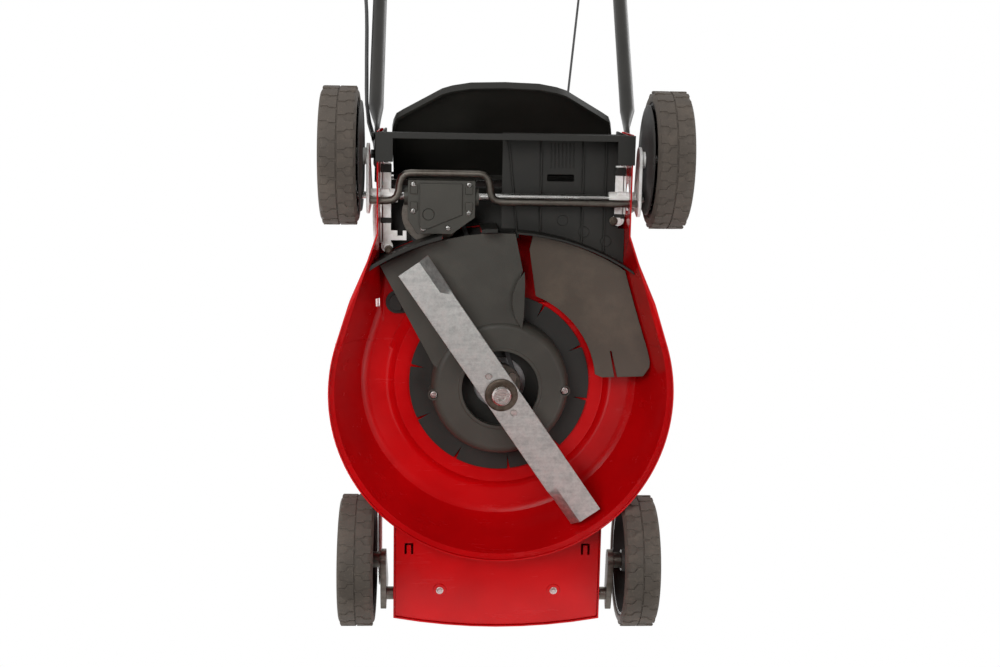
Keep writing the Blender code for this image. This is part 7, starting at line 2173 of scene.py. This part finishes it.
def make_lamp(name, place, aim, size, power):
    data = bpy.data.lights.new(name, "AREA")
    data.shape = "RECTANGLE"
    data.size = size[0]
    data.size_y = size[1]
    data.energy = power
    lamp = linked(name, data)
    ahead = (Vector(aim) - Vector(place)).normalized()
    lamp.matrix_world = Matrix.Translation(place) @ ahead.to_track_quat("-Z", "Y").to_matrix().to_4x4()
    lamp.visible_camera = False
    return lamp


def make_floor():
    """A pale floor that is seen from above only, so that the mower can be looked at from below."""
    sizes = bpy.context.scene.mower_sizes
    half = sizes.floor_size / 2
    mesh = bpy.data.meshes.new("studio_floor")
    corners = [(-half, -half, 0), (half, -half, 0), (half, half, 0), (-half, half, 0)]
    mesh.from_pydata(corners, [], [(0, 1, 2, 3)])
    floor = linked("studio_floor", mesh)
    floor.visible_shadow = False
    paint = Finish("floor_paint", 0.7)
    paint.shader.inputs["Base Color"].default_value = (0.8, 0.8, 0.8, 1)
    clear = paint.node("ShaderNodeBsdfTransparent", {}, {})
    back = paint.node("ShaderNodeNewGeometry", {}, {}, "Backfacing")
    ray = paint.node("ShaderNodeLightPath", {}, {}, "Is Camera Ray")
    white = paint.node("ShaderNodeEmission", {}, {"Color": (1, 1, 1, 1), "Strength": 1.0})
    surface = Value(paint, paint.shader.outputs[0])
    pale = paint.node("ShaderNodeMixShader", {}, [ray * 0.35, surface, white])
    both = paint.node("ShaderNodeMixShader", {}, [back, pale, clear])
    out = paint.tree.nodes["Material Output"]
    paint.tree.links.new(both.socket, out.inputs["Surface"])
    mesh.materials.append(paint.material)


def make_world():
    world = bpy.data.worlds.new("studio")
    bpy.context.scene.world = world
    world.use_nodes = True
    nodes = world.node_tree.nodes
    links = world.node_tree.links
    background = nodes["Background"]
    background.inputs["Color"].default_value = (1, 1, 1, 1)
    ray = nodes.new("ShaderNodeLightPath")
    shown_ray = nodes.new("ShaderNodeMath")
    shown_ray.operation = "MAXIMUM"
    links.new(ray.outputs["Is Camera Ray"], shown_ray.inputs[0])
    links.new(ray.outputs["Is Transmission Ray"], shown_ray.inputs[1])
    with_gloss = nodes.new("ShaderNodeMath")
    with_gloss.operation = "MAXIMUM"
    links.new(shown_ray.outputs[0], with_gloss.inputs[0])
    links.new(ray.outputs["Is Glossy Ray"], with_gloss.inputs[1])
    level = nodes.new("ShaderNodeMapRange")
    level.inputs["To Min"].default_value = 0.55
    level.inputs["To Max"].default_value = 1.0
    links.new(with_gloss.outputs[0], level.inputs["Value"])
    links.new(level.outputs[0], background.inputs["Strength"])


def make_stage():
    make_floor()
    make_world()
    make_lamp("key_lamp", (1.6, -1.4, 3.0), (0, 0, 0.3), (1.6, 1.6), 55)
    make_lamp("fill_lamp", (-2.2, 1.2, 2.2), (0, 0, 0.3), (1.8, 1.8), 28)
    make_lamp("under_lamp", (0.9, 0.7, -2.2), (0, -0.1, 0.1), (1.2, 1.2), 46)
    make_lamp("under_fill_lamp", (-1.3, -1.0, -1.8), (0, -0.1, 0.1), (1.4, 1.0), 22)
    bpy.context.scene.view_settings.view_transform = "Standard"


# Sizes and colours that a user may change

class MowerSizes(bpy.types.PropertyGroup):
    """Sizes of what the shown pieces add to the solids."""

    edge_rounding: FloatProperty(name="Edge rounding", description="Radius on the edges of most pieces",
                                 default=0.0005, min=0, soft_max=0.002, subtype="DISTANCE", unit="LENGTH")
    tread_depth: FloatProperty(name="Tread depth", description="Height of the tyres' tread blocks",
                               default=0.0016, min=0.0005, soft_max=0.003, subtype="DISTANCE", unit="LENGTH")
    tread_blocks: IntProperty(name="Tread blocks", description="Blocks round each side of a tyre",
                              default=24, min=8, max=48)
    hub_ribs: IntProperty(name="Hub ribs", description="Ribs on a wheel hub's outer face",
                          default=10, min=3, max=24)
    floor_size: FloatProperty(name="Floor", description="Width of the studio floor",
                              default=14.0, min=2, subtype="DISTANCE", unit="LENGTH")


def colour_property(slot, description, tone=(1, 1, 1)):
    """A colour whose default is the record's own for that finish, toned to the photograph."""
    known = {material["slot"]: material["base_color"] for material in RECORD["materials"]}
    default = [part * change for part, change in zip(known[slot], tone)]
    return FloatVectorProperty(name=slot.replace("_", " ").capitalize(), description=description,
                               subtype="COLOR", size=3, min=0, max=1, default=default)


class MowerColours(bpy.types.PropertyGroup):
    """Base colours of the mower's finishes."""

    red_enamel: colour_property("red_enamel", "Deck and front panel", (1.12, 0.2, 0.3))
    black_plastic: colour_property("black_plastic", "Rear chute, flap, knobs and grip", (0.6, 0.6, 0.55))
    grey_plastic: colour_property("grey_plastic", "Belt cover and gearbox", (0.75, 0.74, 0.72))
    brown_plastic: colour_property("brown_plastic", "Deflector in the deck's right rear", (0.6, 0.58, 0.53))
    tyre_rubber: colour_property("tyre_rubber", "Tyres", (1.25, 1.28, 1.25))
    hub_plastic: colour_property("hub_plastic", "Wheel hubs")
    blade_steel: colour_property("blade_steel", "Blade", (1.85, 1.98, 2.05))
    bright_steel: colour_property("bright_steel", "Drive shaft, bolts and screws", (1.4, 1.4, 1.4))
    brown_steel: colour_property("brown_steel", "Blade washer", (0.7, 0.85, 0.95))
    zinc: colour_property("zinc", "Brackets, plates and link rod", (1.45, 1.45, 1.55))
    dark_steel: colour_property("dark_steel", "Rods, axles, pinions, muffler and bails", (1.5, 1.5, 1.45))
    tube_enamel: colour_property("tube_enamel", "Handle tubes", (0.25, 0.25, 0.22))
    cast_aluminium: colour_property("cast_aluminium", "Engine block, pulleys and flywheel")
    belt_rubber: colour_property("belt_rubber", "Belt, primer and spark plug cap")
    engine_plastic: colour_property("engine_plastic", "Engine covers, tank and caps")
    rope: colour_property("rope", "Cables and starter rope")


# Operators, one for each piece or group of like pieces

class MOWER_OT_camera(bpy.types.Operator):
    """Set the camera at the photograph's viewing angle"""

    bl_idname = "mower.camera"
    bl_label = "Camera"

    def execute(self, context):
        make_camera()
        return {"FINISHED"}


class MOWER_OT_cords(bpy.types.Operator):
    """Make the two control cables, the starter rope and its grip"""

    bl_idname = "mower.cords"
    bl_label = "Cables and rope"

    def execute(self, context):
        make_cords()
        return {"FINISHED"}


class MOWER_OT_wheels(bpy.types.Operator):
    """Make the tyres with their tread, the hubs with their ribs and the ring gears"""

    bl_idname = "mower.wheels"
    bl_label = "Wheels"

    def execute(self, context):
        make_wheels()
        return {"FINISHED"}


class MOWER_OT_wheel_drive(bpy.types.Operator):
    """Make the drive shaft and its two pinions"""

    bl_idname = "mower.wheel_drive"
    bl_label = "Wheel drive"

    def execute(self, context):
        make_drive_shaft()
        return {"FINISHED"}


class MOWER_OT_height_gear(bpy.types.Operator):
    """Make the wheel plates, front arms, crank rod, link rod and height lever"""

    bl_idname = "mower.height_gear"
    bl_label = "Height gear"

    def execute(self, context):
        make_height_gear()
        return {"FINISHED"}


class MOWER_OT_dust_covers(bpy.types.Operator):
    """Make the black cups inside the rear wheels"""

    bl_idname = "mower.dust_covers"
    bl_label = "Dust covers"

    def execute(self, context):
        make_dust_covers()
        return {"FINISHED"}


class MOWER_OT_deck(bpy.types.Operator):
    """Make the pressed deck with its rim"""

    bl_idname = "mower.deck"
    bl_label = "Deck"

    def execute(self, context):
        make_deck()
        return {"FINISHED"}


class MOWER_OT_front_panel(bpy.types.Operator):
    """Make the plate under the deck's front box"""

    bl_idname = "mower.front_panel"
    bl_label = "Front panel"

    def execute(self, context):
        make_front_panel()
        return {"FINISHED"}


class MOWER_OT_rear_chute(bpy.types.Operator):
    """Make the black moulding behind the blade with its ribs"""

    bl_idname = "mower.rear_chute"
    bl_label = "Rear chute"

    def execute(self, context):
        make_rear_chute()
        return {"FINISHED"}


class MOWER_OT_flap(bpy.types.Operator):
    """Make the discharge flap, its hinge rod and spring"""

    bl_idname = "mower.flap"
    bl_label = "Flap"

    def execute(self, context):
        make_flap_parts()
        return {"FINISHED"}


class MOWER_OT_deflector(bpy.types.Operator):
    """Make the brown sheet and the side clip in the chamber's rear"""

    bl_idname = "mower.deflector"
    bl_label = "Deflector"

    def execute(self, context):
        make_chamber_parts()
        return {"FINISHED"}


class MOWER_OT_blade(bpy.types.Operator):
    """Make the blade with its raised wings and pin holes"""

    bl_idname = "mower.blade"
    bl_label = "Blade"

    def execute(self, context):
        make_blade()
        return {"FINISHED"}


class MOWER_OT_blade_drive(bpy.types.Operator):
    """Make the washer, bolt, pulley, crankshaft and belt"""

    bl_idname = "mower.blade_drive"
    bl_label = "Blade drive"

    def execute(self, context):
        make_blade_drive()
        return {"FINISHED"}


class MOWER_OT_belt_cover(bpy.types.Operator):
    """Make the dished belt cover and its slit black ring"""

    bl_idname = "mower.belt_cover"
    bl_label = "Belt cover"

    def execute(self, context):
        make_belt_cover()
        return {"FINISHED"}


class MOWER_OT_trims(bpy.types.Operator):
    """Make the lip's edging, the brackets' collars and the blade's pins"""

    bl_idname = "mower.trims"
    bl_label = "Trims"

    def execute(self, context):
        make_trims()
        return {"FINISHED"}


class MOWER_OT_gearbox(bpy.types.Operator):
    """Make the drive gearbox and its pulley"""

    bl_idname = "mower.gearbox"
    bl_label = "Gearbox"

    def execute(self, context):
        make_gearbox()
        return {"FINISHED"}


class MOWER_OT_brackets(bpy.types.Operator):
    """Make the plated brackets beside the gearbox"""

    bl_idname = "mower.brackets"
    bl_label = "Brackets"

    def execute(self, context):
        make_brackets()
        return {"FINISHED"}


class MOWER_OT_engine(bpy.types.Operator):
    """Make the engine over the deck"""

    bl_idname = "mower.engine"
    bl_label = "Engine"

    def execute(self, context):
        make_engine()
        return {"FINISHED"}


class MOWER_OT_handle(bpy.types.Operator):
    """Make the handle's tubes, knobs and bails"""

    bl_idname = "mower.handle"
    bl_label = "Handle"

    def execute(self, context):
        make_handle()
        return {"FINISHED"}


class MOWER_OT_fasteners(bpy.types.Operator):
    """Put screws and bolts where the photograph shows them"""

    bl_idname = "mower.fasteners"
    bl_label = "Fasteners"

    def execute(self, context):
        make_fasteners()
        return {"FINISHED"}


class MOWER_OT_leftovers(bpy.types.Operator):
    """Give the solids that stay their finishes"""

    bl_idname = "mower.leftovers"
    bl_label = "Plain solids"

    def execute(self, context):
        finish_solids()
        return {"FINISHED"}


class MOWER_OT_stage(bpy.types.Operator):
    """Make the floor, the world and the lamps"""

    bl_idname = "mower.stage"
    bl_label = "Stage"

    def execute(self, context):
        make_stage()
        return {"FINISHED"}


STEPS = (
    MOWER_OT_camera,
    MOWER_OT_cords,
    MOWER_OT_wheels,
    MOWER_OT_wheel_drive,
    MOWER_OT_height_gear,
    MOWER_OT_dust_covers,
    MOWER_OT_deck,
    MOWER_OT_front_panel,
    MOWER_OT_rear_chute,
    MOWER_OT_flap,
    MOWER_OT_deflector,
    MOWER_OT_blade,
    MOWER_OT_blade_drive,
    MOWER_OT_belt_cover,
    MOWER_OT_trims,
    MOWER_OT_gearbox,
    MOWER_OT_brackets,
    MOWER_OT_engine,
    MOWER_OT_handle,
    MOWER_OT_fasteners,
    MOWER_OT_leftovers,
    MOWER_OT_stage,
)


class MOWER_PT_panel(bpy.types.Panel):
    """Lists the sizes, the colours and the steps that make the mower"""

    bl_idname = "MOWER_PT_panel"
    bl_label = "Lawn mower"
    bl_space_type = "VIEW_3D"
    bl_region_type = "UI"
    bl_category = "Mower"

    def draw(self, context):
        for group in (context.scene.mower_sizes, context.scene.mower_colours):
            for name in group.__annotations__:
                self.layout.prop(group, name)
        for step in STEPS:
            self.layout.operator(step.bl_idname)


CLASSES = (MowerSizes, MowerColours, *STEPS, MOWER_PT_panel)


def register():
    for made in CLASSES:
        bpy.utils.register_class(made)
    bpy.types.Scene.mower_sizes = PointerProperty(type=MowerSizes)
    bpy.types.Scene.mower_colours = PointerProperty(type=MowerColours)


def unregister():
    del bpy.types.Scene.mower_colours
    del bpy.types.Scene.mower_sizes
    for made in reversed(CLASSES):
        bpy.utils.unregister_class(made)


def main():
    register()
    for step in STEPS:
        group, name = step.bl_idname.split(".")
        getattr(getattr(bpy.ops, group), name)()


if __name__ == "__main__":
    main()
